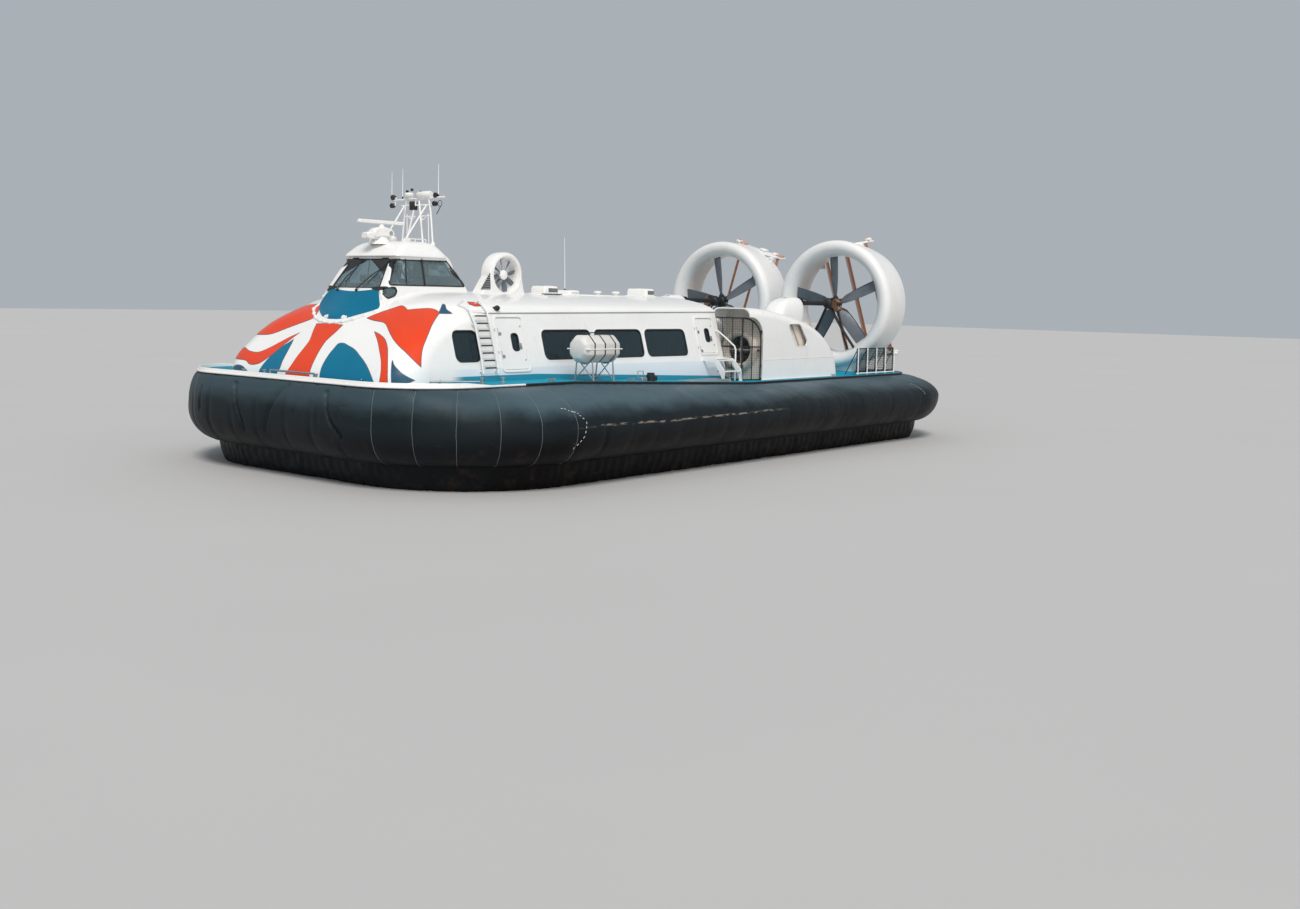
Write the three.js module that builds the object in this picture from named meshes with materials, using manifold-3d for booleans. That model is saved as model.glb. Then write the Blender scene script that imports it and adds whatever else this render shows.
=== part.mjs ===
// An amphibious passenger hovercraft, 23.7 m long and 12.7 m wide, resting on its inflated skirt.
// Millimetres. +X is the bow, +Y is port, +Z is up. The origin is at the centre of the footprint.
import * as THREE from "three";
import { mergeVertices } from "three/addons/utils/BufferGeometryUtils.js";
import Module from "manifold-3d";

const wasm = await Module();
wasm.setup();

// Driving dimensions
const gap = 0.3; // between pieces that touch
const clear = 6; // round a piece that moves
const wall = 60; // cabin and wheelhouse panels
const glassThickness = 12;

// The deck is level aft, rises gently and is level again forward.
const deck = { aft: 2080, fore: 2360, rampFrom: -1000, rampTo: 6500 };
const raftBottom = 1350;
const skidDepth = 170;

// Plan outlines: bow x, stern x, half width, bow corner radius, stern corner radius
const gunwale = { bow: 11550, stern: -11050, half: 4700, bowRadius: 1920, sternRadius: 1400 };
const bulge = { bow: 11830, stern: -11830, half: 6350, bowRadius: 4140, sternRadius: 2940 };
const seam = { bow: 11030, stern: -11030, half: 5580, bowRadius: 3330, sternRadius: 2130 };
const hem = { bow: 10890, stern: -10890, half: 5470, bowRadius: 3200, sternRadius: 2000 };
const skirt = { bulgeZ: 1400, seamZ: 570, sheet: 60, bowCut: 7600, sternCut: -8800, apronBelly: 45 };
const rim = { width: 60, below: 55, above: 20 };

// Cabin body, one row per level: height, front x, half width, front corner radius
const cabinRear = -1450;
const cabinLevels = [
  [1950, 10990, 3520, 1000],
  [2360, 10960, 3500, 1000],
  [2660, 10800, 3455, 850],
  [2832, 10680, 3405, 800],
  [3200, 10370, 3300, 850],
  [3540, 10080, 3200, 1100],
  [3800, 9850, 3125, 1600],
  [3960, 9640, 3080, 1900],
  [4080, 9460, 3040, 2100],
  [4150, 9340, 2960, 2100],
  [4250, 9130, 2700, 2000],
  [4360, 8820, 2200, 1700],
  [4440, 8450, 1550, 1200],
  [4480, 7900, 800, 600],
];
const eaveZ = 4060;
const domeFrom = 9250;
const lean = (3405 - 3202) / (3539 - 2832); // the side walls lean in by this much per unit of height
const sideY = (z) => 3405 - lean * (z - 2832);

// Side windows: rear x, front x; all share a sill and a head
const sill = 2830;
const head = 3545;
const mainWindows = [
  [230, 2010],
  [2190, 4090],
  [4270, 6090],
];
const bowWindow = [8330, 9090];
const windowCorner = 110;

// Side doors: hinge x (forward edge), width, sill, head
const frontDoor = { hinge: 7600, width: 860, sill: 2620, head: 3850 };
const aftHatch = { hinge: -400, width: 780, sill: 2880, head: 3850 };
const doorThickness = 50;
const doorSet = 5; // how far the doors lie behind the wall's face
const doorGap = 9;
const hinge = { radius: 16, proud: 6, length: 90, levels: [2980, 3520] };

// Wheelhouse, one row per level: height, front x, front half width, side start x, half width, rear x
const wheelhouseLevels = [
  [3300, 10300, 120, 9500, 1500, 6350],
  [3720, 10030, 260, 9560, 1440, 6480],
  [4100, 9640, 780, 9420, 1340, 6620],
  [4467, 9354, 950, 9180, 1270, 6780],
  [5244, 8820, 760, 8690, 1140, 7330],
  [5300, 8800, 750, 8670, 1130, 7360],
];
const roofLevels = [
  [5300, 8850, 790, 8720, 1175, 7310],
  [5360, 8840, 780, 8700, 1165, 7320],
  [5540, 8640, 650, 8480, 1040, 7400],
  [5660, 8420, 520, 8280, 870, 7520],
  [5710, 8150, 380, 8050, 600, 7720],
];
const windscreen = { sillZ: 4510, headZ: 5200, sillHalf: 880, headHalf: 700 };
const bridgeSide = { sillZ: 4610, headZ: 5230, front: [9200, 8800], rear: [7010, 7480] };

// Radar and mast on the wheelhouse roof
const radar = { x: 8530, housing: [8250, 8850], half: 190, pedestalX: 8730 };
const scannerBar = { length: 1450, width: 110, z: 6150, height: 95 };
const mast = { x: 7540, half: 520, armHalf: 720, armZ: 6780, lowArmZ: 6420, tube: 26, whip: 10 };
// Whip aerials: y, foot height, top height
const whips = [
  [-720, 6780, 7520],
  [-350, 6780, 7450],
  [720, 6780, 7650],
];

// Bow thrusters on the cabin roof: tunnels athwart the craft
const thruster = { x: 5610, y: 1310, z: 4930, depth: 380, outer: 590, bore: 450, footHalf: 870 };
const thrusterHub = { back: 130, radius: 70, height: 100 };
const thrusterWheel = { radius: 438, hub: 130, depth: 160, blades: 8, y: 1345 };

// Roof vents: rear x, front x, half width, height; they share one low plinth
const vents = [
  [3580, 4150, 270, 250],
  [2690, 3170, 270, 150],
  [-480, -40, 370, 260],
];
const ventRow = { y: 1200, roof: 4440, plinthHalf: 270, plinthTop: 50, foot: 60 };

// Engine nacelles on the side decks
const nacelle = { inner: 2950, outer: 4350, front: -2150, rear: -6330, skin: 45, roundTop: 260 };
const hood = { front: cabinRear - clear, top: 4200, low: 3930 };
// Roof line of the nacelle: x, height
const nacelleSide = [
  [-2150, 4200],
  [-3650, 3940],
  [-5100, 3680],
  [-5750, 3350],
  [-6150, 2890],
  [-6345, 2380],
];
const nacellePort = [
  [-3440, 3730],
  [-4110, 3730],
  [-4570, 3200],
  [-4500, 3060],
  [-3890, 3070],
];
const intake = { y: 3540, z: 2950, radius: 400, lip: 90 };
const liftFan = { radius: 530, depth: 420, hub: 120, blades: 10, x: -2300 };
const guard = { front: cabinRear - gap, y: 4080, inner: 2960, bar: 26, bars: 5, top: 3920 };
const engine = { rear: -5600, front: -3000, y: 3650, half: 380, height: 1150 };

// Ducts and propellers
const duct = { y: 2413, z: 4379, lip: 2166, throat: 1640, rear: 1993, front: -9100, end: -10680 };
const propeller = { x: -9410, radius: 1616, blades: 5, hub: 190, shaft: 80, shaftFront: -6950 };
const bladePhase = { port: 94.8, starboard: 99.7 }; // degrees from +Y towards +Z
const bearing = { from: -8780, to: -9060, radius: 190 };
const fairingHalf = 380;
const fairingSide = [
  [-5300, 2080],
  [-5300, 3850],
  [-5520, 4250],
  [-5900, 4480],
  [-6300, 4560],
  [-6800, 4560],
  [-6950, 4500],
  [-6950, 3950],
  [-6750, 3500],
  [-6650, 2080],
];

// Rudders stand in a frame that is canted about the duct's axis, tops inboard, and rest hard over.
const rudder = { cant: 17, x: -10950, pitch: 850, fore: 190, aft: 540, half: 1890, thick: 90 };
const rudderRest = 38;
const stockRadius = 28;
const spar = { reach: 1990, half: 1080, front: -10350, rear: -11180, thick: 60 };

// Deck gear
const raftCanister = { rear: 4660, front: 5950, y: 4330, z: 3120, radius: 350, saddleSet: 300 };
const ladder = { rear: 7930, front: 8420, tube: 22, rungs: 8, stand: 130 };
const ladderLevels = { foot: 2540, knee: 4060, top: 4260, brackets: [2600, 3700], rungs: [2680, 3900] };
const steps = { rear: -1240, front: -420, treads: [[2700, 3780], [2400, 4060]], tread: 290, rail: 20 };
const house = { rear: -5100, half: 2880, top: 4100, rearTop: 3300 };

// Solids from three.js geometry
function solid(geometry) {
  const bare = geometry.clone();
  bare.deleteAttribute("normal");
  bare.deleteAttribute("uv");
  const merged = mergeVertices(bare, 1e-3);
  return new wasm.Manifold(
    new wasm.Mesh({
      numProp: 3,
      vertProperties: new Float32Array(merged.attributes.position.array),
      triVerts: new Uint32Array(merged.index.array),
    }),
  );
}

function geometryOf(manifold) {
  const mesh = manifold.getMesh();
  const geometry = new THREE.BufferGeometry();
  geometry.setAttribute("position", new THREE.BufferAttribute(mesh.vertProperties, 3));
  geometry.setIndex(new THREE.BufferAttribute(mesh.triVerts, 1));
  return geometry;
}

function indexed(positions, index) {
  const geometry = new THREE.BufferGeometry();
  geometry.setAttribute("position", new THREE.Float32BufferAttribute(positions, 3));
  geometry.setIndex(index);
  return solid(geometry);
}

// Turns what was built as Y, Z, X into X, Y, Z
const sideways = new THREE.Matrix4().makeBasis(
  new THREE.Vector3(0, 1, 0),
  new THREE.Vector3(0, 0, 1),
  new THREE.Vector3(1, 0, 0),
);
const onSide = (manifold) => solid(geometryOf(manifold).applyMatrix4(sideways));

const join = (first, ...rest) => rest.reduce((all, next) => all.add(next), first);
const cut = (first, ...rest) => rest.reduce((all, next) => all.subtract(next), first);

function box(x0, x1, y0, y1, z0, z1) {
  const geometry = new THREE.BoxGeometry(Math.abs(x1 - x0), Math.abs(y1 - y0), Math.abs(z1 - z0));
  return solid(geometry.translate((x0 + x1) / 2, (y0 + y1) / 2, (z0 + z1) / 2));
}

// An outline in X and Z, extruded along Y
function alongY(points, y0, y1) {
  const shape = new THREE.Shape(points.map(([x, z]) => new THREE.Vector2(x, z)));
  const geometry = new THREE.ExtrudeGeometry(shape, { depth: y1 - y0, bevelEnabled: false });
  return solid(geometry.rotateX(Math.PI / 2).translate(0, y1, 0));
}

// An outline in Y and Z, extruded along X
function alongX(points, x0, x1) {
  const shape = new THREE.Shape(points.map(([y, z]) => new THREE.Vector2(y, z)));
  const geometry = new THREE.ExtrudeGeometry(shape, { depth: x1 - x0, bevelEnabled: false });
  return solid(geometry.applyMatrix4(sideways).translate(x0, 0, 0));
}

// An outline in X and Y, extruded upward
function upright(points, z0, z1) {
  const shape = new THREE.Shape(points.map(([x, y]) => new THREE.Vector2(x, y)));
  const geometry = new THREE.ExtrudeGeometry(shape, { depth: z1 - z0, bevelEnabled: false });
  return solid(geometry.translate(0, 0, z0));
}

// A round bar between two points
function bar(a, b, radius, sides = 5) {
  const from = new THREE.Vector3(...a);
  const to = new THREE.Vector3(...b);
  const along = to.clone().sub(from);
  const geometry = new THREE.CylinderGeometry(radius, radius, along.length(), sides);
  const up = new THREE.Vector3(0, 1, 0);
  const turn = new THREE.Quaternion().setFromUnitVectors(up, along.clone().normalize());
  geometry.applyQuaternion(turn);
  const middle = from.add(to).multiplyScalar(0.5);
  return solid(geometry.translate(middle.x, middle.y, middle.z));
}

// Bars through a list of points, with a ball at each bend
function rail(points, radius, sides = 5) {
  const bars = points.slice(1).map((point, i) => bar(points[i], point, radius, sides));
  const balls = points.slice(1, -1).map((point) => {
    return solid(new THREE.SphereGeometry(radius * 1.02, sides, 3).translate(...point));
  });
  return join(...bars, ...balls);
}

// A turned shape: profile points are [radius, height along the axis]
function turned(profile, sides, axis) {
  const made = (points) => {
    const geometry = new THREE.LatheGeometry(points.map(([r, h]) => new THREE.Vector2(r, h)), sides);
    if (axis === "x") geometry.rotateZ(-Math.PI / 2);
    return solid(geometry);
  };
  const first = made(profile);
  return first.volume() > 0 ? first : made(profile.slice().reverse());
}

// Rings of equally many points, one above the other, closed with a face at each end
function loft(levels) {
  const flat = (level) => level.map(([x, y]) => new THREE.Vector2(x, y));
  const clockwise = THREE.ShapeUtils.isClockWise(flat(levels[0]));
  const rings = clockwise ? levels.map((level) => level.slice().reverse()) : levels;
  const count = rings[0].length;
  const index = [];
  for (let level = 0; level + 1 < rings.length; level++) {
    for (let i = 0; i < count; i++) {
      const a = level * count + i;
      const b = level * count + ((i + 1) % count);
      index.push(a, b, b + count, a, b + count, a + count);
    }
  }
  const last = (rings.length - 1) * count;
  for (const [a, b, c] of THREE.ShapeUtils.triangulateShape(flat(rings[0]), [])) index.push(a, c, b);
  for (const [a, b, c] of THREE.ShapeUtils.triangulateShape(flat(rings.at(-1)), [])) {
    index.push(last + a, last + b, last + c);
  }
  return indexed(rings.flat(2), index);
}

// The same with the rings one behind the other, from the stern forward
function loftAlongX(sections) {
  const stood = sections.map((section) => section.map(([x, y, z]) => [y, z, x]));
  return onSide(loft(stood));
}

// A section swept round a closed path: one closed section of equally many points for each station
function ring(stations) {
  const count = stations[0].length;
  const index = [];
  for (let s = 0; s < stations.length; s++) {
    const next = ((s + 1) % stations.length) * count;
    for (let i = 0; i < count; i++) {
      const j = (i + 1) % count;
      const a = s * count + i;
      const b = s * count + j;
      index.push(a, b, next + j, a, next + j, next + i);
    }
  }
  const made = indexed(stations.flat(2), index);
  return made.volume() > 0 ? made : indexed(stations.flat(2), index.reverse());
}

// A rectangle with round corners as an outline, anticlockwise from the stern's starboard side
const cornerSteps = 7;
function roundedPlan(plan, grow = 0) {
  const bowRadius = plan.bowRadius + grow;
  const sternRadius = plan.sternRadius + grow;
  const half = plan.half + grow;
  const corners = [
    [plan.bow + grow - bowRadius, -half + bowRadius, bowRadius, -90],
    [plan.bow + grow - bowRadius, half - bowRadius, bowRadius, 0],
    [plan.stern - grow + sternRadius, half - sternRadius, sternRadius, 90],
    [plan.stern - grow + sternRadius, -half + sternRadius, sternRadius, 180],
  ];
  const [starboardBow, portBow, portStern, starboardStern] = corners.map(([x, y, radius, start]) => {
    return Array.from({ length: cornerSteps + 1 }, (_, i) => {
      const angle = THREE.MathUtils.degToRad(start + (90 * i) / cornerSteps);
      return [x + radius * Math.cos(angle), y + radius * Math.sin(angle)];
    });
  });
  const portSide = [[deck.rampTo, half], [deck.rampFrom, half]];
  const starboardSide = [[deck.rampFrom, -half], [deck.rampTo, -half]];
  return [...starboardBow, ...portBow, ...portSide, ...portStern, ...starboardStern, ...starboardSide];
}

const deckZ = (x) => {
  const t = THREE.MathUtils.clamp((x - deck.rampFrom) / (deck.rampTo - deck.rampFrom), 0, 1);
  return deck.aft + t * (deck.fore - deck.aft);
};

// Everything below a line that follows the deck at a given height above it
function belowDeck(offset, bottom) {
  const end = 13000;
  const top = [-end, deck.rampFrom, deck.rampTo, end].map((x) => [x, deckZ(x) + offset]);
  return alongY([[-end, bottom], [end, bottom], ...top.reverse()], -8000, 8000);
}
const underDeck = belowDeck(gap, 0);

const group = new THREE.Group();
const colours = {
  white: [0xeceae6, 0.45, 0.0],
  blue: [0x1f8fc4, 0.5, 0.0],
  rubber: [0x23282d, 0.75, 0.0],
  grey: [0x6d7276, 0.5, 0.1],
  dark: [0x1b1e21, 0.5, 0.3],
  orange: [0xd9653a, 0.5, 0.0],
  metal: [0xa9adb0, 0.4, 0.8],
  glass: [0x20363f, 0.1, 0.0],
};

function add(name, manifold, colour) {
  const [color, roughness, metalness] = colours[colour];
  const material = new THREE.MeshStandardMaterial({ color, roughness, metalness });
  const mesh = new THREE.Mesh(geometryOf(manifold), material);
  mesh.name = name;
  group.add(mesh);
}

// The port piece and its mirror image to starboard
function addPair(name, manifold, colour) {
  add(name + "_port", manifold, colour);
  add(name + "_starboard", manifold.mirror([0, 1, 0]), colour);
}

// Hull: the raft, its skids and the rim that clamps the skirt
const raftBody = upright(roundedPlan(gunwale), raftBottom, 2600).intersect(belowDeck(0, 0));
add("hull_raft", raftBody, "blue");

const skidTop = raftBottom - gap;
const skids = join(
  ...[-3200, 3200].map((y) => box(-8600, 8600, y - 180, y + 180, skidTop - skidDepth, skidTop)),
  ...[-8400, 0, 8400].map((x) => box(x - 120, x + 120, -3200, 3200, skidTop - 60, skidTop)),
);
add("landing_skids", skids, "dark");

const rimBand = cut(
  upright(roundedPlan(gunwale, gap + rim.width), 1500, 3000),
  upright(roundedPlan(gunwale, gap), 1400, 3100),
);
add("gunwale_rim", cut(rimBand.intersect(belowDeck(rim.above, 0)), belowDeck(-rim.below, 0)), "white");

// Skirt: the inflated loop, and the apron that hangs from its seam
const bendSteps = 6;
function loopStations() {
  const inner = roundedPlan(gunwale, gap);
  const outer = roundedPlan(bulge);
  const low = roundedPlan(seam);
  const lowInner = roundedPlan(seam, -skirt.sheet);
  return inner.map((start, i) => {
    const top = deckZ(start[0]) - rim.below - gap;
    const section = [[...start, raftBottom], [...start, top]];
    const at = (a, b, t) => [a[0] + (b[0] - a[0]) * t, a[1] + (b[1] - a[1]) * t];
    for (let k = 1; k <= bendSteps; k++) {
      const angle = ((Math.PI / 2) * k) / bendSteps;
      const rise = (top - skirt.bulgeZ) * Math.cos(angle);
      section.push([...at(start, outer[i], Math.sin(angle)), skirt.bulgeZ + rise]);
    }
    for (let k = 1; k <= 3; k++) {
      const angle = ((Math.PI / 2) * k) / 3;
      const drop = (skirt.bulgeZ - skirt.seamZ) * Math.sin(angle);
      section.push([...at(low[i], outer[i], Math.cos(angle)), skirt.bulgeZ - drop]);
    }
    section.push([...lowInner[i], skirt.seamZ]);
    return section;
  });
}

function apronStations() {
  const top = roundedPlan(seam);
  const belly = roundedPlan(seam, skirt.apronBelly);
  const low = roundedPlan(hem);
  const topInner = roundedPlan(seam, -skirt.sheet);
  const bellyInner = roundedPlan(seam, skirt.apronBelly - skirt.sheet);
  const lowInner = roundedPlan(hem, -skirt.sheet);
  const topZ = skirt.seamZ - gap;
  return top.map((start, i) => [
    [...start, topZ],
    [...belly[i], topZ * 0.5],
    [...low[i], 0],
    [...lowInner[i], 0],
    [...bellyInner[i], topZ * 0.5],
    [...topInner[i], topZ],
  ]);
}

const reach = 13000;
const skirtParts = {
  bow: box(skirt.bowCut + gap, reach, -reach, reach, -10, reach),
  port: box(skirt.sternCut, skirt.bowCut, gap, reach, -10, reach),
  starboard: box(skirt.sternCut, skirt.bowCut, -reach, -gap, -10, reach),
  stern: box(-reach, skirt.sternCut - gap, -reach, reach, -10, reach),
};
const loop = ring(loopStations());
const apron = ring(apronStations());
for (const [place, region] of Object.entries(skirtParts)) {
  add("skirt_loop_" + place, loop.intersect(region), "rubber");
  add("skirt_apron_" + place, apron.intersect(region), "rubber");
}

// Cabin: one lofted skin, split into sides, roof and bow dome
const cabinCorner = 5;
function cabinRing([z, front, half, radius], inset, rear) {
  const x = front - inset;
  const y = half - inset;
  const r = Math.max(radius - inset, 50);
  const arc = (start, cx, cy) => Array.from({ length: cabinCorner + 1 }, (_, i) => {
    const angle = THREE.MathUtils.degToRad(start + (90 * i) / cabinCorner);
    return [cx + r * Math.cos(angle), cy + r * Math.sin(angle), z];
  });
  const crown = 0.03 * y; // the front bows out a little between its corners
  const across = [-0.5, 0, 0.5].map((t) => [x + crown * (1 - 4 * t * t), 2 * t * (y - r) * 0.5, z]);
  return [[rear, -y, z], ...arc(-90, x - r, -(y - r)), ...across, ...arc(0, x - r, y - r), [rear, y, z]];
}
// The cabin's surface moved inward by a depth, down to the same depth below its roof
function cabinSkin(depth, rear) {
  return loft(cabinLevels.map(([z, ...row]) => cabinRing([z - depth, ...row], depth, rear)));
}
const cabinOuter = cabinSkin(0, cabinRear);
const cabinInner = cabinSkin(wall, cabinRear - 100);
const cabinGrown = cabinSkin(-gap, cabinRear - gap);
const cabinShell = cut(cabinOuter, cabinInner, underDeck);

// A window or door outline in the side wall, as a cutter right through it
function sideCutter(rear, front, low, high, corner) {
  const r = corner;
  const shape = new THREE.Shape();
  shape.moveTo(rear + r, low);
  shape.lineTo(front - r, low);
  shape.absarc(front - r, low + r, r, -Math.PI / 2, 0, false);
  shape.lineTo(front, high - r);
  shape.absarc(front - r, high - r, r, 0, Math.PI / 2, false);
  shape.lineTo(rear + r, high);
  shape.absarc(rear + r, high - r, r, Math.PI / 2, Math.PI, false);
  shape.lineTo(rear, low + r);
  shape.absarc(rear + r, low + r, r, Math.PI, 1.5 * Math.PI, false);
  const points = shape.extractPoints(1).shape.map((p) => [p.x, p.y]);
  return alongY(points, 2600, 4200);
}

const windowCutters = [...mainWindows, bowWindow].map(([rear, front]) => {
  return sideCutter(rear, front, sill, head, windowCorner);
});
// A door's outline, cut square to the leaning wall so that the door swings out of it cleanly
const doorMiddle = 3200;
const leanAngle = Math.atan(lean);
function doorCutter(door, grow) {
  const along = (z) => (z - doorMiddle) / Math.cos(leanAngle);
  const rear = door.hinge - door.width;
  return sideCutter(rear - grow, door.hinge + grow, along(door.sill) - grow, along(door.head) + grow, 70)
    .translate([0, -sideY(doorMiddle), 0])
    .rotate([THREE.MathUtils.radToDeg(leanAngle), 0, 0])
    .translate([0, sideY(doorMiddle), doorMiddle]);
}
const sideRegion = box(cabinRear, domeFrom, 2000, reach, 0, eaveZ);
// Hinge barrels on a door's forward edge: the upper half stays on the wall, the lower turns with the door
function hingeBarrels(door, upper, grow) {
  const at = (z) => [door.hinge, sideY(z) + hinge.proud, z];
  return hinge.levels.map((z) => {
    const from = upper ? z + gap - grow : z - hinge.length - grow;
    const to = upper ? z + hinge.length + grow : z;
    return bar(at(from), at(to), hinge.radius + grow, 8);
  });
}
const sideWall = cut(
  cabinShell.intersect(sideRegion),
  ...windowCutters,
  doorCutter(frontDoor, doorGap),
  doorCutter(aftHatch, doorGap),
);
const lowerBarrels = [frontDoor, aftHatch].flatMap((door) => hingeBarrels(door, false, clear));
const upperBarrels = [frontDoor, aftHatch].flatMap((door) => hingeBarrels(door, true, 0));
addPair("cabin_side", join(cut(sideWall, ...lowerBarrels), ...upperBarrels), "white");
const roofRegion = box(cabinRear, domeFrom, -reach, reach, eaveZ + gap, reach);
add("cabin_roof", cabinShell.intersect(roofRegion), "white");
add("bow_dome", cabinShell.intersect(box(domeFrom + gap, reach, -reach, reach, 0, reach)), "white");

// Doors: slabs of the wall, hinged at their forward edges
const doorSlab = cut(cabinSkin(doorSet, cabinRear), cabinSkin(doorThickness + doorSet, cabinRear - 100));
const doorLeaf = (door) => {
  const leaf = cut(doorSlab.intersect(doorCutter(door, 0)), ...hingeBarrels(door, true, clear));
  return join(leaf, ...hingeBarrels(door, false, 0));
};
addPair("front_door", doorLeaf(frontDoor), "white");
addPair("aft_hatch", doorLeaf(aftHatch), "white");

// Side glazing: one strip behind the three main windows
const glassGap = 0.8;
const glazing = cut(
  cabinSkin(wall + glassGap, cabinRear),
  cabinSkin(wall + glassGap + glassThickness, cabinRear - 100),
);
const strip = box(mainWindows[0][0] - 60, mainWindows[2][1] + 60, 2000, reach, sill - 50, head + 50);
addPair("side_glazing", glazing.intersect(strip), "glass");

// Aft bulkhead and the lower deckhouse behind it
const bulkhead = cut(cabinOuter, cabinInner.translate([-30000, 0, 0]))
  .intersect(box(cabinRear, cabinRear + wall, -reach, reach, 0, reach));
const inCabin = cabinSkin(wall + gap, cabinRear - 100);
const houseSide = [
  [cabinRear + 0.5, 2000],
  [cabinRear + 0.5, house.top],
  [-4200, house.top - 120],
  [-4800, house.top - 350],
  [house.rear, house.rearTop],
  [house.rear, 2000],
].reverse();
const houseEnds = [
  [-house.half, 2000],
  [house.half, 2000],
  [house.half, house.top - 450],
  [house.half - 120, house.top - 160],
  [house.half - 420, house.top + 10],
  [-house.half + 420, house.top + 10],
  [-house.half + 120, house.top - 160],
  [-house.half, house.top - 450],
];
const houseSection = alongX(houseEnds, house.rear - 10, 0);
const houseBody = alongY(houseSide, -house.half, house.half).intersect(houseSection);
const rearWall = bulkhead.intersect(inCabin);
const behindCabin = cut(houseBody, box(cabinRear + wall, 0, -reach, reach, 0, reach));
add("aft_house", cut(join(rearWall, behindCabin), underDeck), "white");

// Wheelhouse: lofted skin with a sloping prow below the windscreen
function bridgeRing([z, front, frontHalf, sideStart, half, rear], inset) {
  const x = front - inset;
  const y = half - inset;
  const fy = Math.max(frontHalf - inset * 0.5, 20);
  return [
    [rear + inset, -y + 160, z],
    [rear + inset + 160, -y, z],
    [sideStart - inset, -y, z],
    [(sideStart + x) / 2 + 60, -(y + fy) / 2 - 40, z],
    [x, -fy, z],
    [x + 30, 0, z],
    [x, fy, z],
    [(sideStart + x) / 2 + 60, (y + fy) / 2 + 40, z],
    [sideStart - inset, y, z],
    [rear + inset + 160, y, z],
    [rear + inset, y - 160, z],
  ];
}
const bridgeLast = wheelhouseLevels.length - 1;
// The wheelhouse's surface moved inward, its ends stretched up and down by a margin
function bridgeSkin(inset, margin) {
  return loft(
    wheelhouseLevels.map(([z, ...row], i) => {
      const height = i === 0 ? z - margin : i === bridgeLast ? z + margin : z;
      return bridgeRing([height, ...row], inset);
    }),
  );
}
const bridgeOuter = bridgeSkin(0, 0);
const bridgeInner = bridgeSkin(wall, 50);
const screenOpening = alongX(
  [
    [-windscreen.sillHalf, windscreen.sillZ],
    [windscreen.sillHalf, windscreen.sillZ],
    [windscreen.headHalf, windscreen.headZ],
    [-windscreen.headHalf, windscreen.headZ],
  ],
  8500,
  9900,
);
const bridgeSideOpening = alongY(
  [
    [bridgeSide.rear[0], bridgeSide.sillZ],
    [bridgeSide.front[0], bridgeSide.sillZ],
    [bridgeSide.front[1], bridgeSide.headZ],
    [bridgeSide.rear[1], bridgeSide.headZ],
  ],
  -1600,
  1600,
);
const rearOpening = box(6500, 7500, -700, 700, 4850, 5150);
add(
  "wheelhouse_shell",
  cut(bridgeOuter, bridgeInner, cabinGrown, screenOpening, bridgeSideOpening, rearOpening)
    .intersect(box(0, reach, -reach, reach, 3000, 5300 - gap)),
  "white",
);
const bridgeRoof = loft(roofLevels.map((row) => bridgeRing(row, 0)));
const ceiling = box(7600, 8500, -800, 800, 5200, 5480);
const drumGeometry = new THREE.CylinderGeometry(230, 270, 190, 16).rotateX(Math.PI / 2);
const pedestal = join(
  solid(drumGeometry.translate(radar.pedestalX, 0, 5745)),
  box(...radar.housing, -radar.half, radar.half, 5780, 5990),
  bar([radar.x, 0, 5980], [radar.x, 0, scannerBar.z - scannerBar.height / 2 - clear], 75, 16),
);
add("wheelhouse_roof", join(cut(bridgeRoof, ceiling), pedestal), "white");

const glassSkin = cut(bridgeSkin(wall + glassGap, 0), bridgeSkin(wall + glassGap + glassThickness, 50));
const screenPane = box(8600, 9900, -(windscreen.sillHalf - 20), windscreen.sillHalf - 20, 4490, 5225);
add("windscreen", glassSkin.intersect(screenPane), "glass");
const sidePane = box(6800, 8750, 900, 1600, 4570, 5250);
addPair("wheelhouse_glass", glassSkin.intersect(sidePane), "glass");

const scannerFoot = scannerBar.z - scannerBar.height / 2;
const barHalf = scannerBar.length / 2;
const scanner = join(
  box(
    radar.x - barHalf, radar.x + barHalf, -scannerBar.width / 2, scannerBar.width / 2,
    scannerFoot, scannerFoot + scannerBar.height,
  ),
  bar([radar.x, 0, scannerFoot - clear + 0.5], [radar.x, 0, scannerFoot + 1], 60, 16),
);
add("radar_scanner", scanner, "white");

// Mast: a tubular portal with two arms and whip aerials
const mastFoot = 5500;
const onMast = (y, z) => [mast.x, y, z];
const mastTubes = [-1, 1].flatMap((side) => {
  const legFoot = onMast(side * mast.half, mastFoot);
  const knee = onMast(side * mast.half * 0.85, mast.lowArmZ);
  const innerFoot = [mast.x - 60, side * 130, mastFoot];
  return [
    rail([legFoot, knee, onMast(side * 250, mast.armZ)], mast.tube),
    bar(innerFoot, onMast(side * 200, mast.armZ), mast.tube * 0.8),
  ];
});
const mastArms = [
  bar(onMast(-mast.armHalf, mast.armZ), onMast(mast.armHalf, mast.armZ), mast.tube),
  bar(onMast(-mast.half, mast.lowArmZ), onMast(mast.armHalf, mast.lowArmZ), mast.tube),
  bar(onMast(-mast.half, 6050), onMast(mast.half, 6050), mast.tube * 0.8),
];
// Lamps on the arms: y, foot height, height, radius
const mastLamps = [
  [-620, 6650, 110, 62],
  [620, 6650, 110, 62],
  [-620, 6790, 100, 62],
  [620, 6790, 100, 62],
  [150, 6790, 170, 90],
].map(([y, z, height, radius]) => bar(onMast(y, z), onMast(y, z + height), radius, 8));
const aerials = whips.map(([y, low, high]) => bar(onMast(y, low), onMast(y, high), mast.whip));
const mastBody = join(...mastTubes, ...mastArms, ...mastLamps, ...aerials);
add("mast", cut(mastBody, bridgeRoof.translate([0, 0, gap])), "white");

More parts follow.
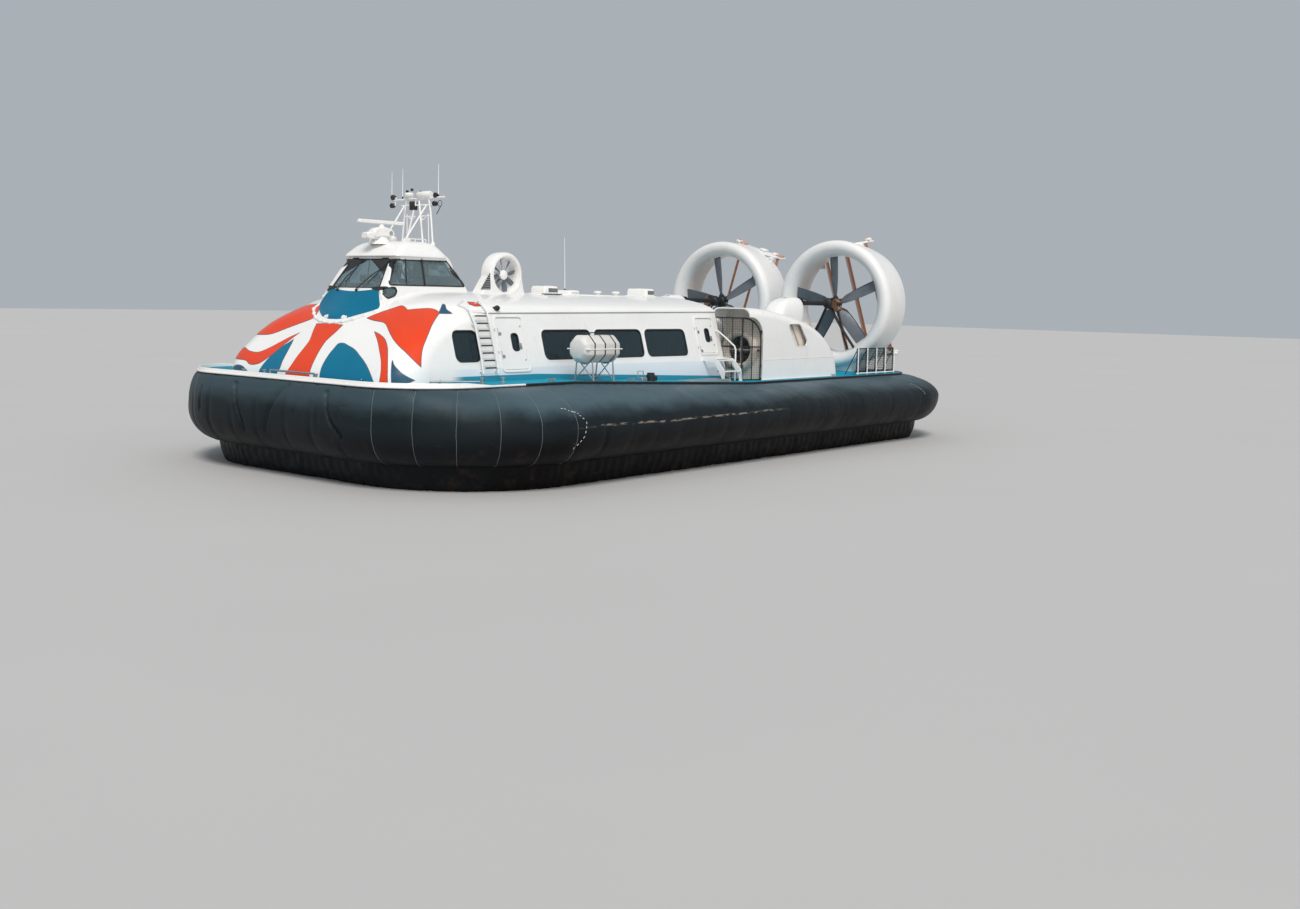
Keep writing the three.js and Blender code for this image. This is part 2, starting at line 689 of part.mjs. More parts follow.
// Bow thrusters: a cowl with a tunnel across it, and a fan inside
function thrusterCowl() {
  const { x, y, z, depth, outer, bore, footHalf } = thruster;
  const arch = Array.from({ length: 15 }, (_, i) => {
    const angle = THREE.MathUtils.degToRad(-10 + (200 * i) / 14);
    return [x + outer * Math.cos(angle), z + outer * Math.sin(angle)];
  });
  const profile = [[x - footHalf - 150, 4100], [x + footHalf, 4100], ...arch];
  const body = alongY(profile, y - depth / 2, y + depth / 2);
  const tunnel = solid(new THREE.CylinderGeometry(bore, bore, depth + 100, 24).translate(x, y, z));
  const strutReach = bore + 30;
  const hubY = y - thrusterHub.back;
  const { radius: hubRadius, height: hubHeight } = thrusterHub;
  const hub = join(
    solid(new THREE.CylinderGeometry(hubRadius, hubRadius, hubHeight, 16).translate(x, hubY, z)),
    bar([x - strutReach, hubY, z], [x + strutReach, hubY, z], 22),
    bar([x, hubY, z - strutReach], [x, hubY, z + strutReach], 22),
  );
  return cut(join(cut(body, tunnel), hub), cabinGrown);
}
addPair("thruster_cowl", thrusterCowl(), "white");

function fan(radius, hub, depth, blades, sides, pitch) {
  const core = solid(new THREE.CylinderGeometry(hub, hub, depth, sides));
  const made = Array.from({ length: blades }, (_, i) => {
    const blade = new THREE.BoxGeometry(radius - hub * 0.5, radius * 0.035, radius * 0.34);
    blade.rotateX(THREE.MathUtils.degToRad(pitch));
    blade.translate((radius + hub * 0.5) / 2, 0, 0);
    blade.rotateY((2 * Math.PI * i) / blades);
    return solid(blade);
  });
  return join(core, ...made);
}
const { radius: wheelRadius, hub: wheelHub, depth: wheelDepth, blades: wheelBlades } = thrusterWheel;
const thrusterFan = fan(wheelRadius, wheelHub, wheelDepth, wheelBlades, 16, 35)
  .translate([thruster.x, thrusterWheel.y, thruster.z]);
const hubFace = thruster.y - thrusterHub.back + thrusterHub.height / 2;
const thrusterPin = bar(
  [thruster.x, hubFace + 0.5, thruster.z],
  [thruster.x, thrusterWheel.y, thruster.z],
  40,
  12,
);
addPair("thruster_fan", join(thrusterFan, thrusterPin), "dark");

// Roof vents on one plinth
const ventPlinth = box(
  vents[2][0] - 40,
  vents[0][1] + 40,
  ventRow.y - ventRow.plinthHalf,
  ventRow.y + ventRow.plinthHalf,
  ventRow.roof - 200,
  ventRow.roof + ventRow.plinthTop,
);
const ventBoxes = vents.map(([rear, front, half, height]) => {
  const low = ventRow.roof - ventRow.foot;
  const high = ventRow.roof + height;
  const section = [
    [rear, low],
    [front, low],
    [front, ventRow.roof + 60],
    [front - 20, high - 40],
    [front - 70, high],
    [rear + 60, high],
    [rear, high - 60],
  ];
  return alongY(section, ventRow.y - half, ventRow.y + half);
});
add("roof_vents", cut(join(ventPlinth, ...ventBoxes), cabinGrown), "white");

// Nacelle: skin round the engine bay, with the lift fan's inlet in its front wall
function nacelleSolid(inset, side = nacelleSide) {
  const y0 = nacelle.inner + inset;
  const y1 = nacelle.outer - inset;
  const floor = 1900;
  const r = nacelle.roundTop;
  const edge = (y, start) => Array.from({ length: 5 }, (_, i) => {
    const angle = THREE.MathUtils.degToRad(start + (90 * i) / 4);
    return [y + r * Math.cos(angle), r * Math.sin(angle)];
  });
  const roof = [...edge(y1 - r, 0), ...edge(y0 + r, 90)];
  const sections = side.map(([station, z], i) => {
    const x = i === 0 ? station - inset : station;
    return [[x, y0, floor], [x, y1, floor], ...roof.map(([y, rise]) => [x, y, z - inset - r + rise])];
  });
  return loftAlongX(sections.reverse()).intersect(box(nacelle.rear + inset, 0, 0, reach, 0, reach));
}

const inletHole = turned([[0, -200], [intake.radius, -200], [intake.radius, 200], [0, 200]], 20, "x");
const inletLip = turned(
  [
    [intake.radius, -40],
    [intake.radius, 20],
    [intake.radius + 30, 70],
    [intake.radius + 70, intake.lip],
    [intake.radius + 110, 60],
    [intake.radius + 110, -40],
    [intake.radius, -40],
  ],
  20,
  "x",
);
const inletAt = [nacelle.front, intake.y, intake.z];
const spiderX = nacelle.front - 22;
const spiderReach = intake.radius + 30;
const hubEnd = nacelle.front - 60;
const fanSpider = join(
  bar([spiderX, intake.y - spiderReach, intake.z], [spiderX, intake.y + spiderReach, intake.z], 20),
  bar([spiderX, intake.y, intake.z - spiderReach], [spiderX, intake.y, intake.z + spiderReach], 20),
  bar([hubEnd, intake.y, intake.z], [nacelle.front + 20, intake.y, intake.z], 70, 12),
);
// The hood carries the nacelle's roof forward over the guard
const hoodShape = (inset, front, rear) => nacelleSolid(inset, [[front, hood.top], [rear, hood.top]]);
const hoodSkin = cut(
  hoodShape(0, hood.front, nacelle.front - 10),
  hoodShape(nacelle.skin, hood.front + 200, nacelle.front - 200),
).intersect(box(nacelle.rear, 0, 0, reach, hood.low, reach));
const nacelleSkin = cut(
  join(
    cut(nacelleSolid(0), nacelleSolid(nacelle.skin), inletHole.translate(inletAt)),
    hoodSkin,
    inletLip.translate(inletAt),
    fanSpider,
  ),
  alongY(nacellePort, nacelle.outer - 120, nacelle.outer + 100),
  underDeck,
);
addPair("nacelle", nacelleSkin, "white");

const fanAxis = new THREE.Matrix4().makeRotationZ(-Math.PI / 2);
function turnToX(manifold) {
  return solid(geometryOf(manifold).applyMatrix4(fanAxis));
}
const wheelX = liftFan.x - liftFan.depth / 2;
const backPlate = [
  [0, -liftFan.depth / 2],
  [liftFan.radius, -liftFan.depth / 2],
  [liftFan.radius, 30 - liftFan.depth / 2],
  [0, 30 - liftFan.depth / 2],
];
const liftWheel = join(
  turnToX(fan(liftFan.radius - 40, liftFan.hub, liftFan.depth, liftFan.blades, 16, 90)),
  turned(backPlate, 24, "x"),
  bar([liftFan.depth / 2 - 1, 0, 0], [hubEnd - 0.5 - wheelX, 0, 0], 50, 12),
);
addPair("lift_fan", liftWheel.translate([wheelX, intake.y, intake.z]), "grey");

const engineBlock = box(
  engine.rear,
  engine.front,
  engine.y - engine.half,
  engine.y + engine.half,
  deck.aft + gap,
  deck.aft + engine.height,
);
addPair("engine", engineBlock, "dark");

// Guard of bars in front of the lift fan's inlet
function intakeGuard() {
  const { front, y, inner, bar: size, bars, top } = guard;
  const low = 2050;
  const back = nacelle.front + gap;
  const topRail = [
    [back, top - 260],
    [back, top - 260 - size],
    [front - 300, top - size],
    [front, top - size],
    [front, top],
    [front - 290, top],
  ];
  const pieces = [
    box(front - size, front, inner + 40, y, low, low + 90),
    box(front - size, front, inner + 40, y, top - size, top),
    box(back, front, y - size, y, low, low + 90),
    alongY(topRail, y - size, y),
    box(front - size, front, inner + 40, y, 3080, 3080 + size),
    box(back, front, y - size, y, 3080, 3080 + size),
    box(front - size, front, y - size, y, low, top),
  ];
  for (let i = 0; i < bars; i++) {
    const at = inner + 40 + ((y - inner - 40) * i) / bars;
    pieces.push(box(front - size, front, at, at + size, low, top));
  }
  for (let i = 1; i < 3; i++) {
    const at = front - ((front - back) * i) / 3;
    pieces.push(box(at - size, at, y - size, y, low, top - (i === 2 ? 140 : 20)));
  }
  pieces.push(box(back, back + size, y - size, y, low, top - 270));
  return cut(join(...pieces), underDeck, cabinGrown);
}
addPair("intake_guard", intakeGuard(), "dark");

// Belt drive fairings in front of the ducts
const fairingInner = duct.y - fairingHalf;
const fairingOuter = duct.y + fairingHalf;
const fairingBody = alongY(fairingSide.slice().reverse(), fairingInner, fairingOuter);
const fairingEnds = [
  [fairingInner, 1900],
  [fairingOuter, 1900],
  [fairingOuter, 4280],
  [fairingOuter - 90, 4460],
  [fairingOuter - 250, 4562],
  [fairingInner + 250, 4562],
  [fairingInner + 90, 4460],
  [fairingInner, 4280],
];
addPair("drive_fairing", cut(fairingBody.intersect(alongX(fairingEnds, -8000, -5000)), underDeck), "white");

// Ducts: a turned ring with a thick rounded lip, the shaft bearing, its struts, a foot and the rudder spars
const ductSides = 32;
const shaftSides = 24;
const ductLength = duct.front - duct.end;
const ductProfile = [
  [duct.rear, 0],
  [duct.lip - 20, ductLength - 420],
  [duct.lip, ductLength - 260],
  [duct.lip - 25, ductLength - 120],
  [duct.lip - 110, ductLength - 25],
  [duct.lip - 215, ductLength],
  [duct.lip - 330, ductLength - 35],
  [duct.lip - 430, ductLength - 130],
  [duct.throat + 30, ductLength - 260],
  [duct.throat, ductLength - 420],
  [duct.throat + 40, 500],
  [duct.rear - 60, 0],
  [duct.rear, 0],
];
// From a duct's own canted frame to the port duct's place
function inCant(manifold) {
  return manifold.rotate([rudder.cant, 0, 0]).translate([0, duct.y, duct.z]);
}

// A cylinder along X from a start to an end
const drum = (radius, x0, x1, sides) => turned([[0, x0], [radius, x0], [radius, x1], [0, x1]], sides, "x");
const ductCore = drum(duct.rear - 20, duct.end, duct.front, ductSides);
function sparPlates() {
  const { reach: up, half, front, rear, thick } = spar;
  const outline = [
    [front, -half * 0.45],
    [rear + 250, -half],
    [rear, -half],
    [rear, half],
    [rear + 250, half],
    [front, half * 0.45],
  ];
  const plate = (q) => upright(outline, q - thick / 2, q + thick / 2);
  const arms = [-rudder.pitch, rudder.pitch].flatMap((p) => [
    box(duct.end - 30, -10450, p - 35, p + 35, 1500, up),
    box(duct.end - 30, -10450, p - 35, p + 35, -up, -1500),
  ]);
  return cut(join(plate(up), plate(-up), ...arms), ductCore);
}
function ductSolid() {
  const shroud = turned(ductProfile, ductSides, "x").translate([duct.end, 0, 0]);
  const boreRadius = propeller.shaft + 1.3;
  const sleeveProfile = [
    [boreRadius, bearing.to],
    [bearing.radius, bearing.to],
    [bearing.radius, bearing.from],
    [boreRadius, bearing.from],
    [boreRadius, bearing.to],
  ];
  const sleeve = turned(sleeveProfile, shaftSides, "x");
  const middle = (bearing.from + bearing.to) / 2;
  const strut = (angle, radius) => {
    const a = THREE.MathUtils.degToRad(angle);
    const from = [middle, 130 * Math.cos(a), 130 * Math.sin(a)];
    const to = [middle - 350, (duct.throat + 130) * Math.cos(a), (duct.throat + 130) * Math.sin(a)];
    return bar(from, to, radius, 6);
  };
  const struts = [0, 120, 240, 300].map((angle) => strut(angle, 45));
  return join(shroud, sleeve, ...struts).translate([0, duct.y, duct.z]);
}
const ductFoot = cut(
  box(-10400, -9350, duct.y - 700, duct.y + 700, 1950, 2700),
  drum(duct.rear - 10, -10500, -9300, ductSides).translate([0, duct.y, duct.z]),
);
addPair("prop_duct", cut(join(ductSolid(), ductFoot, inCant(sparPlates())), underDeck), "white");

// Propellers: hub, shaft and five twisted blades
function propellerSolid(phase) {
  const { radius, blades, hub, shaft, shaftFront, x } = propeller;
  // Blade sections: distance out, half chord, thickness, pitch angle
  const rows = [
    [hub * 0.6, 110, 70, 50],
    [radius * 0.3, 190, 60, 38],
    [radius * 0.6, 210, 42, 27],
    [radius * 0.85, 185, 28, 20],
    [radius - 2, 120, 18, 16],
  ];
  const rings = rows.map(([r, chord, thick, pitch]) => {
    const a = THREE.MathUtils.degToRad(pitch);
    const section = [
      [-chord, 0],
      [-chord * 0.5, thick / 2],
      [chord * 0.3, thick / 2],
      [chord, 0],
      [chord * 0.3, -thick / 2],
      [-chord * 0.5, -thick / 2],
    ];
    return section.map(([u, v]) => {
      return [u * Math.sin(a) + v * Math.cos(a), u * Math.cos(a) - v * Math.sin(a), r];
    });
  });
  const blade = loft(rings);
  const set = Array.from({ length: blades }, (_, i) => {
    return blade.rotate([phase - 90 + (360 * i) / blades, 0, 0]).translate([x, 0, 0]);
  });
  const hubProfile = [
    [0, x + 170],
    [hub * 0.75, x + 150],
    [hub, x + 80],
    [hub, x - 120],
    [hub * 0.7, x - 240],
    [0, x - 300],
  ];
  const collar = drum(shaft + 35, bearing.from + 0.5, bearing.from + 40, 16);
  const axle = drum(shaft, x - 100, shaftFront - clear, shaftSides);
  return join(axle, collar, turned(hubProfile, 16, "x"), ...set);
}
const portPropeller = propellerSolid(bladePhase.port).translate([0, duct.y, duct.z]);
const starboardPropeller = propellerSolid(bladePhase.starboard).translate([0, -duct.y, duct.z]);
add("propeller_port", portPropeller, "grey");
add("propeller_starboard", starboardPropeller, "grey");

// Rudders: three behind each duct
const rudderSection = [
  [rudder.fore, 0],
  [rudder.fore - 50, rudder.thick * 0.4],
  [0, rudder.thick / 2],
  [-rudder.aft * 0.5, rudder.thick * 0.36],
  [-rudder.aft, 6],
  [-rudder.aft, -6],
  [-rudder.aft * 0.5, -rudder.thick * 0.36],
  [0, -rudder.thick / 2],
  [rudder.fore - 50, -rudder.thick * 0.4],
];
const stockTop = spar.reach - spar.thick / 2 - gap;
const rudderBlade = join(
  upright(rudderSection, -rudder.half, rudder.half),
  bar([0, 0, -stockTop], [0, 0, stockTop], stockRadius, 12),
);
for (const [sideName, sign] of [["port", 1], ["starboard", -1]]) {
  [["outer", 1], ["middle", 0], ["inner", -1]].forEach(([place, step]) => {
    const blade = rudderBlade
      .rotate([0, 0, rudderRest])
      .translate([rudder.x, sign * step * rudder.pitch, 0])
      .rotate([sign * rudder.cant, 0, 0])
      .translate([0, sign * duct.y, duct.z]);
    add("rudder_" + sideName + "_" + place, blade, "orange");
  });
}

// Liferaft canisters in their cradles on the side decks
function liferaft() {
  const { rear, front, y, z, radius, saddleSet } = raftCanister;
  const length = front - rear;
  const profile = [
    [0, 0],
    [radius - 90, 0],
    [radius - 20, 60],
    [radius, 160],
    [radius, length - 160],
    [radius - 20, length - 60],
    [radius - 90, length],
    [0, length],
  ];
  const canister = turned(profile, 18, "x").translate([rear, y, z]);
  const low = 2000;
  const saddles = [rear + saddleSet, front - saddleSet].flatMap((x) => [
    box(x - 40, x + 40, y - 300, y + 300, z - radius - 40, z - radius + 90),
    rail([[x, y - 260, z - radius], [x, y - 330, low]], 28),
    rail([[x, y + 260, z - radius], [x, y + 320, low]], 28),
  ]);
  return cut(join(canister, ...saddles), underDeck);
}
addPair("liferaft", liferaft(), "white");

// Ladder on the port side of the cabin up to the roof, leaning with the wall
const ladderAt = (x, z, out) => [x, sideY(z) + out, z];
const ladderRails = [ladder.rear, ladder.front].flatMap((x) => {
  const foot = ladderAt(x, ladderLevels.foot, ladder.stand);
  const eave = ladderAt(x, ladderLevels.knee, ladder.stand);
  return [
    rail([foot, eave, [x, 2900, ladderLevels.top], [x, 2650, 4100]], ladder.tube, 4),
    ...ladderLevels.brackets.map((z) => bar(ladderAt(x, z, ladder.stand), ladderAt(x, z, -30), 17, 4)),
  ];
});
const [rungLow, rungHigh] = ladderLevels.rungs;
const ladderRungs = Array.from({ length: ladder.rungs }, (_, i) => {
  const z = rungLow + ((rungHigh - rungLow) * i) / (ladder.rungs - 1);
  return bar(ladderAt(ladder.rear, z, ladder.stand), ladderAt(ladder.front, z, ladder.stand), 17, 4);
});
add("roof_ladder", cut(join(...ladderRails, ...ladderRungs), underDeck, cabinGrown), "metal");

// Steps below the aft hatch, with a handrail on their aft side
function boardingSteps() {
  const { rear, front, treads, tread, rail: tube } = steps;
  const pieces = treads.map(([z, y]) => box(rear, front, y - tread, y, z - 30, z));
  for (const x of [rear + 20, front - 20]) {
    pieces.push(
      alongX([[3440, 2640], [4060, 2340], [4060, 2260], [3440, 2560]], x - 20, x + 20),
      box(x - 20, x + 20, 3960, 4060, 1950, 2380),
      box(x - 20, x + 20, 3400, 3500, 2560, 2700),
    );
  }
  const railX = rear - 60;
  pieces.push(
    rail([[railX, 3180, 3500], [railX, 3300, 3500], [railX, 3960, 3050], [railX, 3960, 1950]], tube, 4),
    bar([rear + 10, 3960, 2300], [railX, 3960, 2300], tube, 4),
  );
  return cut(join(...pieces), underDeck, cabinGrown);
}
addPair("boarding_steps", boardingSteps(), "metal");

export default group;
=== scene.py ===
from contextlib import contextmanager
from math import atan, copysign, cos, exp, pi, radians, sin, sqrt, tan

import bmesh
import bpy
import numpy as np
from mathutils import Matrix, Vector, noise
from mathutils.bvhtree import BVHTree
from mathutils.geometry import delaunay_2d_cdt


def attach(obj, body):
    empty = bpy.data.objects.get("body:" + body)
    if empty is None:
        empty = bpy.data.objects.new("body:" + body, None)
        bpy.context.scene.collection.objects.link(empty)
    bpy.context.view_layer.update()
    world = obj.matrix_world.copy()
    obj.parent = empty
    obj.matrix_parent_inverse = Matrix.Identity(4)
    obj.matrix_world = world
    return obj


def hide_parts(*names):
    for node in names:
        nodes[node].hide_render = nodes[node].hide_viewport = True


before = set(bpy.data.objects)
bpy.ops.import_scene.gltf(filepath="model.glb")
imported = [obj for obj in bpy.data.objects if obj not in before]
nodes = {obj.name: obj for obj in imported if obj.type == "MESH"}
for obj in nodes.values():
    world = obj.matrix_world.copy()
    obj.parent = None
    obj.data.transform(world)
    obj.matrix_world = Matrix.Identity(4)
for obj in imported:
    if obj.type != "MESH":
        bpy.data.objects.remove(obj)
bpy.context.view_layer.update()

# A passenger hovercraft at rest on its skirt. Metres; +X is the bow, +Y is port, +Z is up.
scene = bpy.context.scene
sides = dict(port=1, starboard=-1)


# Shader building blocks
def newGroup(name, inputs, outputs):
    group = bpy.data.node_groups.new(name, "ShaderNodeTree")
    for label, kind, value in inputs:
        group.interface.new_socket(name=label, in_out="INPUT", socket_type=kind).default_value = value
    for label in outputs:
        group.interface.new_socket(name=label, in_out="OUTPUT", socket_type="NodeSocketFloat")
    return group, group.nodes.new("NodeGroupInput"), group.nodes.new("NodeGroupOutput")


def feed(tree, socket, value):
    if isinstance(value, bpy.types.NodeSocket):
        tree.links.new(value, socket)
    else:
        socket.default_value = value


def calc(tree, operation, *values, clamp=False):
    node = tree.nodes.new("ShaderNodeMath")
    node.operation, node.use_clamp = operation, clamp
    for socket, value in zip(node.inputs, values):
        feed(tree, socket, value)
    return node.outputs[0]


def cloud(tree, vector, scale, detail=4.0, roughness=0.55):
    node = tree.nodes.new("ShaderNodeTexNoise")
    for label, value in (("Vector", vector), ("Scale", scale), ("Detail", detail),
            ("Roughness", roughness)):
        feed(tree, node.inputs[label], value)
    return node.outputs["Fac"]


def stretched(tree, vector, scale):
    node = tree.nodes.new("ShaderNodeVectorMath")
    node.operation = "MULTIPLY"
    tree.links.new(vector, node.inputs[0])
    node.inputs[1].default_value = scale
    return node.outputs[0]


def fade(tree, value, low, high):
    node = tree.nodes.new("ShaderNodeMapRange")
    node.interpolation_type = "SMOOTHSTEP"
    for label, given in (("Value", value), ("From Min", low), ("From Max", high)):
        feed(tree, node.inputs[label], given)
    return node.outputs["Result"]


def blended(tree, factor, first, second):
    node = tree.nodes.new("ShaderNodeMix")
    node.data_type = "RGBA"
    wanted = dict(Factor_Float=factor, A_Color=first, B_Color=second)
    for socket in node.inputs:
        value = wanted.get(socket.identifier)
        if value is not None:
            feed(tree, socket, (*value, 1.0) if isinstance(value, tuple) else value)
    return next(s for s in node.outputs if s.identifier == "Result_Color")


def axes(tree, place):
    split = tree.nodes.new("ShaderNodeSeparateXYZ")
    tree.links.new(place, split.inputs[0])
    return split.outputs["X"], split.outputs["Y"], split.outputs["Z"]


# Weather: soft stains, runs that hang down, and small speckle
def makeWeather():
    group, into, out = newGroup(
        "weather",
        [("Vector", "NodeSocketVector", (0, 0, 0)), ("Size", "NodeSocketFloat", 1.0)],
        ["Stain", "Runs", "Speckle"],
    )
    place, size = into.outputs["Vector"], into.outputs["Size"]
    soft = cloud(group, place, size, 6.0, 0.62)
    runs = cloud(group, stretched(group, place, (6.0, 6.0, 0.45)), 1.7, 3.0, 0.6)
    speckle = cloud(group, place, 38.0, 3.0, 0.7)
    group.links.new(fade(group, soft, 0.42, 0.78), out.inputs["Stain"])
    group.links.new(fade(group, runs, 0.56, 0.82), out.inputs["Runs"])
    group.links.new(fade(group, speckle, 0.6, 0.8), out.inputs["Speckle"])
    return group


# Grain: fine and broad unevenness as one height
def makeGrain():
    group, into, out = newGroup(
        "grain",
        [("Vector", "NodeSocketVector", (0, 0, 0)), ("Fine", "NodeSocketFloat", 90.0),
            ("Broad", "NodeSocketFloat", 2.0), ("Wave", "NodeSocketFloat", 0.5)],
        ["Height"],
    )
    place = into.outputs["Vector"]
    fine = cloud(group, place, into.outputs["Fine"], 2.0, 0.5)
    broad = cloud(group, place, into.outputs["Broad"], 3.0, 0.5)
    share = calc(group, "MULTIPLY", broad, into.outputs["Wave"])
    group.links.new(calc(group, "ADD", fine, share), out.inputs["Height"])
    return group


weather, grain = makeWeather(), makeGrain()


def placed(tree, group, vector, **values):
    node = tree.nodes.new("ShaderNodeGroup")
    node.node_tree = group
    tree.links.new(vector, node.inputs["Vector"])
    for label, value in values.items():
        node.inputs[label].default_value = value
    return node


# A new material with its shader, and the object's own coordinates in it
def newMaterial(name):
    material = bpy.data.materials.new(name)
    material.use_nodes = True
    tree = material.node_tree
    place = tree.nodes.new("ShaderNodeTexCoord").outputs["Object"]
    return material, tree, tree.nodes["Principled BSDF"], place


# A finish: its colour, what dirties it and how much, how rough it is, and how coarse its grain is
usual = dict(stain=0.3, runs=0.15, speckle=0.12, size=0.7, rough=0.4, spread=0.15, metal=0.0, coat=0.0,
    specular=0.5, fine=70.0, broad=1.6, wave=1.5, bump=0.12, depth=0.004)


def makeFinish(name, given):
    look = {**usual, **given}
    material, tree, shader, place = newMaterial(name)
    wear = placed(tree, weather, place, Size=look["size"])
    colour = look["colour"]
    for mask in ("Stain", "Runs", "Speckle"):
        amount = calc(tree, "MULTIPLY", wear.outputs[mask], look[mask.lower()])
        colour = blended(tree, amount, colour, look["dirt"])
    if "extra" in look:
        colour = look["extra"](tree, place, colour)
    tree.links.new(colour, shader.inputs["Base Color"])
    rough = calc(tree, "MULTIPLY_ADD", wear.outputs["Stain"], look["spread"], look["rough"], clamp=True)
    tree.links.new(rough, shader.inputs["Roughness"])
    shader.inputs["Metallic"].default_value = look["metal"]
    shader.inputs["Coat Weight"].default_value = look["coat"]
    shader.inputs["Specular IOR Level"].default_value = look["specular"]
    shader.inputs["Coat Roughness"].default_value = 0.1
    surface = placed(tree, grain, place, Fine=look["fine"], Broad=look["broad"], Wave=look["wave"])
    bump = tree.nodes.new("ShaderNodeBump")
    bump.inputs["Strength"].default_value = look["bump"]
    bump.inputs["Distance"].default_value = look["depth"]
    tree.links.new(surface.outputs["Height"], bump.inputs["Height"])
    tree.links.new(bump.outputs["Normal"], shader.inputs["Normal"])
    return material


# The cabin is deck blue at its foot, cool grey up to a line below the windows, and white above
bands = dict(deck=2.21, rise=0.28, rampFrom=-1.0, rampTo=6.5, greyTop=2.655, bowFrom=8.9,
    blue=(0.002, 0.26, 0.37), grey=(0.76, 0.81, 0.85))


def cabinBands(tree, place, colour):
    x, _, z = axes(tree, place)
    ramp = tree.nodes.new("ShaderNodeMapRange")
    low = bands["deck"]
    for label, value in (("Value", x), ("From Min", bands["rampFrom"]), ("From Max", bands["rampTo"]),
            ("To Min", low), ("To Max", low + bands["rise"])):
        feed(tree, ramp.inputs[label], value)
    aboveGrey = fade(tree, z, bands["greyTop"] - 0.004, bands["greyTop"] + 0.004)
    onBow = fade(tree, x, bands["bowFrom"], bands["bowFrom"] + 0.5)
    wall = blended(tree, calc(tree, "MAXIMUM", aboveGrey, onBow), bands["grey"], colour)
    aboveBlue = calc(tree, "GREATER_THAN", z, ramp.outputs["Result"])
    return blended(tree, calc(tree, "MAXIMUM", aboveBlue, onBow), bands["blue"], wall)


# Chipped paint shows what lies under it
def chipped(under, low, high):
    def extra(tree, place, colour):
        chips = cloud(tree, place, 5.0, 6.0, 0.75)
        return blended(tree, fade(tree, chips, low, high), colour, under)
    return extra


# Skirt rubber: the low tone is painted shade, near-black below the bulge; the top tone is a painted sky
# reflection, blue-grey on top and weaker at the bow; with dried mud at the hem and long scuffs
rubberTones = dict(top=(0.068, 0.11, 0.132), middle=(0.011, 0.017, 0.021), low=(0.003, 0.003, 0.0035),
    mud=(0.11, 0.062, 0.036), scuff=(0.13, 0.12, 0.115), sand=(0.3, 0.25, 0.19), scrapeZ=1.54)


def skirtTones(tree, place, _):
    x, _, z = axes(tree, place)

    def patches(scale, *coarse):
        return cloud(tree, stretched(tree, place, scale), *coarse)

    def times(a, b):
        return calc(tree, "MULTIPLY", a, b)

    uneven = calc(tree, "SUBTRACT", patches((0.8, 0.8, 1.6), 0.9, 5.0, 0.6), 0.5)
    height = calc(tree, "MULTIPLY_ADD", uneven, 0.55, z)
    # painted shade: the near-black low tone below the bulge
    lower = blended(tree, fade(tree, height, 0.95, 1.6), rubberTones["low"], rubberTones["middle"])
    # painted sky reflection: the blue-grey top tone above the bulge
    paintedShadeAndSky = blended(tree, fade(tree, height, 1.6, 2.1), lower, rubberTones["top"])
    # towards the bow the painted shade and the painted sky reflection both lean to the middle tone
    paintedShadeAndSky = blended(tree, times(fade(tree, x, 8.6, 11.2), 0.45), paintedShadeAndSky, rubberTones["middle"])
    scuffs = times(fade(tree, patches((0.5, 0.5, 5.0), 2.6, 6.0, 0.7), 0.62, 0.8), 0.42)
    marked = blended(tree, scuffs, paintedShadeAndSky, rubberTones["scuff"])
    dust = cloud(tree, place, 2.3, 6.0, 0.7)
    muddy = times(fade(tree, dust, 0.5, 0.75), fade(tree, z, 1.5, 0.75))
    muddied = blended(tree, times(muddy, 0.22), marked, rubberTones["mud"])
    # a sandy scrape along the sides
    level = calc(tree, "MULTIPLY_ADD", patches((1.0, 1.0, 0.1), 0.7, 3.0, 0.5), 0.16, z)
    away = calc(tree, "ABSOLUTE", calc(tree, "SUBTRACT", level, rubberTones["scrapeZ"]))
    broken = fade(tree, patches((1.0, 1.0, 4.0), 5.0, 4.0, 0.6), 0.42, 0.58)
    reach = times(fade(tree, x, 8.4, 6.4), fade(tree, x, -0.8, 0.8))
    scrape = times(times(fade(tree, away, 0.034, 0.01), broken), reach)
    return blended(tree, times(scrape, 0.8), muddied, rubberTones["sand"])


def bladeWear(tree, place, colour):
    worn = cloud(tree, place, 3.2, 5.0, 0.7)
    return blended(tree, calc(tree, "MULTIPLY", fade(tree, worn, 0.62, 0.8), 0.35), colour,
        (0.3, 0.33, 0.36))


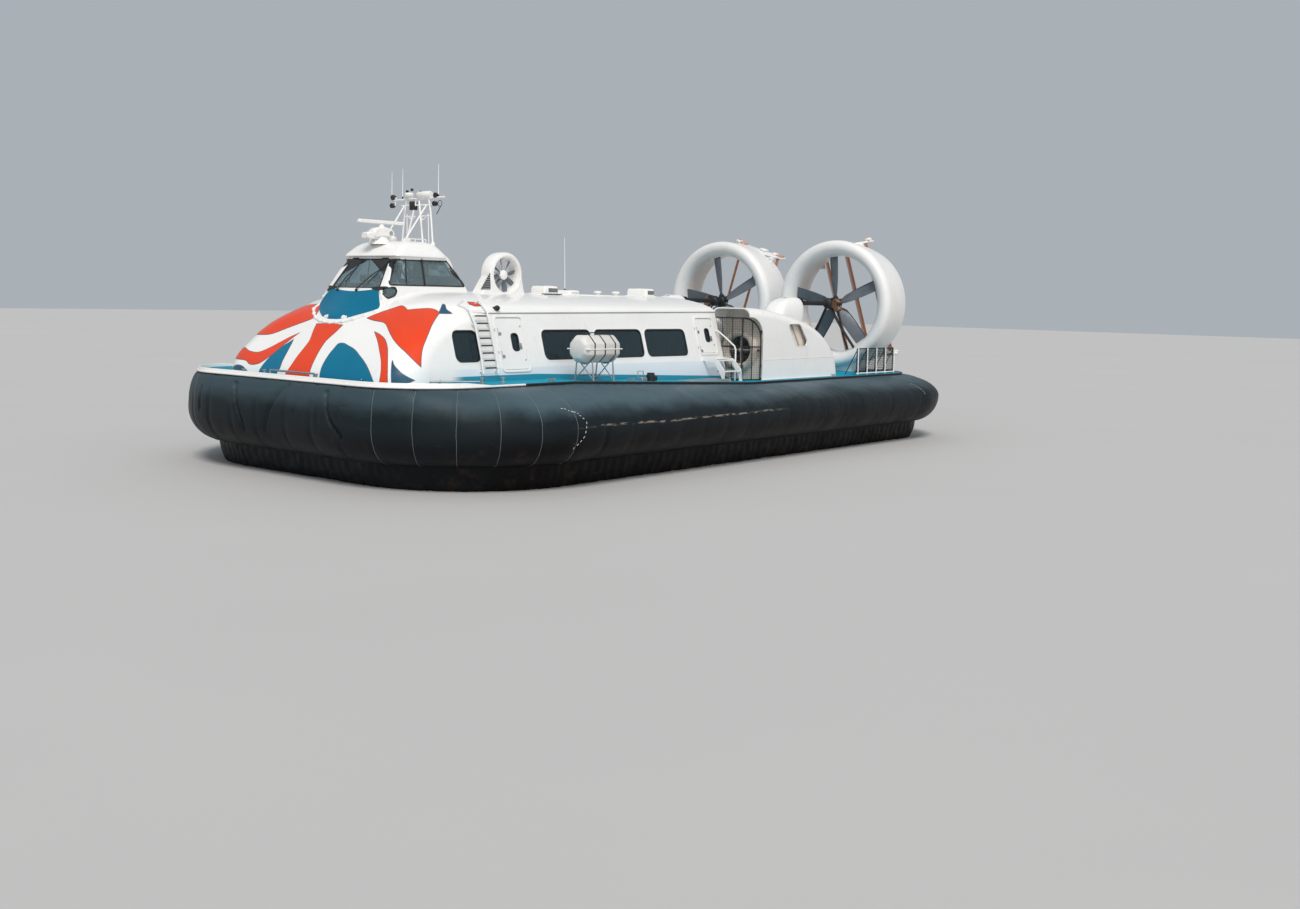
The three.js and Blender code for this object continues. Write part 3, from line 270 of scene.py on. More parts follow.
white, whiteDirt = (0.9, 0.89, 0.868), (0.42, 0.38, 0.33)
looks = dict(
    whitePaint=dict(colour=white, dirt=whiteDirt, stain=0.13, runs=0.17, rough=0.3, coat=0.3),
    cabinPaint=dict(colour=white, dirt=whiteDirt, stain=0.1, runs=0.2, rough=0.3, coat=0.35,
        extra=cabinBands),
    deckPaint=dict(colour=(0.002, 0.29, 0.43), dirt=(0.03, 0.13, 0.18), stain=0.45, rough=0.6,
        specular=0.15, fine=150.0, bump=0.5, speckle=0.4),
    flagRed=dict(colour=(0.78, 0.058, 0.012), dirt=(0.4, 0.05, 0.02), stain=0.2, rough=0.32,
        specular=0.3),
    flagBlue=dict(colour=(0.001, 0.16, 0.28), dirt=(0.001, 0.08, 0.14), stain=0.25, rough=0.35,
        specular=0.2),
    flagTeal=dict(colour=(0.001, 0.075, 0.14), dirt=(0.001, 0.04, 0.07), stain=0.25, rough=0.35,
        coat=0.15),
    flagEdge=dict(colour=(0.13, 0.12, 0.16), dirt=(0.05, 0.05, 0.06), rough=0.35, coat=0.3),
    bladePaint=dict(colour=(0.13, 0.15, 0.175), dirt=(0.05, 0.055, 0.06), stain=0.5, size=2.0,
        extra=bladeWear),
    darkMetal=dict(colour=(0.02, 0.022, 0.025), dirt=(0.09, 0.075, 0.06), stain=0.4, metal=0.3,
        rough=0.5),
    rudderOrange=dict(colour=(0.74, 0.3, 0.16), dirt=(0.24, 0.12, 0.07), stain=0.5, runs=0.3,
        extra=chipped((0.45, 0.42, 0.4), 0.66, 0.7)),
    rudderTail=dict(colour=(0.5, 0.36, 0.27), dirt=(0.24, 0.15, 0.1), stain=0.5, runs=0.3,
        extra=chipped((0.6, 0.24, 0.1), 0.58, 0.66)),
    ductPaint=dict(colour=(0.86, 0.855, 0.84), dirt=(0.45, 0.42, 0.38), stain=0.22, runs=0.3, size=0.5,
        rough=0.32, coat=0.25),
    intakePaint=dict(colour=(0.8, 0.715, 0.63), dirt=(0.2, 0.165, 0.13), stain=0.5, runs=0.35, size=1.6,
        rough=0.5),
    bronze=dict(colour=(0.24, 0.125, 0.07), dirt=(0.05, 0.045, 0.04), stain=0.5, metal=0.4, rough=0.45),
    seamGrey=dict(colour=(0.15, 0.175, 0.185), dirt=(0.12, 0.12, 0.12), stain=0.5, rough=0.5),
    steel=dict(colour=(0.52, 0.53, 0.54), dirt=(0.2, 0.17, 0.14), stain=0.4, metal=0.9, size=3.0,
        rough=0.33),
    blackRubber=dict(colour=(0.012, 0.013, 0.014), dirt=(0.05, 0.05, 0.05), stain=0.35, rough=0.5),
    greyPlastic=dict(colour=(0.33, 0.35, 0.36), dirt=(0.15, 0.14, 0.13), rough=0.5),
    raftPlastic=dict(colour=(0.72, 0.705, 0.67), dirt=(0.25, 0.23, 0.2), rough=0.4, runs=0.3),
    seatCloth=dict(colour=(0.015, 0.05, 0.12), dirt=(0.03, 0.05, 0.08), rough=0.85, fine=240.0, bump=0.5),
    innerLining=dict(colour=(0.42, 0.41, 0.39), dirt=(0.25, 0.24, 0.22), rough=0.7),
    skirtRubber=dict(colour=rubberTones["middle"], dirt=rubberTones["low"], rough=0.4, spread=0.2,
        specular=0.11, fine=120.0, broad=3.2, wave=2.6, bump=0.32, depth=0.008, extra=skirtTones),
    amberLamp=dict(colour=(0.75, 0.22, 0.03), dirt=(0.3, 0.12, 0.04), rough=0.2, coat=0.6),
    redLamp=dict(colour=(0.6, 0.02, 0.02), dirt=(0.25, 0.03, 0.02), rough=0.2, coat=0.6),
    greenLamp=dict(colour=(0.01, 0.35, 0.1), dirt=(0.02, 0.15, 0.06), rough=0.2, coat=0.6),
)
materials = {name: makeFinish(name, look) for name, look in looks.items()}


# Tinted glass, dusty along its runs
def makeGlass(name, tint, roughness):
    material, tree, shader, place = newMaterial(name)
    wear = placed(tree, weather, place, Size=1.4)
    dusty = calc(tree, "MULTIPLY", wear.outputs["Runs"], 0.25)
    tree.links.new(blended(tree, dusty, tint, (0.4, 0.42, 0.42)), shader.inputs["Base Color"])
    tree.links.new(calc(tree, "MULTIPLY_ADD", wear.outputs["Stain"], 0.08, roughness),
        shader.inputs["Roughness"])
    shader.inputs["Metallic"].default_value = 0.0
    shader.inputs["Transmission Weight"].default_value = 0.82
    shader.inputs["IOR"].default_value = 1.3
    return material


materials["sideGlass"] = makeGlass("sideGlass", (0.1, 0.17, 0.2), 0.04)
materials["clearGlass"] = makeGlass("clearGlass", (0.45, 0.58, 0.62), 0.02)
print("materials", len(materials))


# Points and faces of one piece; finish is the number of the material in the piece's list
class Shape:
    def __init__(self):
        self.points, self.faces, self.finishes = [], [], []

    def add(self, points, faces, finish=0):
        base = len(self.points)
        self.points.extend(Vector(p) for p in points)
        self.faces.extend(tuple(base + i for i in face) for face in faces)
        self.finishes.extend([finish] * len(faces))
        return self

    def join(self, other, shift=0):
        base = len(self.points)
        self.points.extend(other.points)
        self.faces.extend(tuple(base + i for i in face) for face in other.faces)
        self.finishes.extend(f + shift for f in other.finishes)
        return self

    # Sections of equally many points, joined one to the next
    def sections(self, rows, finish=0, around=True, along=False, caps=True):
        count, total = len(rows[0]), len(rows)
        faces = []
        for r in range(total if along else total - 1):
            for i in range(count if around else count - 1):
                j, after = (i + 1) % count, (r + 1) % total
                faces.append((r * count + i, r * count + j, after * count + j, after * count + i))
        if caps and around and not along:
            faces.append(tuple(reversed(range(count))))
            faces.append(tuple((total - 1) * count + i for i in range(count)))
        return self.add([p for row in rows for p in row], faces, finish)

    def tube(self, path, radius, sides=8, finish=0, closed=False, flat=1.0):
        points = [Vector(p) for p in path]
        count = len(points)
        rows, normal = [], None
        for i, point in enumerate(points):
            before = points[i - 1] if i or closed else point
            after = points[(i + 1) % count] if i < count - 1 or closed else point
            tangent = (after - before).normalized()
            normal = tangent.orthogonal() if normal is None else normal - tangent * normal.dot(tangent)
            normal.normalize()
            side = tangent.cross(normal)
            size = radius[i] if isinstance(radius, (list, tuple)) else radius
            turns = [2 * pi * k / sides for k in range(sides)]
            rows.append([point + (normal * cos(a) + side * sin(a) * flat) * size for a in turns])
        return self.sections(rows, finish, along=closed)

    # A box with chamfered edges, between two corners; turn is a matrix about its middle
    def slab(self, low, high, edge=0.004, finish=0, turn=None):
        low, high = Vector(low), Vector(high)
        middle, half = (low + high) / 2, (high - low) / 2
        edge = min(edge, *(abs(h) * 0.45 for h in half))
        points = []
        for c in range(8):
            sign = [1 if c >> a & 1 else -1 for a in range(3)]
            for axis in range(3):
                spot = Vector(sign[a] * (half[a] - (0 if a == axis else edge)) for a in range(3))
                points.append(middle + (turn @ spot if turn else spot))
        faces = []
        for a, b, c in ((0, 1, 2), (1, 2, 0), (2, 0, 1)):
            for s in (0, 1):
                ring = [s << a | u << b | v << c for u, v in ((0, 0), (1, 0), (1, 1), (0, 1))]
                faces.append([corner * 3 + a for corner in ring])
                for t in (0, 1):
                    start = s << b | t << c
                    faces.append([start * 3 + b, (start | 1 << a) * 3 + b, (start | 1 << a) * 3 + c,
                        start * 3 + c])
        faces += [[c * 3, c * 3 + 1, c * 3 + 2] for c in range(8)]
        return self.add(points, faces, finish)

    # An outline given a thickness, its rims eased; seat turns (u, v, depth) into a place
    def plate(self, outline, low, high, seat, edge=0.004, finish=0):
        inner = inset(outline, edge)
        step = min(edge, abs(high - low) * 0.4)
        levels = [(inner, low), (outline, low + step), (outline, high - step), (inner, high)]
        return self.sections([[seat(u, v, w) for u, v in line] for line, w in levels], finish)

    # A turned form: profile rows are (distance out, place along the axis)
    def turned(self, profile, sides, seat, finish=0, closed=False):
        turns = [2 * pi * k / sides for k in range(sides)]
        rows = [[seat(r * cos(a), r * sin(a), h) for a in turns] for r, h in profile]
        return self.sections(rows, finish, along=closed)

    def mirrored(self):
        made = Shape()
        made.points = [Vector((p.x, -p.y, p.z)) for p in self.points]
        made.faces = [tuple(reversed(face)) for face in self.faces]
        made.finishes = list(self.finishes)
        return made

    def moved(self, matrix):
        made = Shape()
        made.points = [matrix @ p for p in self.points]
        made.faces, made.finishes = list(self.faces), list(self.finishes)
        return made


def inset(outline, depth):
    area = sum(a[0] * b[1] - b[0] * a[1] for a, b in zip(outline, outline[1:] + outline[:1]))
    sense = 1 if area > 0 else -1
    made = []
    for i, point in enumerate(outline):
        back = Vector(point) - Vector(outline[i - 1])
        ahead = Vector(outline[(i + 1) % len(outline)]) - Vector(point)
        first = Vector((-back.y, back.x)).normalized() * sense
        second = Vector((-ahead.y, ahead.x)).normalized() * sense
        miter = first + second
        scale = depth / max(0.3, 1 + first.dot(second))
        made.append((point[0] + miter.x * scale, point[1] + miter.y * scale))
    return made


# An outline with each corner turned into an arc of the given radius
def rounded(outline, radius, steps=5, closed=True):
    made = []
    count = len(outline)
    for i, point in enumerate(outline):
        here = Vector(point)
        if not closed and i in (0, count - 1):
            made.append(tuple(here))
            continue
        before = Vector(outline[i - 1]) - here
        after = Vector(outline[(i + 1) % count]) - here
        reach = radius[i] if isinstance(radius, (list, tuple)) else radius
        reach = min(reach, before.length * 0.48, after.length * 0.48)
        start, end = here + before.normalized() * reach, here + after.normalized() * reach
        for k in range(steps + 1):
            t = k / steps
            made.append(tuple(start * (1 - t) ** 2 + here * 2 * t * (1 - t) + end * t * t))
    return made


def circle(centre, radius, count=20, start=0.0, turn=2 * pi):
    angles = [start + turn * k / (count if turn > 6.28 else count - 1) for k in range(count)]
    return [(centre[0] + radius * cos(a), centre[1] + radius * sin(a)) for a in angles]


# Seats for outlines: in X and Z going out along Y, in Y and Z going along X, in X and Y going up
def alongY(u, v, w):
    return (u, w, v)


def alongX(u, v, w):
    return (w, u, v)


def upright(u, v, w):
    return (u, v, w)


def centredX(y, z):
    return lambda u, v, w: (w, y + u, z + v)


def centredY(x, z):
    return lambda u, v, w: (x + u, w, z + v)


def centredZ(x, y):
    return lambda u, v, w: (x + u, y + v, w)


def dressed(obj, finishes, body="craft", slot=None, stands=(), sharp=32):
    mesh = obj.data
    finishes = [finishes] if isinstance(finishes, str) else finishes
    numbers = [face.material_index for face in mesh.polygons]
    mesh.materials.clear()
    for finish in finishes:
        mesh.materials.append(materials[finish])
    mesh.polygons.foreach_set("material_index", numbers)
    mesh.shade_smooth()
    mesh.set_sharp_from_angle(angle=radians(sharp))
    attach(obj, body)
    if stands:
        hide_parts(*stands)
    return obj


# Opens a mesh for bmesh's own tools and writes it back
@contextmanager
def reworked(mesh):
    work = bmesh.new()
    work.from_mesh(mesh)
    yield work
    work.to_mesh(mesh)
    work.free()


def linked(name, data):
    obj = bpy.data.objects.new(name, data)
    scene.collection.objects.link(obj)
    return obj


def rectangle(x0, x1, z0, z1):
    return [(x0, z0), (x1, z0), (x1, z1), (x0, z1)]


def meshObject(name, shape):
    mesh = bpy.data.meshes.new(name)
    mesh.from_pydata([tuple(p) for p in shape.points], [], shape.faces)
    mesh.polygons.foreach_set("material_index", shape.finishes)
    with reworked(mesh) as work:
        bmesh.ops.recalc_face_normals(work, faces=work.faces)
    return linked(name, mesh)


def makePiece(name, shape, finishes, *about, **more):
    return dressed(meshObject(name, shape), finishes, *about, **more)


# The port piece and its mirror image
def makePair(name, shape, finishes, body="craft", slot=None, stands=(), sharp=32):
    for side, sign in sides.items():
        rides = body if body == "craft" else f"{body}_{side}"
        makePiece(f"{name}_{side}", shape if sign > 0 else shape.mirrored(), finishes, rides, slot,
            [f"{node}_{side}" for node in stands], sharp)


# A copy of a CAD node's mesh with its flat faces joined up and its edges rounded over
def softened(name, node, finishes, width, slot=None, segments=2, sharp=40):
    mesh = nodes[node].data.copy()
    mesh.name = name
    with reworked(mesh) as work:
        bmesh.ops.remove_doubles(work, verts=work.verts, dist=0.0002)
        bmesh.ops.dissolve_limit(work, angle_limit=radians(1.5), verts=work.verts, edges=work.edges)
    obj = linked(name, mesh)
    bevel = obj.modifiers.new("round", "BEVEL")
    bevel.width, bevel.segments, bevel.limit_method = width, segments, "ANGLE"
    bevel.angle_limit = radians(25)
    settled(obj)
    return dressed(obj, finishes, "craft", slot, [node], sharp)


# Puts an object's modifiers into its mesh
def settled(obj):
    bpy.context.view_layer.update()
    graph = bpy.context.evaluated_depsgraph_get()
    mesh = bpy.data.meshes.new_from_object(obj.evaluated_get(graph))
    obj.modifiers.clear()
    obj.data = mesh
    return obj


def cutBy(obj, cutters):
    for cutter in cutters:
        change = obj.modifiers.new("cut", "BOOLEAN")
        change.operation, change.solver, change.object = "DIFFERENCE", "EXACT", cutter
    settled(obj)
    for cutter in cutters:
        bpy.data.objects.remove(cutter)
    return obj


# A form with others cut out of it, all in one finish
def carved(shape, cutters, finish=0):
    obj = cutBy(meshObject("form", shape), [meshObject("cutter", cutter) for cutter in cutters])
    made = Shape().add([v.co for v in obj.data.vertices], [tuple(p.vertices) for p in obj.data.polygons],
        finish)
    bpy.data.objects.remove(obj)
    return made


# Rays that look along an axis from a place on it, one for each point of an outline
def looking(seat, start, way):
    return lambda p: (Vector(seat(p[0], p[1], start)), Vector(seat(0, 0, way)))


castFront, castRear, castSide = looking(alongX, 14, -1), looking(alongX, 2, 1), looking(alongY, 6, -1)


# Where a ray meets a surface, and the way the surface faces there
def landed(tree, cast, p):
    start, direction = cast(p)
    spot, normal, _, _ = tree.ray_cast(start, direction)
    if spot is None:
        return None
    return spot, (normal if normal.dot(direction) < 0 else -normal)


def treeOf(obj):
    bpy.context.view_layer.update()
    return BVHTree.FromObject(obj, bpy.context.evaluated_depsgraph_get())


# A seat for turned forms that stand square on a surface
def seatAt(spot, normal):
    across = normal.orthogonal().normalized()
    other = normal.cross(across)
    return lambda u, v, w: spot + across * u + other * v + normal * w


# Camera of the photograph, for its 1300 x 909 frame
eye = dict(place=(30.0615, 26.0454, 4.3944), right=(-0.62803693, 0.77785499, 0.02261025),
    down=(0.05128054, 0.07036075, -0.99620263), forward=(-0.77649206, -0.62449257, -0.08407798),
    lens=36.468, shiftY=-0.0342)
camera = bpy.data.objects.new("camera", bpy.data.cameras.new("camera"))
scene.collection.objects.link(camera)
columns = [Vector(eye["right"]), -Vector(eye["down"]), -Vector(eye["forward"])]
camera.matrix_world = Matrix.Translation(eye["place"]) @ Matrix(columns).transposed().to_4x4()
camera.data.sensor_width, camera.data.lens, camera.data.shift_y = 36.0, eye["lens"], eye["shiftY"]
camera.data.clip_end = 1000
scene.camera = camera

# Plain pale floor and soft light: a wide key over the camera's left shoulder, a fill and a pale sky
studio = dict(floor=220.0, floorTone=(0.56, 0.55, 0.54), sky=(0.8, 0.87, 0.94), skyPower=0.5,
    warmth=(1.0, 0.965, 0.925), key=((17.0, 16.0, 30.0), 2.15, 20.0),
    fill=((14.0, 34.0, 12.0), 0.5, 50.0))


def makeStage():
    half = studio["floor"]
    corners = [(x, y, -0.002) for x, y in rectangle(-half, half, -half, half)]
    floor = meshObject("floor", Shape().add(corners, [(0, 1, 2, 3)]))
    paint, tree, shader, place = newMaterial("floorPaint")
    tone = studio["floorTone"]
    darker = tuple(c * 0.93 for c in tone)
    tree.links.new(blended(tree, cloud(tree, place, 0.12, 3.0), tone, darker),
        shader.inputs["Base Color"])
    shader.inputs["Roughness"].default_value = 0.75
    floor.data.materials.append(paint)
    world = bpy.data.worlds.new("studio")
    world.use_nodes = True
    sky = world.node_tree.nodes["Background"]
    sky.inputs["Color"].default_value = (*studio["sky"], 1)
    sky.inputs["Strength"].default_value = studio["skyPower"]
    scene.world = world
    for name in ("key", "fill"):
        place, power, spread = studio[name]
        light = bpy.data.objects.new(name, bpy.data.lights.new(name, "SUN"))
        light.data.energy, light.data.angle = power, radians(spread)
        light.data.color = studio["warmth"]
        light.rotation_euler = (-Vector(place)).to_track_quat("-Z", "Y").to_euler()
        scene.collection.objects.link(light)
    scene.view_settings.view_transform = "Standard"


makeStage()
print("camera and stage")


# The skirt's plan outlines and the deck line that its clamp follows
plans = dict(
    gunwale=dict(bow=11.55, stern=-11.05, half=4.7, bowRadius=1.92, sternRadius=1.4),
    bulge=dict(bow=11.818, stern=-11.818, half=6.338, bowRadius=4.14, sternRadius=2.94),
    seam=dict(bow=11.03, stern=-11.03, half=5.58, bowRadius=3.33, sternRadius=2.13),
    hem=dict(bow=10.89, stern=-10.89, half=5.47, bowRadius=3.2, sternRadius=2.0),
)
deck = dict(aft=2.08, fore=2.36, rampFrom=-1.0, rampTo=6.5)


def deckZ(x):
    t = (x - deck["rampFrom"]) / (deck["rampTo"] - deck["rampFrom"])
    return deck["aft"] + min(1, max(0, t)) * (deck["fore"] - deck["aft"])


# A place on a plan outline: its part, numbered from the bow's middle round by port, and how far along
def onPlan(plan, part, t, grow=0.0):
    half, bow, stern = plan["half"] + grow, plan["bow"] + grow, plan["stern"] - grow
    rb, rs = plan["bowRadius"] + grow, plan["sternRadius"] + grow
    if part == 0:
        return bow, t * (half - rb)
    if part == 1:
        a = t * pi / 2
        return bow - rb + rb * cos(a), half - rb + rb * sin(a)
    if part == 2:
        return bow - rb + t * (stern + rs - bow + rb), half
    if part == 3:
        a = t * pi / 2
        return stern + rs - rs * sin(a), half - rs + rs * cos(a)
    return stern, (1 - t) * (half - rs)


# Half the way round the bulge by equal steps that meet the seams: part, how far along it, and how far in all
def halfRound(step):
    plan = plans["bulge"]
    bowCorner, sternCorner = plan["bowRadius"], plan["sternRadius"]
    lengths = [plan["half"] - bowCorner, bowCorner * pi / 2, plan["bow"] - bowCorner - plan["stern"]
        - sternCorner, sternCorner * pi / 2, plan["half"] - sternCorner]
    total = sum(lengths)
    stops = [0.0] + list(np.arange(skirt["firstSeam"] % step, total - step * 0.3, step)) + [total]
    made = []
    for s in stops:
        left = s
        part = 0
        while part < 4 and left > lengths[part]:
            left -= lengths[part]
            part += 1
        made.append((part, min(1.0, left / lengths[part]), s))
    return made, total


# Where a line square to the bulge meets another of the outlines
outlines = {name: np.array([onPlan(plan, part, k / 40) for part in range(5) for k in range(41)])
    for name, plan in plans.items()}


def squareTo(part, t, name, grow=0.0):
    plan = plans["bulge"]
    here = np.array(onPlan(plan, part, t))
    a = (0, t * pi / 2, pi / 2, pi / 2 * (1 + t), pi)[part]
    out = np.array((cos(a), sin(a)))
    line = outlines[name]
    side = (line - here) @ np.array((-out[1], out[0]))
    for k in range(len(line) - 1):
        if side[k] * side[k + 1] <= 0 and side[k] != side[k + 1]:
            f = side[k] / (side[k] - side[k + 1])
            spot = line[k] * (1 - f) + line[k + 1] * f
            if (spot - here) @ out > -3.0:
                return Vector(spot + out * grow)
    end = line[0] if part == 0 else line[-1]
    return Vector((end[0] + out[0] * grow, here[1] if part in (0, 4) else end[1]))


skirtEnds = ("bow", "port", "starboard", "stern")
skirt = dict(step=0.97 / 16, bulgeZ=1.4, seamZ=0.57, clampDrop=0.055, upperRows=22, lowerRows=14,
    panel=0.97, firstSeam=3.45, pinch=0.02, puff=0.012, ripple=0.011)
# Deep folds in the rubber: places along each, depth and width
folds = [
    ([(11.69, -1.52, 2.14), (11.77, -1.41, 1.82), (11.8, -1.32, 1.59), (11.82, -1.2, 1.37),
        (11.83, -1.09, 1.15)], 0.075, 0.075),
    ([(11.63, 0.49, 2.22), (11.73, 0.19, 1.96), (11.79, -0.03, 1.68), (11.82, -0.14, 1.41),
        (11.83, -0.24, 1.13)], 0.04, 0.07),
    ([(11.69, 1.98, 2.14), (11.78, 2.1, 1.74), (11.81, 2.21, 1.54), (11.81, 2.34, 1.4),
        (11.79, 2.55, 1.24)], 0.085, 0.07),
    ([(11.8, 2.43, 1.09), (11.75, 2.81, 1.07), (11.69, 3.16, 1.05)], 0.03, 0.05),
    ([(11.65, 1.09, 2.2), (11.75, 0.97, 1.93), (11.79, 0.92, 1.66)], 0.018, 0.06),
    ([(11.7, 1.72, 2.1), (11.79, 1.73, 1.68), (11.82, 1.8, 1.42)], 0.015, 0.05),
    ([(11.69, -2.95, 1.98), (11.71, -3.01, 1.71), (11.72, -3.0, 1.45)], 0.03, 0.06),
    ([(11.73, -2.11, 0.93), (11.73, -1.67, 0.92), (11.7, -1.27, 0.9)], 0.025, 0.05),
    ([(10.2, -5.35, 2.05), (10.3, -5.4, 1.6), (10.2, -5.5, 1.2)], 0.05, 0.07),
    ([(8.1, -6.0, 2.1), (7.8, -6.2, 1.7), (7.9, -6.3, 1.3)], 0.03, 0.08),
    ([(-11.4, 1.9, 1.9), (-11.7, 1.7, 1.6), (-11.8, 1.75, 1.2)], 0.06, 0.08),
    ([(-11.4, -2.3, 1.9), (-11.7, -2.2, 1.55), (-11.8, -2.4, 1.2)], 0.06, 0.08),
    ([(-11.5, 0.2, 1.85), (-11.7, 0.1, 1.5), (-11.8, -0.2, 1.15)], 0.04, 0.07),
]


def foldDepth(points):
    total = np.zeros(len(points))
    for line, depth, width in folds:
        path = np.array(line)
        nearest = np.full(len(points), 1e9)
        for a, b in zip(path, path[1:]):
            along = b - a
            t = np.clip(((points - a) @ along) / (along @ along), 0, 1)
            nearest = np.minimum(nearest, np.linalg.norm(points - a - t[:, None] * along, axis=1))
        total += 2.2 * depth * (np.exp(-(nearest / width) ** 2)
            - 0.45 * np.exp(-((nearest - width * 1.7) / width) ** 2))
    return total


# How far a panel between two seams stands out: in at the seams, full between
def quilt(s):
    f = ((s - skirt["firstSeam"]) / skirt["panel"]) % 1.0
    near = min(f, 1 - f) * skirt["panel"]
    share = 1.0 if s < 10 else 0.25
    return share * (skirt["puff"] * sin(pi * f) ** 0.6 - skirt["pinch"] * exp(-(near / 0.06) ** 2))


def skirtLoop():
    steps, total = halfRound(skirt["step"])
    rows, along = [], []
    for part, t, s in steps:
        start = squareTo(part, t, "gunwale", 0.0003)
        outer = Vector(onPlan(plans["bulge"], part, t))
        low = squareTo(part, t, "seam")
        top = deckZ(start.x) - skirt["clampDrop"] - 0.0005
        row = []
        for k in range(skirt["upperRows"] + 1):
            a = pi / 2 * k / skirt["upperRows"]
            spot = start.lerp(outer, sin(a))
            row.append((spot.x, spot.y, skirt["bulgeZ"] + (top - skirt["bulgeZ"]) * cos(a)))
        for k in range(1, skirt["lowerRows"] + 1):
            a = pi / 2 * k / skirt["lowerRows"]
            spot = low.lerp(outer, cos(a))
            row.append((spot.x, spot.y, skirt["bulgeZ"] - (skirt["bulgeZ"] - skirt["seamZ"]) * sin(a)))
        rows.append(row)
        along.append(s)
    grid = np.array(rows)
    other = grid[1:-1][::-1].copy()
    other[:, :, 1] *= -1
    grid = np.concatenate([grid, other])
    s = np.array(along + [2 * total - x for x in along[1:-1][::-1]])
    return grid, s


def outward(grid):
    around = np.roll(grid, -1, 0) - np.roll(grid, 1, 0)
    down = np.gradient(grid, axis=1)
    normal = np.cross(down, around)
    normal /= np.linalg.norm(normal, axis=2, keepdims=True)
    centre = grid.mean((0, 1))
    sign = np.sign(((grid - centre) * normal)[:, :, :2].sum(2).mean())
    return normal * sign


def makeSkirt():
    grid, s = skirtLoop()
    normal = outward(grid)
    count, deep = grid.shape[:2]
    flat = grid.reshape(-1, 3)
    lift = np.array([quilt(min(x, s.max() - x)) for x in s])[:, None] * np.ones(deep)
    ends = np.sin(np.pi * np.linspace(0, 1, deep)) ** 0.35
    wrinkle = np.array([noise.fractal(Vector((p[0] * 1.6, p[1] * 1.6, p[2] * 1.1)), 0.9, 2.1, 4)
        for p in flat])
    drawn = np.array([noise.noise(Vector((k * 1.3, 5.0, 0))) for k in s])[:, None]
    gather = np.cos(s * 2 * pi / 0.32)[:, None] * np.exp(-np.linspace(0, 1, deep) / 0.09)[None, :] * 0.006
    lift = (lift + wrinkle.reshape(count, deep) * skirt["ripple"] + drawn * 0.008) * ends + gather
    lift = np.minimum(lift - foldDepth(flat).reshape(count, deep), 0.006)
    outer = grid + normal * lift[:, :, None]
    inner = grid - normal * 0.05
    inner[:, 0, 2] = outer[:, 0, 2]
    rows = [list(map(tuple, o)) + list(map(tuple, i[::-4])) for o, i in zip(outer, inner)]
    makePiece("skirtLoop", Shape().sections(rows, along=True), "skirtRubber",
        stands=[f"skirt_loop_{end}" for end in skirtEnds], sharp=60)
    return grid, s


skirtGrid, skirtAlong = makeSkirt()
apron = dict(rows=14, belly=0.02, sheet=0.02, gather=0.011, tear=0.055)


# The apron below the seam: gathered at the top, wrinkled, with a worn and torn hem that lies on the ground
def makeApron():
    steps, total = halfRound(skirt["step"])
    made = [(squareTo(part, t, "seam", 0.004), squareTo(part, t, "hem"), s) for part, t, s in steps]
    full = made + [(Vector((a.x, -a.y)), Vector((b.x, -b.y)), 2 * total - s) for a, b,
        s in made[1:-1][::-1]]
    rows = []
    for i, (top, low, s) in enumerate(full):
        way = full[(i + 1) % len(full)][0] - full[i - 1][0]
        out = Vector((way.y, -way.x)).normalized()
        out = out if out.dot(top) > 0 else -out
        lay = 0.5 + 0.5 * noise.noise(Vector((s * 0.35, 3.1, 0)))
        tear = max(0.0, noise.fractal(Vector((s * 2.3, 9.0, 0)), 0.8, 2.2, 4))
        outer, inner = [], []
        for k in range(apron["rows"] + 1):
            f = k / apron["rows"]
            z = max(0.001, (skirt["seamZ"] + 0.015) * (1 - f) + f * tear * apron["tear"])
            belly = apron["belly"] * sin(pi * min(1, f * 1.15)) * (0.55 + lay)
            wave = noise.fractal(Vector((s * 1.9, f * 2.2 + s * 0.15, 1.0)), 0.8, 2.0,
                4) * 0.035 * f ** 0.5
            pleat = cos(s * 2 * pi / 0.3 + noise.noise(Vector((s, f * 2, 2))) * 2)
            gather = pleat * apron["gather"] * sin(pi * f) ** 0.5
            foot = -0.03 * max(0, f - 0.85) / 0.15
            spot = top.lerp(low, f) + out * (belly + wave + gather + foot)
            under = spot - out * apron["sheet"]
            outer.append((spot.x, spot.y, z))
            inner.append((under.x, under.y, z))
        rows.append(outer + inner[::-1])
    makePiece("skirtApron", Shape().sections(rows, along=True), "skirtRubber",
        stands=[f"skirt_apron_{end}" for end in skirtEnds], sharp=70)


makeApron()

# Bonded seams between the panels: a raised tape over each, with a white stitched line on some
seams = dict(last=8.3, width=0.01, proud=0.004, stitch=0.12, stitchWide=0.014)


def ribbon(shape, line, normals, width, proud):
    rows = []
    for i, (point, normal) in enumerate(zip(line, normals)):
        before, after = line[max(0, i - 1)], line[min(len(line) - 1, i + 1)]
        side = (after - before).cross(normal).normalized() * (width / 2)
        rows.append([point + side * across + normal * high for across,
            high in ((-1, -0.01), (-1, proud * 0.4), (-0.7, proud), (0.7, proud), (1, proud * 0.4),
            (1, -0.01))])
    shape.sections(rows)


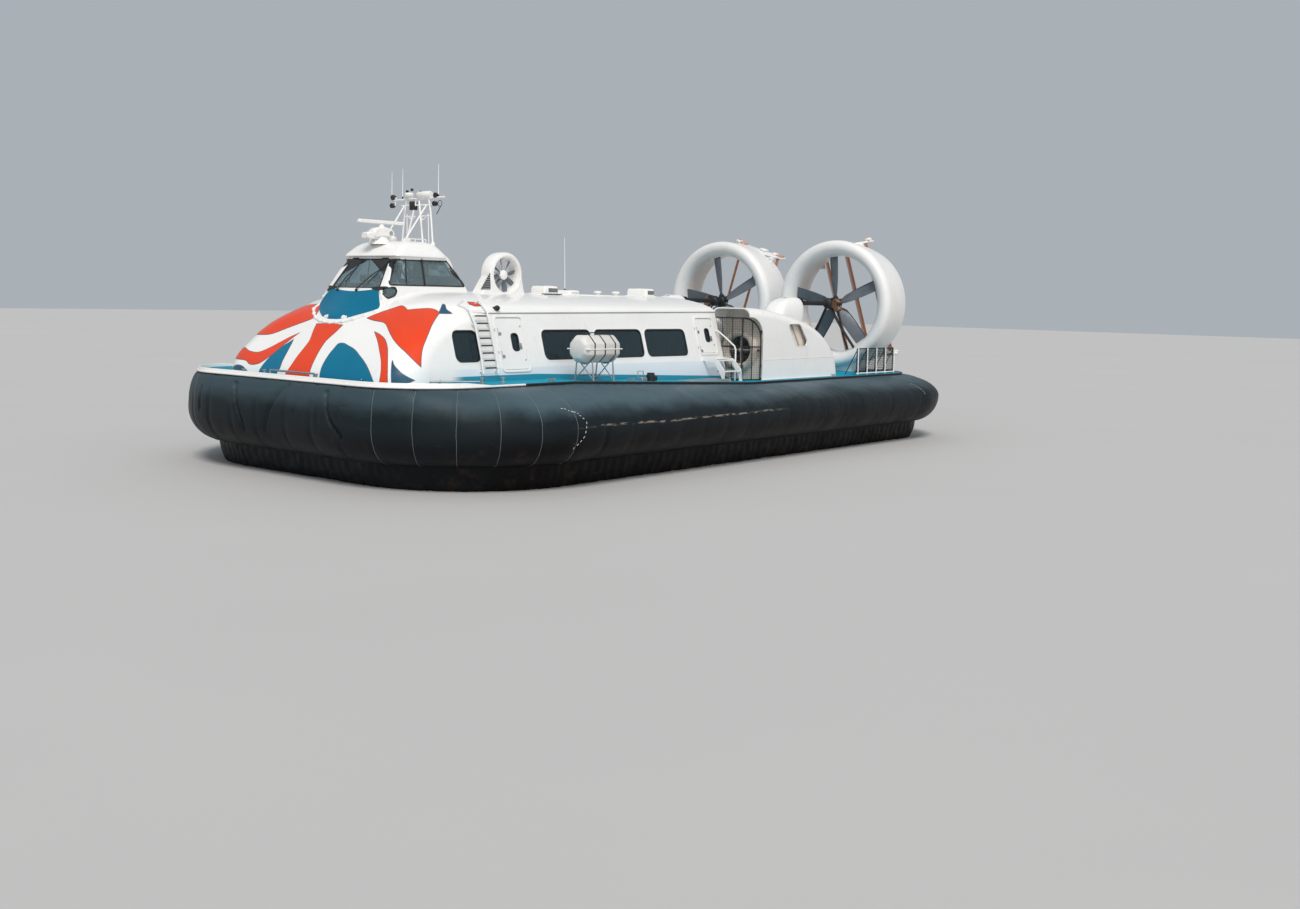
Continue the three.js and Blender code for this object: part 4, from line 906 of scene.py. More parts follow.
def makeSeams():
    tree = treeOf(bpy.data.objects["skirtLoop"])
    tapes, stitches = Shape(), Shape()
    count, around = len(skirtAlong), skirtAlong.max()
    place = skirt["firstSeam"]
    while place < seams["last"]:
        for s in (place, around - place):
            line, normals = [], []
            for point in skirtGrid[int(np.argmin(np.abs(skirtAlong - s))) % count][1:]:
                spot, normal, _, _ = tree.find_nearest(Vector(point))
                outside = Vector((point[0], point[1], 1)) * 0.2
                line.append(spot)
                normals.append(normal if normal.dot(outside) > 0 else -normal)
            ribbon(tapes, line, normals, seams["width"], seams["proud"])
        place += skirt["panel"]
    makePiece("skirtTapes", tapes, "seamGrey", sharp=50)
    # white stitches: an arc at the port bow, a line at the quarter and dots along the seam of the apron
    arc = [(8.4, 6.3, 2.25), (8.02, 6.35, 1.95), (7.8, 6.4, 1.62), (7.88, 6.4, 1.25), (8.22, 6.2, 0.85)]
    quarter = [(-8.5, 6.0, 2.2), (-8.65, 6.3, 1.7), (-8.7, 6.3, 1.2), (-8.6, 6.0, 0.8)]
    for line in (arc, quarter):
        for a, b in zip(map(Vector, line), map(Vector, line[1:])):
            part = seams["stitch"] / (b - a).length
            for k in range(int(1 / part)):
                found = [tree.find_nearest(a.lerp(b, (k + f) * part)) for f in (0.0, 0.5)]
                normals = [n if n.y > 0 else -n for _, n, _, _ in found]
                ribbon(stitches, [spot for spot, _, _, _ in found], normals, seams["stitchWide"],
                    seams["proud"])
    dot = Vector((0.008, 0.008, 0.005))
    for point in skirtGrid[::2, -2]:
        spot = Vector(point) + Vector((point[0], point[1], 0)).normalized() * 0.012 + Vector((0, 0, 0.02))
        stitches.slab(spot - dot, spot + dot, 0.002)
    makePiece("skirtStitches", stitches, "raftPlastic")


makeSeams()
print("skirt")


# The cabin's levels: height, front, half width, front corner radius
cabin = dict(rear=-1.45, wall=0.06, crown=0.03, cornerSteps=22)
cabinLevels = np.array([
    (1.95, 10.99, 3.52, 1.0), (2.36, 10.96, 3.5, 1.0), (2.66, 10.8, 3.455, 0.85),
        (2.832, 10.68, 3.405, 0.8),
    (3.2, 10.37, 3.3, 0.85), (3.54, 10.08, 3.2, 1.1), (3.8, 9.85, 3.125, 1.6), (3.96, 9.64, 3.08, 1.9),
    (4.08, 9.46, 3.04, 2.1), (4.15, 9.34, 2.96, 2.1), (4.25, 9.13, 2.7, 2.0), (4.36, 8.82, 2.2, 1.7),
    (4.44, 8.45, 1.55, 1.2), (4.48, 7.9, 0.8, 0.6),
])
leanAngle = atan((3.405 - 3.202) / (3.539 - 2.832))


def sideY(z):
    return 3.405 - tan(leanAngle) * (z - 2.832)


# A smooth step from one value to another, with the slopes that it starts and ends at
def eased(t, start, startSlope, end, endSlope):
    return ((2 * t ** 3 - 3 * t ** 2 + 1) * start + (t ** 3 - 2 * t ** 2 + t) * startSlope
        + (3 * t ** 2 - 2 * t ** 3) * end + (t ** 3 - t ** 2) * endSlope)


# A smooth curve through rising rows that never overshoots them
def smoothColumn(x, y, at):
    h = np.diff(x)
    slope = np.diff(y) / h
    before, after = slope[:-1], slope[1:]
    same = before * after > 0
    first, second = 2 * h[1:] + h[:-1], h[1:] + 2 * h[:-1]
    middle = (first + second) / (first / np.where(same, before, 1) + second / np.where(same, after, 1))
    tangent = np.concatenate([slope[:1], np.where(same, middle, 0), slope[-1:]])
    i = np.clip(np.searchsorted(x, at) - 1, 0, len(h) - 1)
    return eased((at - x[i]) / h[i], y[i], h[i] * tangent[i], y[i + 1], h[i] * tangent[i + 1])


def cabinRing(z, front, half, radius):
    turns = [pi / 2 * k / cabin["cornerSteps"] for k in range(cabin["cornerSteps"] + 1)]
    flat = half - radius
    side = [(cabin["rear"] + (front - radius - cabin["rear"]) * k / 16, half) for k in range(16)]
    corner = [(front - radius + radius * sin(a), flat + radius * cos(a)) for a in turns]
    nose = [(front + cabin["crown"] * half * cos(pi / 2 * t) ** 2, flat * t) for t in (0.85, 0.7, 0.55,
        0.4, 0.27, 0.13)]
    quarter = side + corner + nose
    middle = [(front + cabin["crown"] * half, 0.0)]
    ring = quarter + middle + [(x, -y) for x, y in quarter[::-1]]
    return [(x, y, z) for x, y in ring]


def cabinSurface():
    heights = np.concatenate([np.linspace(1.95, 3.54, 14), np.linspace(3.6, 4.2, 20),
        4.2 + 0.28 * np.sin(np.linspace(0.08, 1, 16) * pi / 2)])
    columns = [smoothColumn(cabinLevels[:, 0], cabinLevels[:, k], heights) for k in (1, 2, 3)]
    rings = [cabinRing(z, *row) for z, *row in zip(heights, *columns)]
    shape = Shape()
    shape.sections(rings, around=False)
    last = (len(rings) - 1) * len(rings[0])
    count = len(rings[0])
    for i in range(count // 2):
        a, b = last + i, last + count - 1 - i
        if a + 1 < b - 1:
            shape.faces.append((a, a + 1, b - 1, b))
            shape.finishes.append(0)
    return shape


# Openings in the side walls: rear, front, sill and head
windows = dict(main=[(0.23, 2.01), (2.19, 4.09), (4.27, 6.09)], bow=(8.33, 9.09), sill=2.83, head=3.545,
    corner=0.11)
doors = dict(
    front=dict(hinge=7.6, width=0.86, sill=2.62, head=3.85, port=(7.06, 3.27, 0.2, 0.4)),
    aft=dict(hinge=-0.4, width=0.78, sill=2.88, head=3.85, port=(-0.86, 3.38, 0.17, 0.36)),
)
doorMiddle = 3.2


# Drawn along X and up the leaning port wall, going out square to it
def onWall(u, v, w):
    rise = v - doorMiddle
    y = sideY(doorMiddle) - rise * sin(leanAngle) + w * cos(leanAngle)
    return (u, y, doorMiddle + rise * cos(leanAngle) + w * sin(leanAngle))


def upWall(z):
    return doorMiddle + (z - doorMiddle) / cos(leanAngle)


def doorOutline(door, grow):
    box = rectangle(door["hinge"] - door["width"] - grow, door["hinge"] + grow, upWall(door["sill"])
        - grow, upWall(door["head"]) + grow)
    return rounded(box, 0.07 + grow, 6)


def windowOutline(rear, front, grow=0.0):
    box = rectangle(rear - grow, front + grow, upWall(windows["sill"]) - grow, upWall(windows["head"])
        + grow)
    return rounded(box, (windows["corner"] + grow) * 1.5, 7)


def makeCabin():
    shell = meshObject("cabinShell", cabinSurface())
    thick = shell.modifiers.new("wall", "SOLIDIFY")
    thick.thickness, thick.offset, thick.material_offset = cabin["wall"], -1.0, 1
    thick.use_even_offset = True
    shell.data.materials.append(materials["cabinPaint"])
    shell.data.materials.append(materials["innerLining"])
    settled(shell)
    cutter = Shape()
    for rear, front in windows["main"] + [windows["bow"]]:
        cutter.plate(windowOutline(rear, front), -0.5, 0.5, onWall, 0.0001)
    for door in doors.values():
        cutter.plate(doorOutline(door, 0.009), -0.5, 0.5, onWall, 0.0001)
    cutter.join(cutter.mirrored())
    cutBy(shell, [meshObject("openings", cutter)])
    stands = ["cabin_side_port", "cabin_side_starboard", "cabin_roof", "bow_dome"]
    return dressed(shell, ["cabinPaint", "innerLining"], stands=stands, sharp=38)


cabinShell = makeCabin()
cabinTree = treeOf(cabinShell)
print("cabin shell")

# Rubber round each window, with a white flange outside it
trim = dict(rubberProud=0.009, flangeProud=0.005)


# A flat ring between two outlines, standing out from a surface
def frameRing(shape, inner, outer, low, high, seat, finish=0):
    crown = high + (high - low) * 0.12
    levels = ((0, low), (0.04, high), (0.25, crown), (0.75, crown), (0.96, high), (1, low))
    rows = [[seat(*Vector(a).lerp(Vector(b), f), w) for f, w in levels] for a, b in zip(inner, outer)]
    shape.sections(rows, finish, along=True)


def makeWindows():
    rubber, flange, glass = Shape(), Shape(), Shape()
    for rear, front in windows["main"] + [windows["bow"]]:
        grown = [windowOutline(rear, front, g) for g in (-0.012, 0.02, 0.058)]
        frameRing(rubber, grown[0], grown[1], -0.012, trim["rubberProud"], onWall)
        frameRing(flange, grown[1], grown[2], -0.004, trim["flangeProud"], onWall)
        glass.plate(grown[1], -0.032, -0.022, onWall, 0.001)
    makePair("windowRubber", rubber, "blackRubber", slot="black_rubber")
    makePair("windowFlange", flange, "whitePaint")
    makePair("sideGlass", glass, "sideGlass", stands=["side_glazing"])


makeWindows()


# Doors: a leaf with a rounded edge, hinges, porthole, latch and a raised frame round the opening
doorTrim = dict(thick=0.05, set=0.005, hinges=(2.98, 3.52), hingeLong=0.09, hingeWide=0.016)


def makeDoor(name, node, door):
    leaf, surround, rubber = Shape(), Shape(), Shape()
    sunk, hinge, sill, head = doorTrim["set"], door["hinge"], door["sill"], door["head"]
    leaf.plate(doorOutline(door, 0.0), -sunk - doorTrim["thick"], -sunk, onWall, 0.006)
    x, z, wide, tall = door["port"]
    hole = rounded(rectangle(x - wide / 2, x + wide / 2, upWall(z) - tall / 2, upWall(z) + tall / 2),
        wide * 0.42, 6)
    leaf = carved(leaf, [Shape().plate(hole, -0.3, 0.3, onWall, 0.0001)])
    frameRing(leaf, inset(hole, -0.001), inset(hole, -0.03), -sunk - 0.002, 0.006, onWall, 1)
    frameRing(leaf, inset(hole, 0.004), inset(hole, -0.002), -0.05, 0.003, onWall, 1)
    leaf.plate(inset(hole, -0.004), -0.034, -0.026, onWall, 0.001, 2)

    def pad(shape, x0, x1, z0, z1, radius, low, high, edge, finish):
        shape.plate(rounded(rectangle(x0, x1, z0, z1), radius), low, high, onWall, edge, finish)

    # latch box with its handle, dogs, hinges and closing strip
    rear = hinge - door["width"]
    latchX, latchZ = rear + 0.17, upWall(z - 0.1)
    pad(leaf, latchX - 0.05, latchX + 0.05, latchZ - 0.075, latchZ + 0.075, 0.015, -0.006, 0.008, 0.003,
        3)
    handle = [onWall(latchX - 0.01, latchZ + 0.03, 0.012), onWall(latchX - 0.01, latchZ + 0.03, 0.04),
        onWall(latchX + 0.1, latchZ - 0.02, 0.045)]
    leaf.tube(rounded(handle, 0.02, 4, closed=False), 0.009, 8, 4)
    for dogZ in (sill + 0.22, head - 0.2):
        leaf.plate(circle((rear + 0.07, upWall(dogZ)), 0.02, 12), -0.006, 0.012, onWall, 0.003, 4)
    long, thick = doorTrim["hingeLong"], doorTrim["hingeWide"]
    for z in doorTrim["hinges"]:
        if sill < z < head:
            y = sideY(z) + 0.006
            leaf.tube([(hinge, sideY(z - long) + 0.006, z - long), (hinge, y, z - 0.001)], thick, 12, 4)
            pad(leaf, hinge - 0.11, hinge - 0.012, upWall(z - 0.085), upWall(z - 0.01), 0.012, -0.006,
                0.004, 0.002, 4)
            surround.tube([(hinge, y, z + 0.001), (hinge, sideY(z + long) + 0.006, z + long)], thick, 12,
                1)
            pad(surround, hinge + 0.022, hinge + 0.1, upWall(z + 0.01), upWall(z + 0.085), 0.012, -0.002,
                0.005, 0.002, 1)
    frameRing(surround, doorOutline(door, 0.0135), doorOutline(door, 0.075), -0.003, 0.016, onWall)
    frameRing(rubber, doorOutline(door, -0.03), doorOutline(door, 0.0), -0.066, -0.057, onWall)
    makePair(f"{name}Leaf", leaf, ["whitePaint", "blackRubber", "sideGlass", "steel", "steel"], node,
        stands=[node])
    makePair(f"{name}Frame", surround, ["whitePaint", "steel"])


makeDoor("frontDoor", "front_door", doors["front"])
makeDoor("aftHatch", "aft_hatch", doors["aft"])


# Eave: a rounded moulding that overhangs the wall, dying away towards the bow, with a grey strip under its
# lip as a painted shadow line
eave = dict(rear=-1.45, front=8.35, high=4.06, low=3.97, proud=0.034, tall=0.05)


def makeEave():
    shape, shadow = Shape(), Shape()
    count, tall, rear, front = 90, eave["tall"], eave["rear"], eave["front"]
    rows, under = [], []
    for k in range(count + 1):
        f = k / count
        x = rear + (front - rear) * f
        z = eave["high"] + (eave["low"] - eave["high"]) * f
        fadeOut = min(1.0, (front - x) / 0.5) ** 0.7 if x < front else 0.02
        y = landed(cabinTree, castSide, (x, z))[0].y - 0.004
        out = eave["proud"] * fadeOut
        rows.append([(x, y - 0.02, z - 0.004), (x, y + out * 0.8, z - 0.008), (x, y + out, z),
            (x, y + out * 0.95, z + tall * 0.4), (x, y + out * 0.45, z + tall * 0.85),
            (x, y - 0.05, z + tall * 1.3)])
        # the grey strip under the lip is a painted shadow line
        lip = y + out * 0.5 + 0.006
        under.append([(x, y - 0.02, z - 0.02), (x, lip, z - 0.022), (x, lip, z - 0.006),
            (x, y - 0.02, z - 0.004)])
    shape.sections(rows)
    shadow.sections(under)
    makePair("eaveMoulding", shape, "whitePaint")
    makePair("eaveSeal", shadow, "greyPlastic", slot="black_rubber")


makeEave()
print("windows, doors and eave")

# The flag-like pattern on the bow: outlines in the chart that looks at the port quarter (across, up)
quarterView = dict(origin=40.0, across=(-0.6281, 0.7781), into=(-0.7781, -0.6281))
flag = dict(thick=0.007, grid=0.05, edge=0.014)
# The flag-like pattern on the bow: outlines in the chart that looks at the port quarter (across, up)
flagPieces = dict(
    bigBlue=("flagBlue", [(-5.69, 3.15), (-5.8, 3.185), (-5.94, 3.17), (-6.03, 3.06), (-6.11, 2.95),
        (-6.19, 2.8), (-6.25, 2.65), (-6.27, 2.52), (-6.27, 2.39), (-5.45, 2.39), (-4.8, 2.39),
        (-4.88, 2.52), (-5.01, 2.69), (-5.14, 2.82), (-5.28, 2.93), (-5.46, 3.06)]),
    thinRed=("flagRed", [(-5.02, 3.48), (-4.86, 3.42), (-4.71, 3.33), (-4.6, 3.17), (-4.54, 2.97),
        (-4.49, 2.7), (-4.46, 2.39), (-4.64, 2.39), (-4.63, 2.62), (-4.67, 2.85), (-4.76, 3.05),
        (-4.88, 3.28)]),
    cornerTeal=("flagTeal", [(-4.4, 2.88), (-4.34, 2.77), (-4.22, 2.66), (-4.12, 2.58), (-4.0, 2.51),
        (-3.88, 2.45), (-4.02, 2.4), (-4.36, 2.4), (-4.38, 2.6)]),
    swoosh=("flagRed", [(-5.32, 3.79), (-5.12, 3.88), (-4.91, 3.96), (-4.72, 4.03), (-4.54, 4.09),
        (-4.42, 4.05), (-4.35, 4.0), (-4.22, 4.015), (-4.07, 4.03), (-3.86, 4.045), (-3.7, 4.02),
        (-3.57, 3.95), (-3.61, 3.86), (-3.64, 3.77), (-3.67, 3.66), (-3.69, 3.54), (-3.73, 3.35),
        (-3.77, 3.16), (-3.775, 2.97), (-3.76, 2.76), (-3.92, 2.9), (-4.12, 3.07), (-4.3, 3.2),
        (-4.47, 3.34), (-4.62, 3.5), (-4.74, 3.65), (-4.84, 3.71), (-4.98, 3.73), (-5.15, 3.75)]),
    eaveTeal=("flagTeal", [(-3.56, 4.15), (-3.5, 4.13), (-3.44, 4.03), (-3.29, 3.945), (-3.58, 3.945),
        (-3.57, 4.05)]),
    roofRed=("flagRed", [(-3.06, 4.215), (-2.82, 4.2), (-2.7, 4.14), (-2.8, 4.13), (-2.94, 4.17)]),
)
# The starboard half waves in another way
farPieces = dict(
    bigBlue=[(-5.78, 3.2), (-5.72, 3.1), (-5.67, 2.99), (-5.62, 2.68), (-5.64, 2.39), (-6.27, 2.39),
        (-6.27, 2.52), (-6.17, 2.68), (-6.05, 2.88), (-5.9, 3.07)],
    thinRed=[(-5.72, 3.36), (-5.6, 3.28), (-5.48, 3.17), (-5.29, 2.97), (-5.08, 2.85), (-4.77, 2.86),
        (-4.45, 2.93), (-4.15, 2.9), (-4.15, 2.68), (-4.46, 2.66), (-4.9, 2.65), (-5.1, 2.58),
        (-5.26, 2.56), (-5.47, 2.62), (-5.62, 2.83), (-5.655, 3.06), (-5.69, 3.25)],
    swoosh=[(-5.62, 3.76), (-5.42, 3.88), (-5.21, 3.98), (-4.99, 4.07), (-4.56, 4.05), (-4.2, 4.02),
        (-3.8, 3.9), (-3.7, 3.6), (-3.75, 3.35), (-4.1, 3.28), (-4.54, 3.28), (-4.86, 3.32),
        (-5.2, 3.51), (-5.55, 3.69)],
    cornerTeal=[(-5.2, 2.4), (-5.05, 2.46), (-4.92, 2.5), (-4.75, 2.51), (-4.6, 2.46), (-4.5, 2.4)],
)
centreStripe = [(-0.5, 3.6), (0.0, 3.62), (0.5, 3.6), (0.44, 3.46), (0.345, 3.3), (0.3, 3.19),
    (0.315, 3.0), (0.35, 2.82), (0.39, 2.6), (0.46, 2.39), (0.0, 2.39), (-0.46, 2.39), (-0.39, 2.6),
    (-0.35, 2.82), (-0.315, 3.0), (-0.3, 3.19), (-0.345, 3.3), (-0.44, 3.46)]


# The same outline with its curves filled in by a smooth loop through the points
def flowing(points, steps=5, sharpest=0.55):
    made = []
    count = len(points)
    spots = [Vector(p) for p in points]
    ahead = [spots[(i + 1) % count] - spots[i] for i in range(count)]
    turns = [ahead[i - 1].normalized().dot(ahead[i].normalized()) < sharpest for i in range(count)]
    for i in range(count):
        p0, p1, p2, p3 = (spots[(i + k) % count] for k in (-1, 0, 1, 2))
        m1 = (p2 - p1) if turns[i] else (p2 - p0) / 2
        m2 = (p2 - p1) if turns[(i + 1) % count] else (p3 - p1) / 2
        made += [tuple(eased(k / steps, p1, m1, p2, m2)) for k in range(steps)]
    return made


# Covers an outline with small triangles and lays them on a surface: cast turns a chart point into a ray
def laidOn(tree, outline, cast, grid, thick):
    xs, ys = zip(*outline)
    points = [Vector(p) for p in outline]
    edges = [(i, (i + 1) % len(points)) for i in range(len(points))]
    sides = list(zip(outline, outline[1:] + outline[:1]))
    for i in range(int((max(xs) - min(xs)) / grid) + 1):
        for j in range(int((max(ys) - min(ys)) / grid) + 1):
            spot = (min(xs) + (i + 0.5 + 0.25 * (j % 2)) * grid, min(ys) + (j + 0.5) * grid)
            if inside(spot, outline) and min(distance(spot, a, b) for a, b in sides) > grid * 0.4:
                points.append(Vector(spot))
    flat, _, faces, *_ = delaunay_2d_cdt(points, edges, [list(range(len(outline)))], 1, 1e-6)
    laid = [landed(tree, cast, p) for p in flat]
    faces = [f for f in faces if all(laid[i] for i in f)]
    used = sorted({i for f in faces for i in f})
    index = {old: k for k, old in enumerate(used)}
    top = [laid[i][0] + laid[i][1] * thick for i in used]
    low = [laid[i][0] - laid[i][1] * thick for i in used]
    tops = [tuple(index[i] for i in f) for f in faces]
    lows = [tuple(index[i] + len(used) for i in reversed(f)) for f in faces]
    borders = {(a, b): None for f in tops for a, b in zip(f, f[1:] + f[:1])}
    walls = [(b, a, a + len(used), b + len(used)) for a, b in borders if (b, a) not in borders]
    return Shape().add(top + low, tops + lows + walls)


def inside(spot, outline):
    x, y = spot
    hit = False
    for (x0, y0), (x1, y1) in zip(outline, outline[1:] + outline[:1]):
        if (y0 > y) != (y1 > y) and x < (x1 - x0) * (y - y0) / (y1 - y0) + x0:
            hit = not hit
    return hit


def distance(spot, a, b):
    p, a, b = Vector(spot), Vector(a), Vector(b)
    along = b - a
    t = max(0.0, min(1.0, (p - a).dot(along) / max(along.length_squared, 1e-12)))
    return (p - a - along * t).length


def quarterRay(p):
    across, into = Vector(quarterView["across"]), Vector(quarterView["into"])
    start = across * p[0] - into * quarterView["origin"]
    return Vector((start.x, start.y, p[1])), Vector((into.x, into.y, 0))


# One patch of paint and the thin dark line round it
def layPatch(name, outline, cast, finish, mirror=False):
    line = flowing(outline)
    form = laidOn(cabinTree, line, cast, flag["grid"], flag["thick"])
    edge = laidOn(cabinTree, inset(line, -flag["edge"]), cast, flag["grid"] * 1.5, flag["thick"] * 0.5)
    makePiece(name, form.mirrored() if mirror else form, finish, sharp=60)
    makePiece(name + "Edge", edge.mirrored() if mirror else edge, "flagEdge", sharp=60)


def makeFlag():
    for side, sign in sides.items():
        for name, (finish, outline) in flagPieces.items():
            if sign < 0:
                outline = farPieces.get(name, outline)
            layPatch(f"{name}_{side}", outline, quarterRay, finish, sign < 0)
    layPatch("centreStripe", centreStripe, looking(alongX, 20, -1), "flagRed")


makeFlag()
print("flag pattern")
# Wheelhouse, row by row: height, front, half width, corner radius, rear
bridge = dict(skin=0.035, steps=7, sill=4.55)
bridgeLevels = np.array([
    (3.4, 9.5, 1.25, 0.35, 6.2, 0.3), (3.6, 9.58, 1.28, 0.3, 6.28, 0.36),
        (3.72, 9.66, 1.28, 0.26, 6.32, 0.38),
    (4.02, 9.52, 1.26, 0.18, 6.42, 0.28), (4.25, 9.44, 1.19, 0.12, 6.48, 0.15),
        (4.467, 9.345, 1.14, 0.11, 6.55, 0.08),
    (4.85, 9.1, 1.07, 0.11, 6.8, 0.05), (5.29, 8.8, 0.99, 0.11, 7.22, 0.05),
])
roofLevels = np.array([
    (5.285, 8.86, 1.03, 0.16, 7.18, 0.05), (5.305, 8.885, 1.05, 0.17, 7.16, 0.05),
        (5.335, 8.87, 1.045, 0.17, 7.17, 0.05),
    (5.45, 8.76, 0.98, 0.18, 7.24, 0.05), (5.57, 8.62, 0.9, 0.2, 7.33, 0.05),
        (5.635, 8.5, 0.82, 0.2, 7.42, 0.05),
    (5.675, 8.34, 0.7, 0.22, 7.56, 0.05), (5.7, 8.12, 0.5, 0.22, 7.8, 0.05),
])


# A level of the wheelhouse: a front that bows out a little, small corners, straight sides and a softer rear
def bridgeRing(z, front, half, radius, rear, bow):
    line = [(rear, 0.0), (rear, half), (front, half), (front + bow * 0.72, half * 0.5),
        (front + bow, 0.0)]
    radii = [0.01, radius * 1.8, radius, 0.5, 0.3]
    full = line + [(x, -y) for x, y in line[3:0:-1]]
    corners = rounded(full, radii + radii[3:0:-1], bridge["steps"])
    return [(x, y, z) for x, y in corners]


def bridgeBody(levels, heights):
    columns = [smoothColumn(levels[:, 0], levels[:, k], heights) for k in (1, 2, 3, 4, 5)]
    return [bridgeRing(z, *row) for z, *row in zip(heights, *columns)]


# A raised ring that follows a surface between two outlines
def ringOn(shape, tree, inner, outer, cast, low, high):
    rows = []
    for a, b in zip(inner, outer):
        spots = [landed(tree, cast, p) for p in (a, Vector(a).lerp(Vector(b), 0.5), b)]
        if all(spots):
            (pa, na), (pm, nm), (pb, nb) = spots
            rows.append([pa + na * low, pa.lerp(pb, 0.05) + na * high, pm + nm * high * 1.15,
                pa.lerp(pb, 0.95) + nb * high, pb + nb * low])
    shape.sections(rows, along=True)


# Openings: outline, rays onto its face, reach of the cut, whether both sides have it, the node of its glass
bridgePanes = dict(
    windscreen=(rounded([(-0.89, 4.5), (0.92, 4.5), (0.715, 5.235), (-0.7, 5.235)], 0.07), castFront,
        (8.55, 10.5, alongX), False, ["windscreen"]),
    bridgeSide=(rounded([(6.7, 4.6), (9.22, 4.59), (8.89, 5.22), (7.12, 5.24)], 0.1, 6), castSide,
        (0.8, 1.6, alongY), True, ["wheelhouse_glass"]),
    bridgeQuarter=(rounded([(9.36, 4.535), (9.02, 4.53), (8.99, 4.44), (9.07, 4.33), (9.31, 4.26),
        (9.385, 4.33)], 0.09), castSide, (0.8, 1.6, alongY), True, []),
    bridgeRear=(rounded(rectangle(-0.7, 0.7, 4.85, 5.15), 0.06), castRear, (6.0, 7.7, alongX), False, []),
)


def makeBridge():
    heights = np.concatenate([np.linspace(3.4, 4.4, 14), np.linspace(4.467, 5.29, 12)])
    body = meshObject("wheelhouseBody", Shape().sections(bridgeBody(bridgeLevels, heights)))
    tree = treeOf(body)
    thin = bridgeLevels - np.array([0.0, 1.0, 1.0, 0.0, -1.0, 0.0]) * bridge["skin"]
    cutters = [Shape().sections(bridgeBody(thin, np.linspace(3.48, 5.25, 20)), 1)]
    rubber = Shape()
    panes = []
    for name, (outline, cast, reach, both, stands) in bridgePanes.items():
        opening, ring = Shape().plate(outline, *reach, 0.0001), Shape()
        ringOn(ring, tree, inset(outline, 0.014), inset(outline, -0.018), cast, -0.02, 0.008)
        pane = sunk(laidOn(tree, inset(outline, -0.012), cast, 0.2, 0.004), tree, 0.02)
        panes.append((makePair if both else makePiece, name + "Glass", pane, stands))
        cutters += [opening, opening.mirrored()] if both else [opening]
        rubber.join(ring)
        if both:
            rubber.join(ring.mirrored())
    cutBy(body, [meshObject("cutter", form) for form in cutters])
    dressed(body, ["whitePaint", "innerLining"], stands=["wheelhouse_shell"], sharp=38)
    # mullions: two in each side window
    for sign in (1, -1):
        rubber.tube([(8.06, sign * 1.118, 4.58), (8.08, sign * 0.995, 5.25)], 0.022)
        rubber.tube([(8.66, sign * 1.118, 4.58), (8.6, sign * 1.0, 5.24)], 0.012)
    makePiece("bridgeRubber", rubber, "blackRubber", slot="black_rubber", sharp=50)
    for make, name, pane, stands in panes:
        make(name, pane, "clearGlass", stands=stands)
    return tree


# Moves a laid sheet below the surface it was laid on
def sunk(shape, tree, depth):
    for i, point in enumerate(shape.points):
        spot, normal, _, _ = tree.find_nearest(point)
        outwardly = normal if normal.dot(spot - Vector((8.0, 0, 4.8))) > 0 else -normal
        shape.points[i] = point - outwardly * depth
    return shape


bridgeTree = makeBridge()
print("wheelhouse")


# Roof of the wheelhouse with its lip, and the radar on its pedestal
def makeBridgeRoof():
    heights = np.concatenate([[5.285, 5.295], np.linspace(5.305, 5.335, 3), np.linspace(5.37, 5.7, 14)])
    makePiece("bridgeRoof", Shape().sections(bridgeBody(roofLevels, heights)), "whitePaint",
        stands=["wheelhouse_roof"], sharp=28)
    # grab rail, dome aerial and cable gland boxes on top
    gear = Shape()
    for y in (0.66, -0.66):
        for x in (7.65, 8.0, 8.35):
            gear.tube([(x, y, 5.6), (x, y, 5.75)], 0.011)
        gear.tube([(7.65, y, 5.75), (8.35, y, 5.75)], 0.013)
    dome = [(0, 5.66), (0.1, 5.66), (0.11, 5.7), (0.11, 5.78), (0.085, 5.83), (0.04, 5.85), (0, 5.855)]
    gear.turned(dome, 20, centredZ(7.85, -0.38))
    gear.slab((7.86, 0.16, 5.66), (8.02, 0.34, 5.76), 0.012)
    makePiece("roofGear", gear, "whitePaint")


makeBridgeRoof()
radar = dict(x=8.53, bar=1.45, z=6.15, tall=0.085, wide=0.11)


def makeRadar():
    foot, bar, x, z = Shape(), Shape(), radar["x"], radar["z"]
    foot.turned([(0.3, 5.6), (0.24, 5.66), (0.19, 5.72), (0.175, 5.8), (0.21, 5.82)], 24,
        centredZ(8.56, 0.0))
    side = [(8.24, 5.8), (8.88, 5.76), (8.9, 5.9), (8.8, 6.0), (8.55, 6.03), (8.3, 5.98), (8.22, 5.9)]
    foot.plate(rounded(side, 0.06), -0.17, 0.17, alongY, 0.03)
    foot.slab((8.72, -0.13, 5.72), (9.06, 0.13, 5.88), 0.02)
    foot.turned([(0.09, 6.0), (0.075, 6.04), (0.07, 6.096), (0.0, 6.096)], 20, centredZ(x, 0.0))
    for y in (-0.175, 0.175):
        disc = [(0.0, y - 0.006), (0.055, y - 0.006), (0.055, y + 0.006), (0.0, y + 0.006)]
        foot.turned(disc, 16, centredY(8.36, 5.88), 1)
    makePiece("radarHousing", foot, ["whitePaint", "greyPlastic"], sharp=40)
    low, high, half, w = z - 0.045, z + 0.045, radar["bar"] / 2, radar["wide"] / 2
    section = rounded([(-w, low), (w, low), (w, high - 0.01), (w * 0.5, high), (-w * 0.7, high),
        (-w, high - 0.03)], 0.014, 4)
    ends = ((-half, 0.7), (-half + 0.02, 0.96), (-half + 0.05, 1.0), (half - 0.05, 1.0),
        (half - 0.02, 0.96), (half, 0.7))
    bar.sections([[(x + u, v * f, z + (h - z) * f) for v, h in section] for u, f in ends])
    bar.turned([(0.062, 6.0975), (0.062, 6.11), (0.09, 6.12), (0.09, 6.13)], 20, centredZ(x, 0.0))
    makePiece("radarBar", bar, "whitePaint", "radar_scanner", "white_plastic", ["radar_scanner"])


makeRadar()

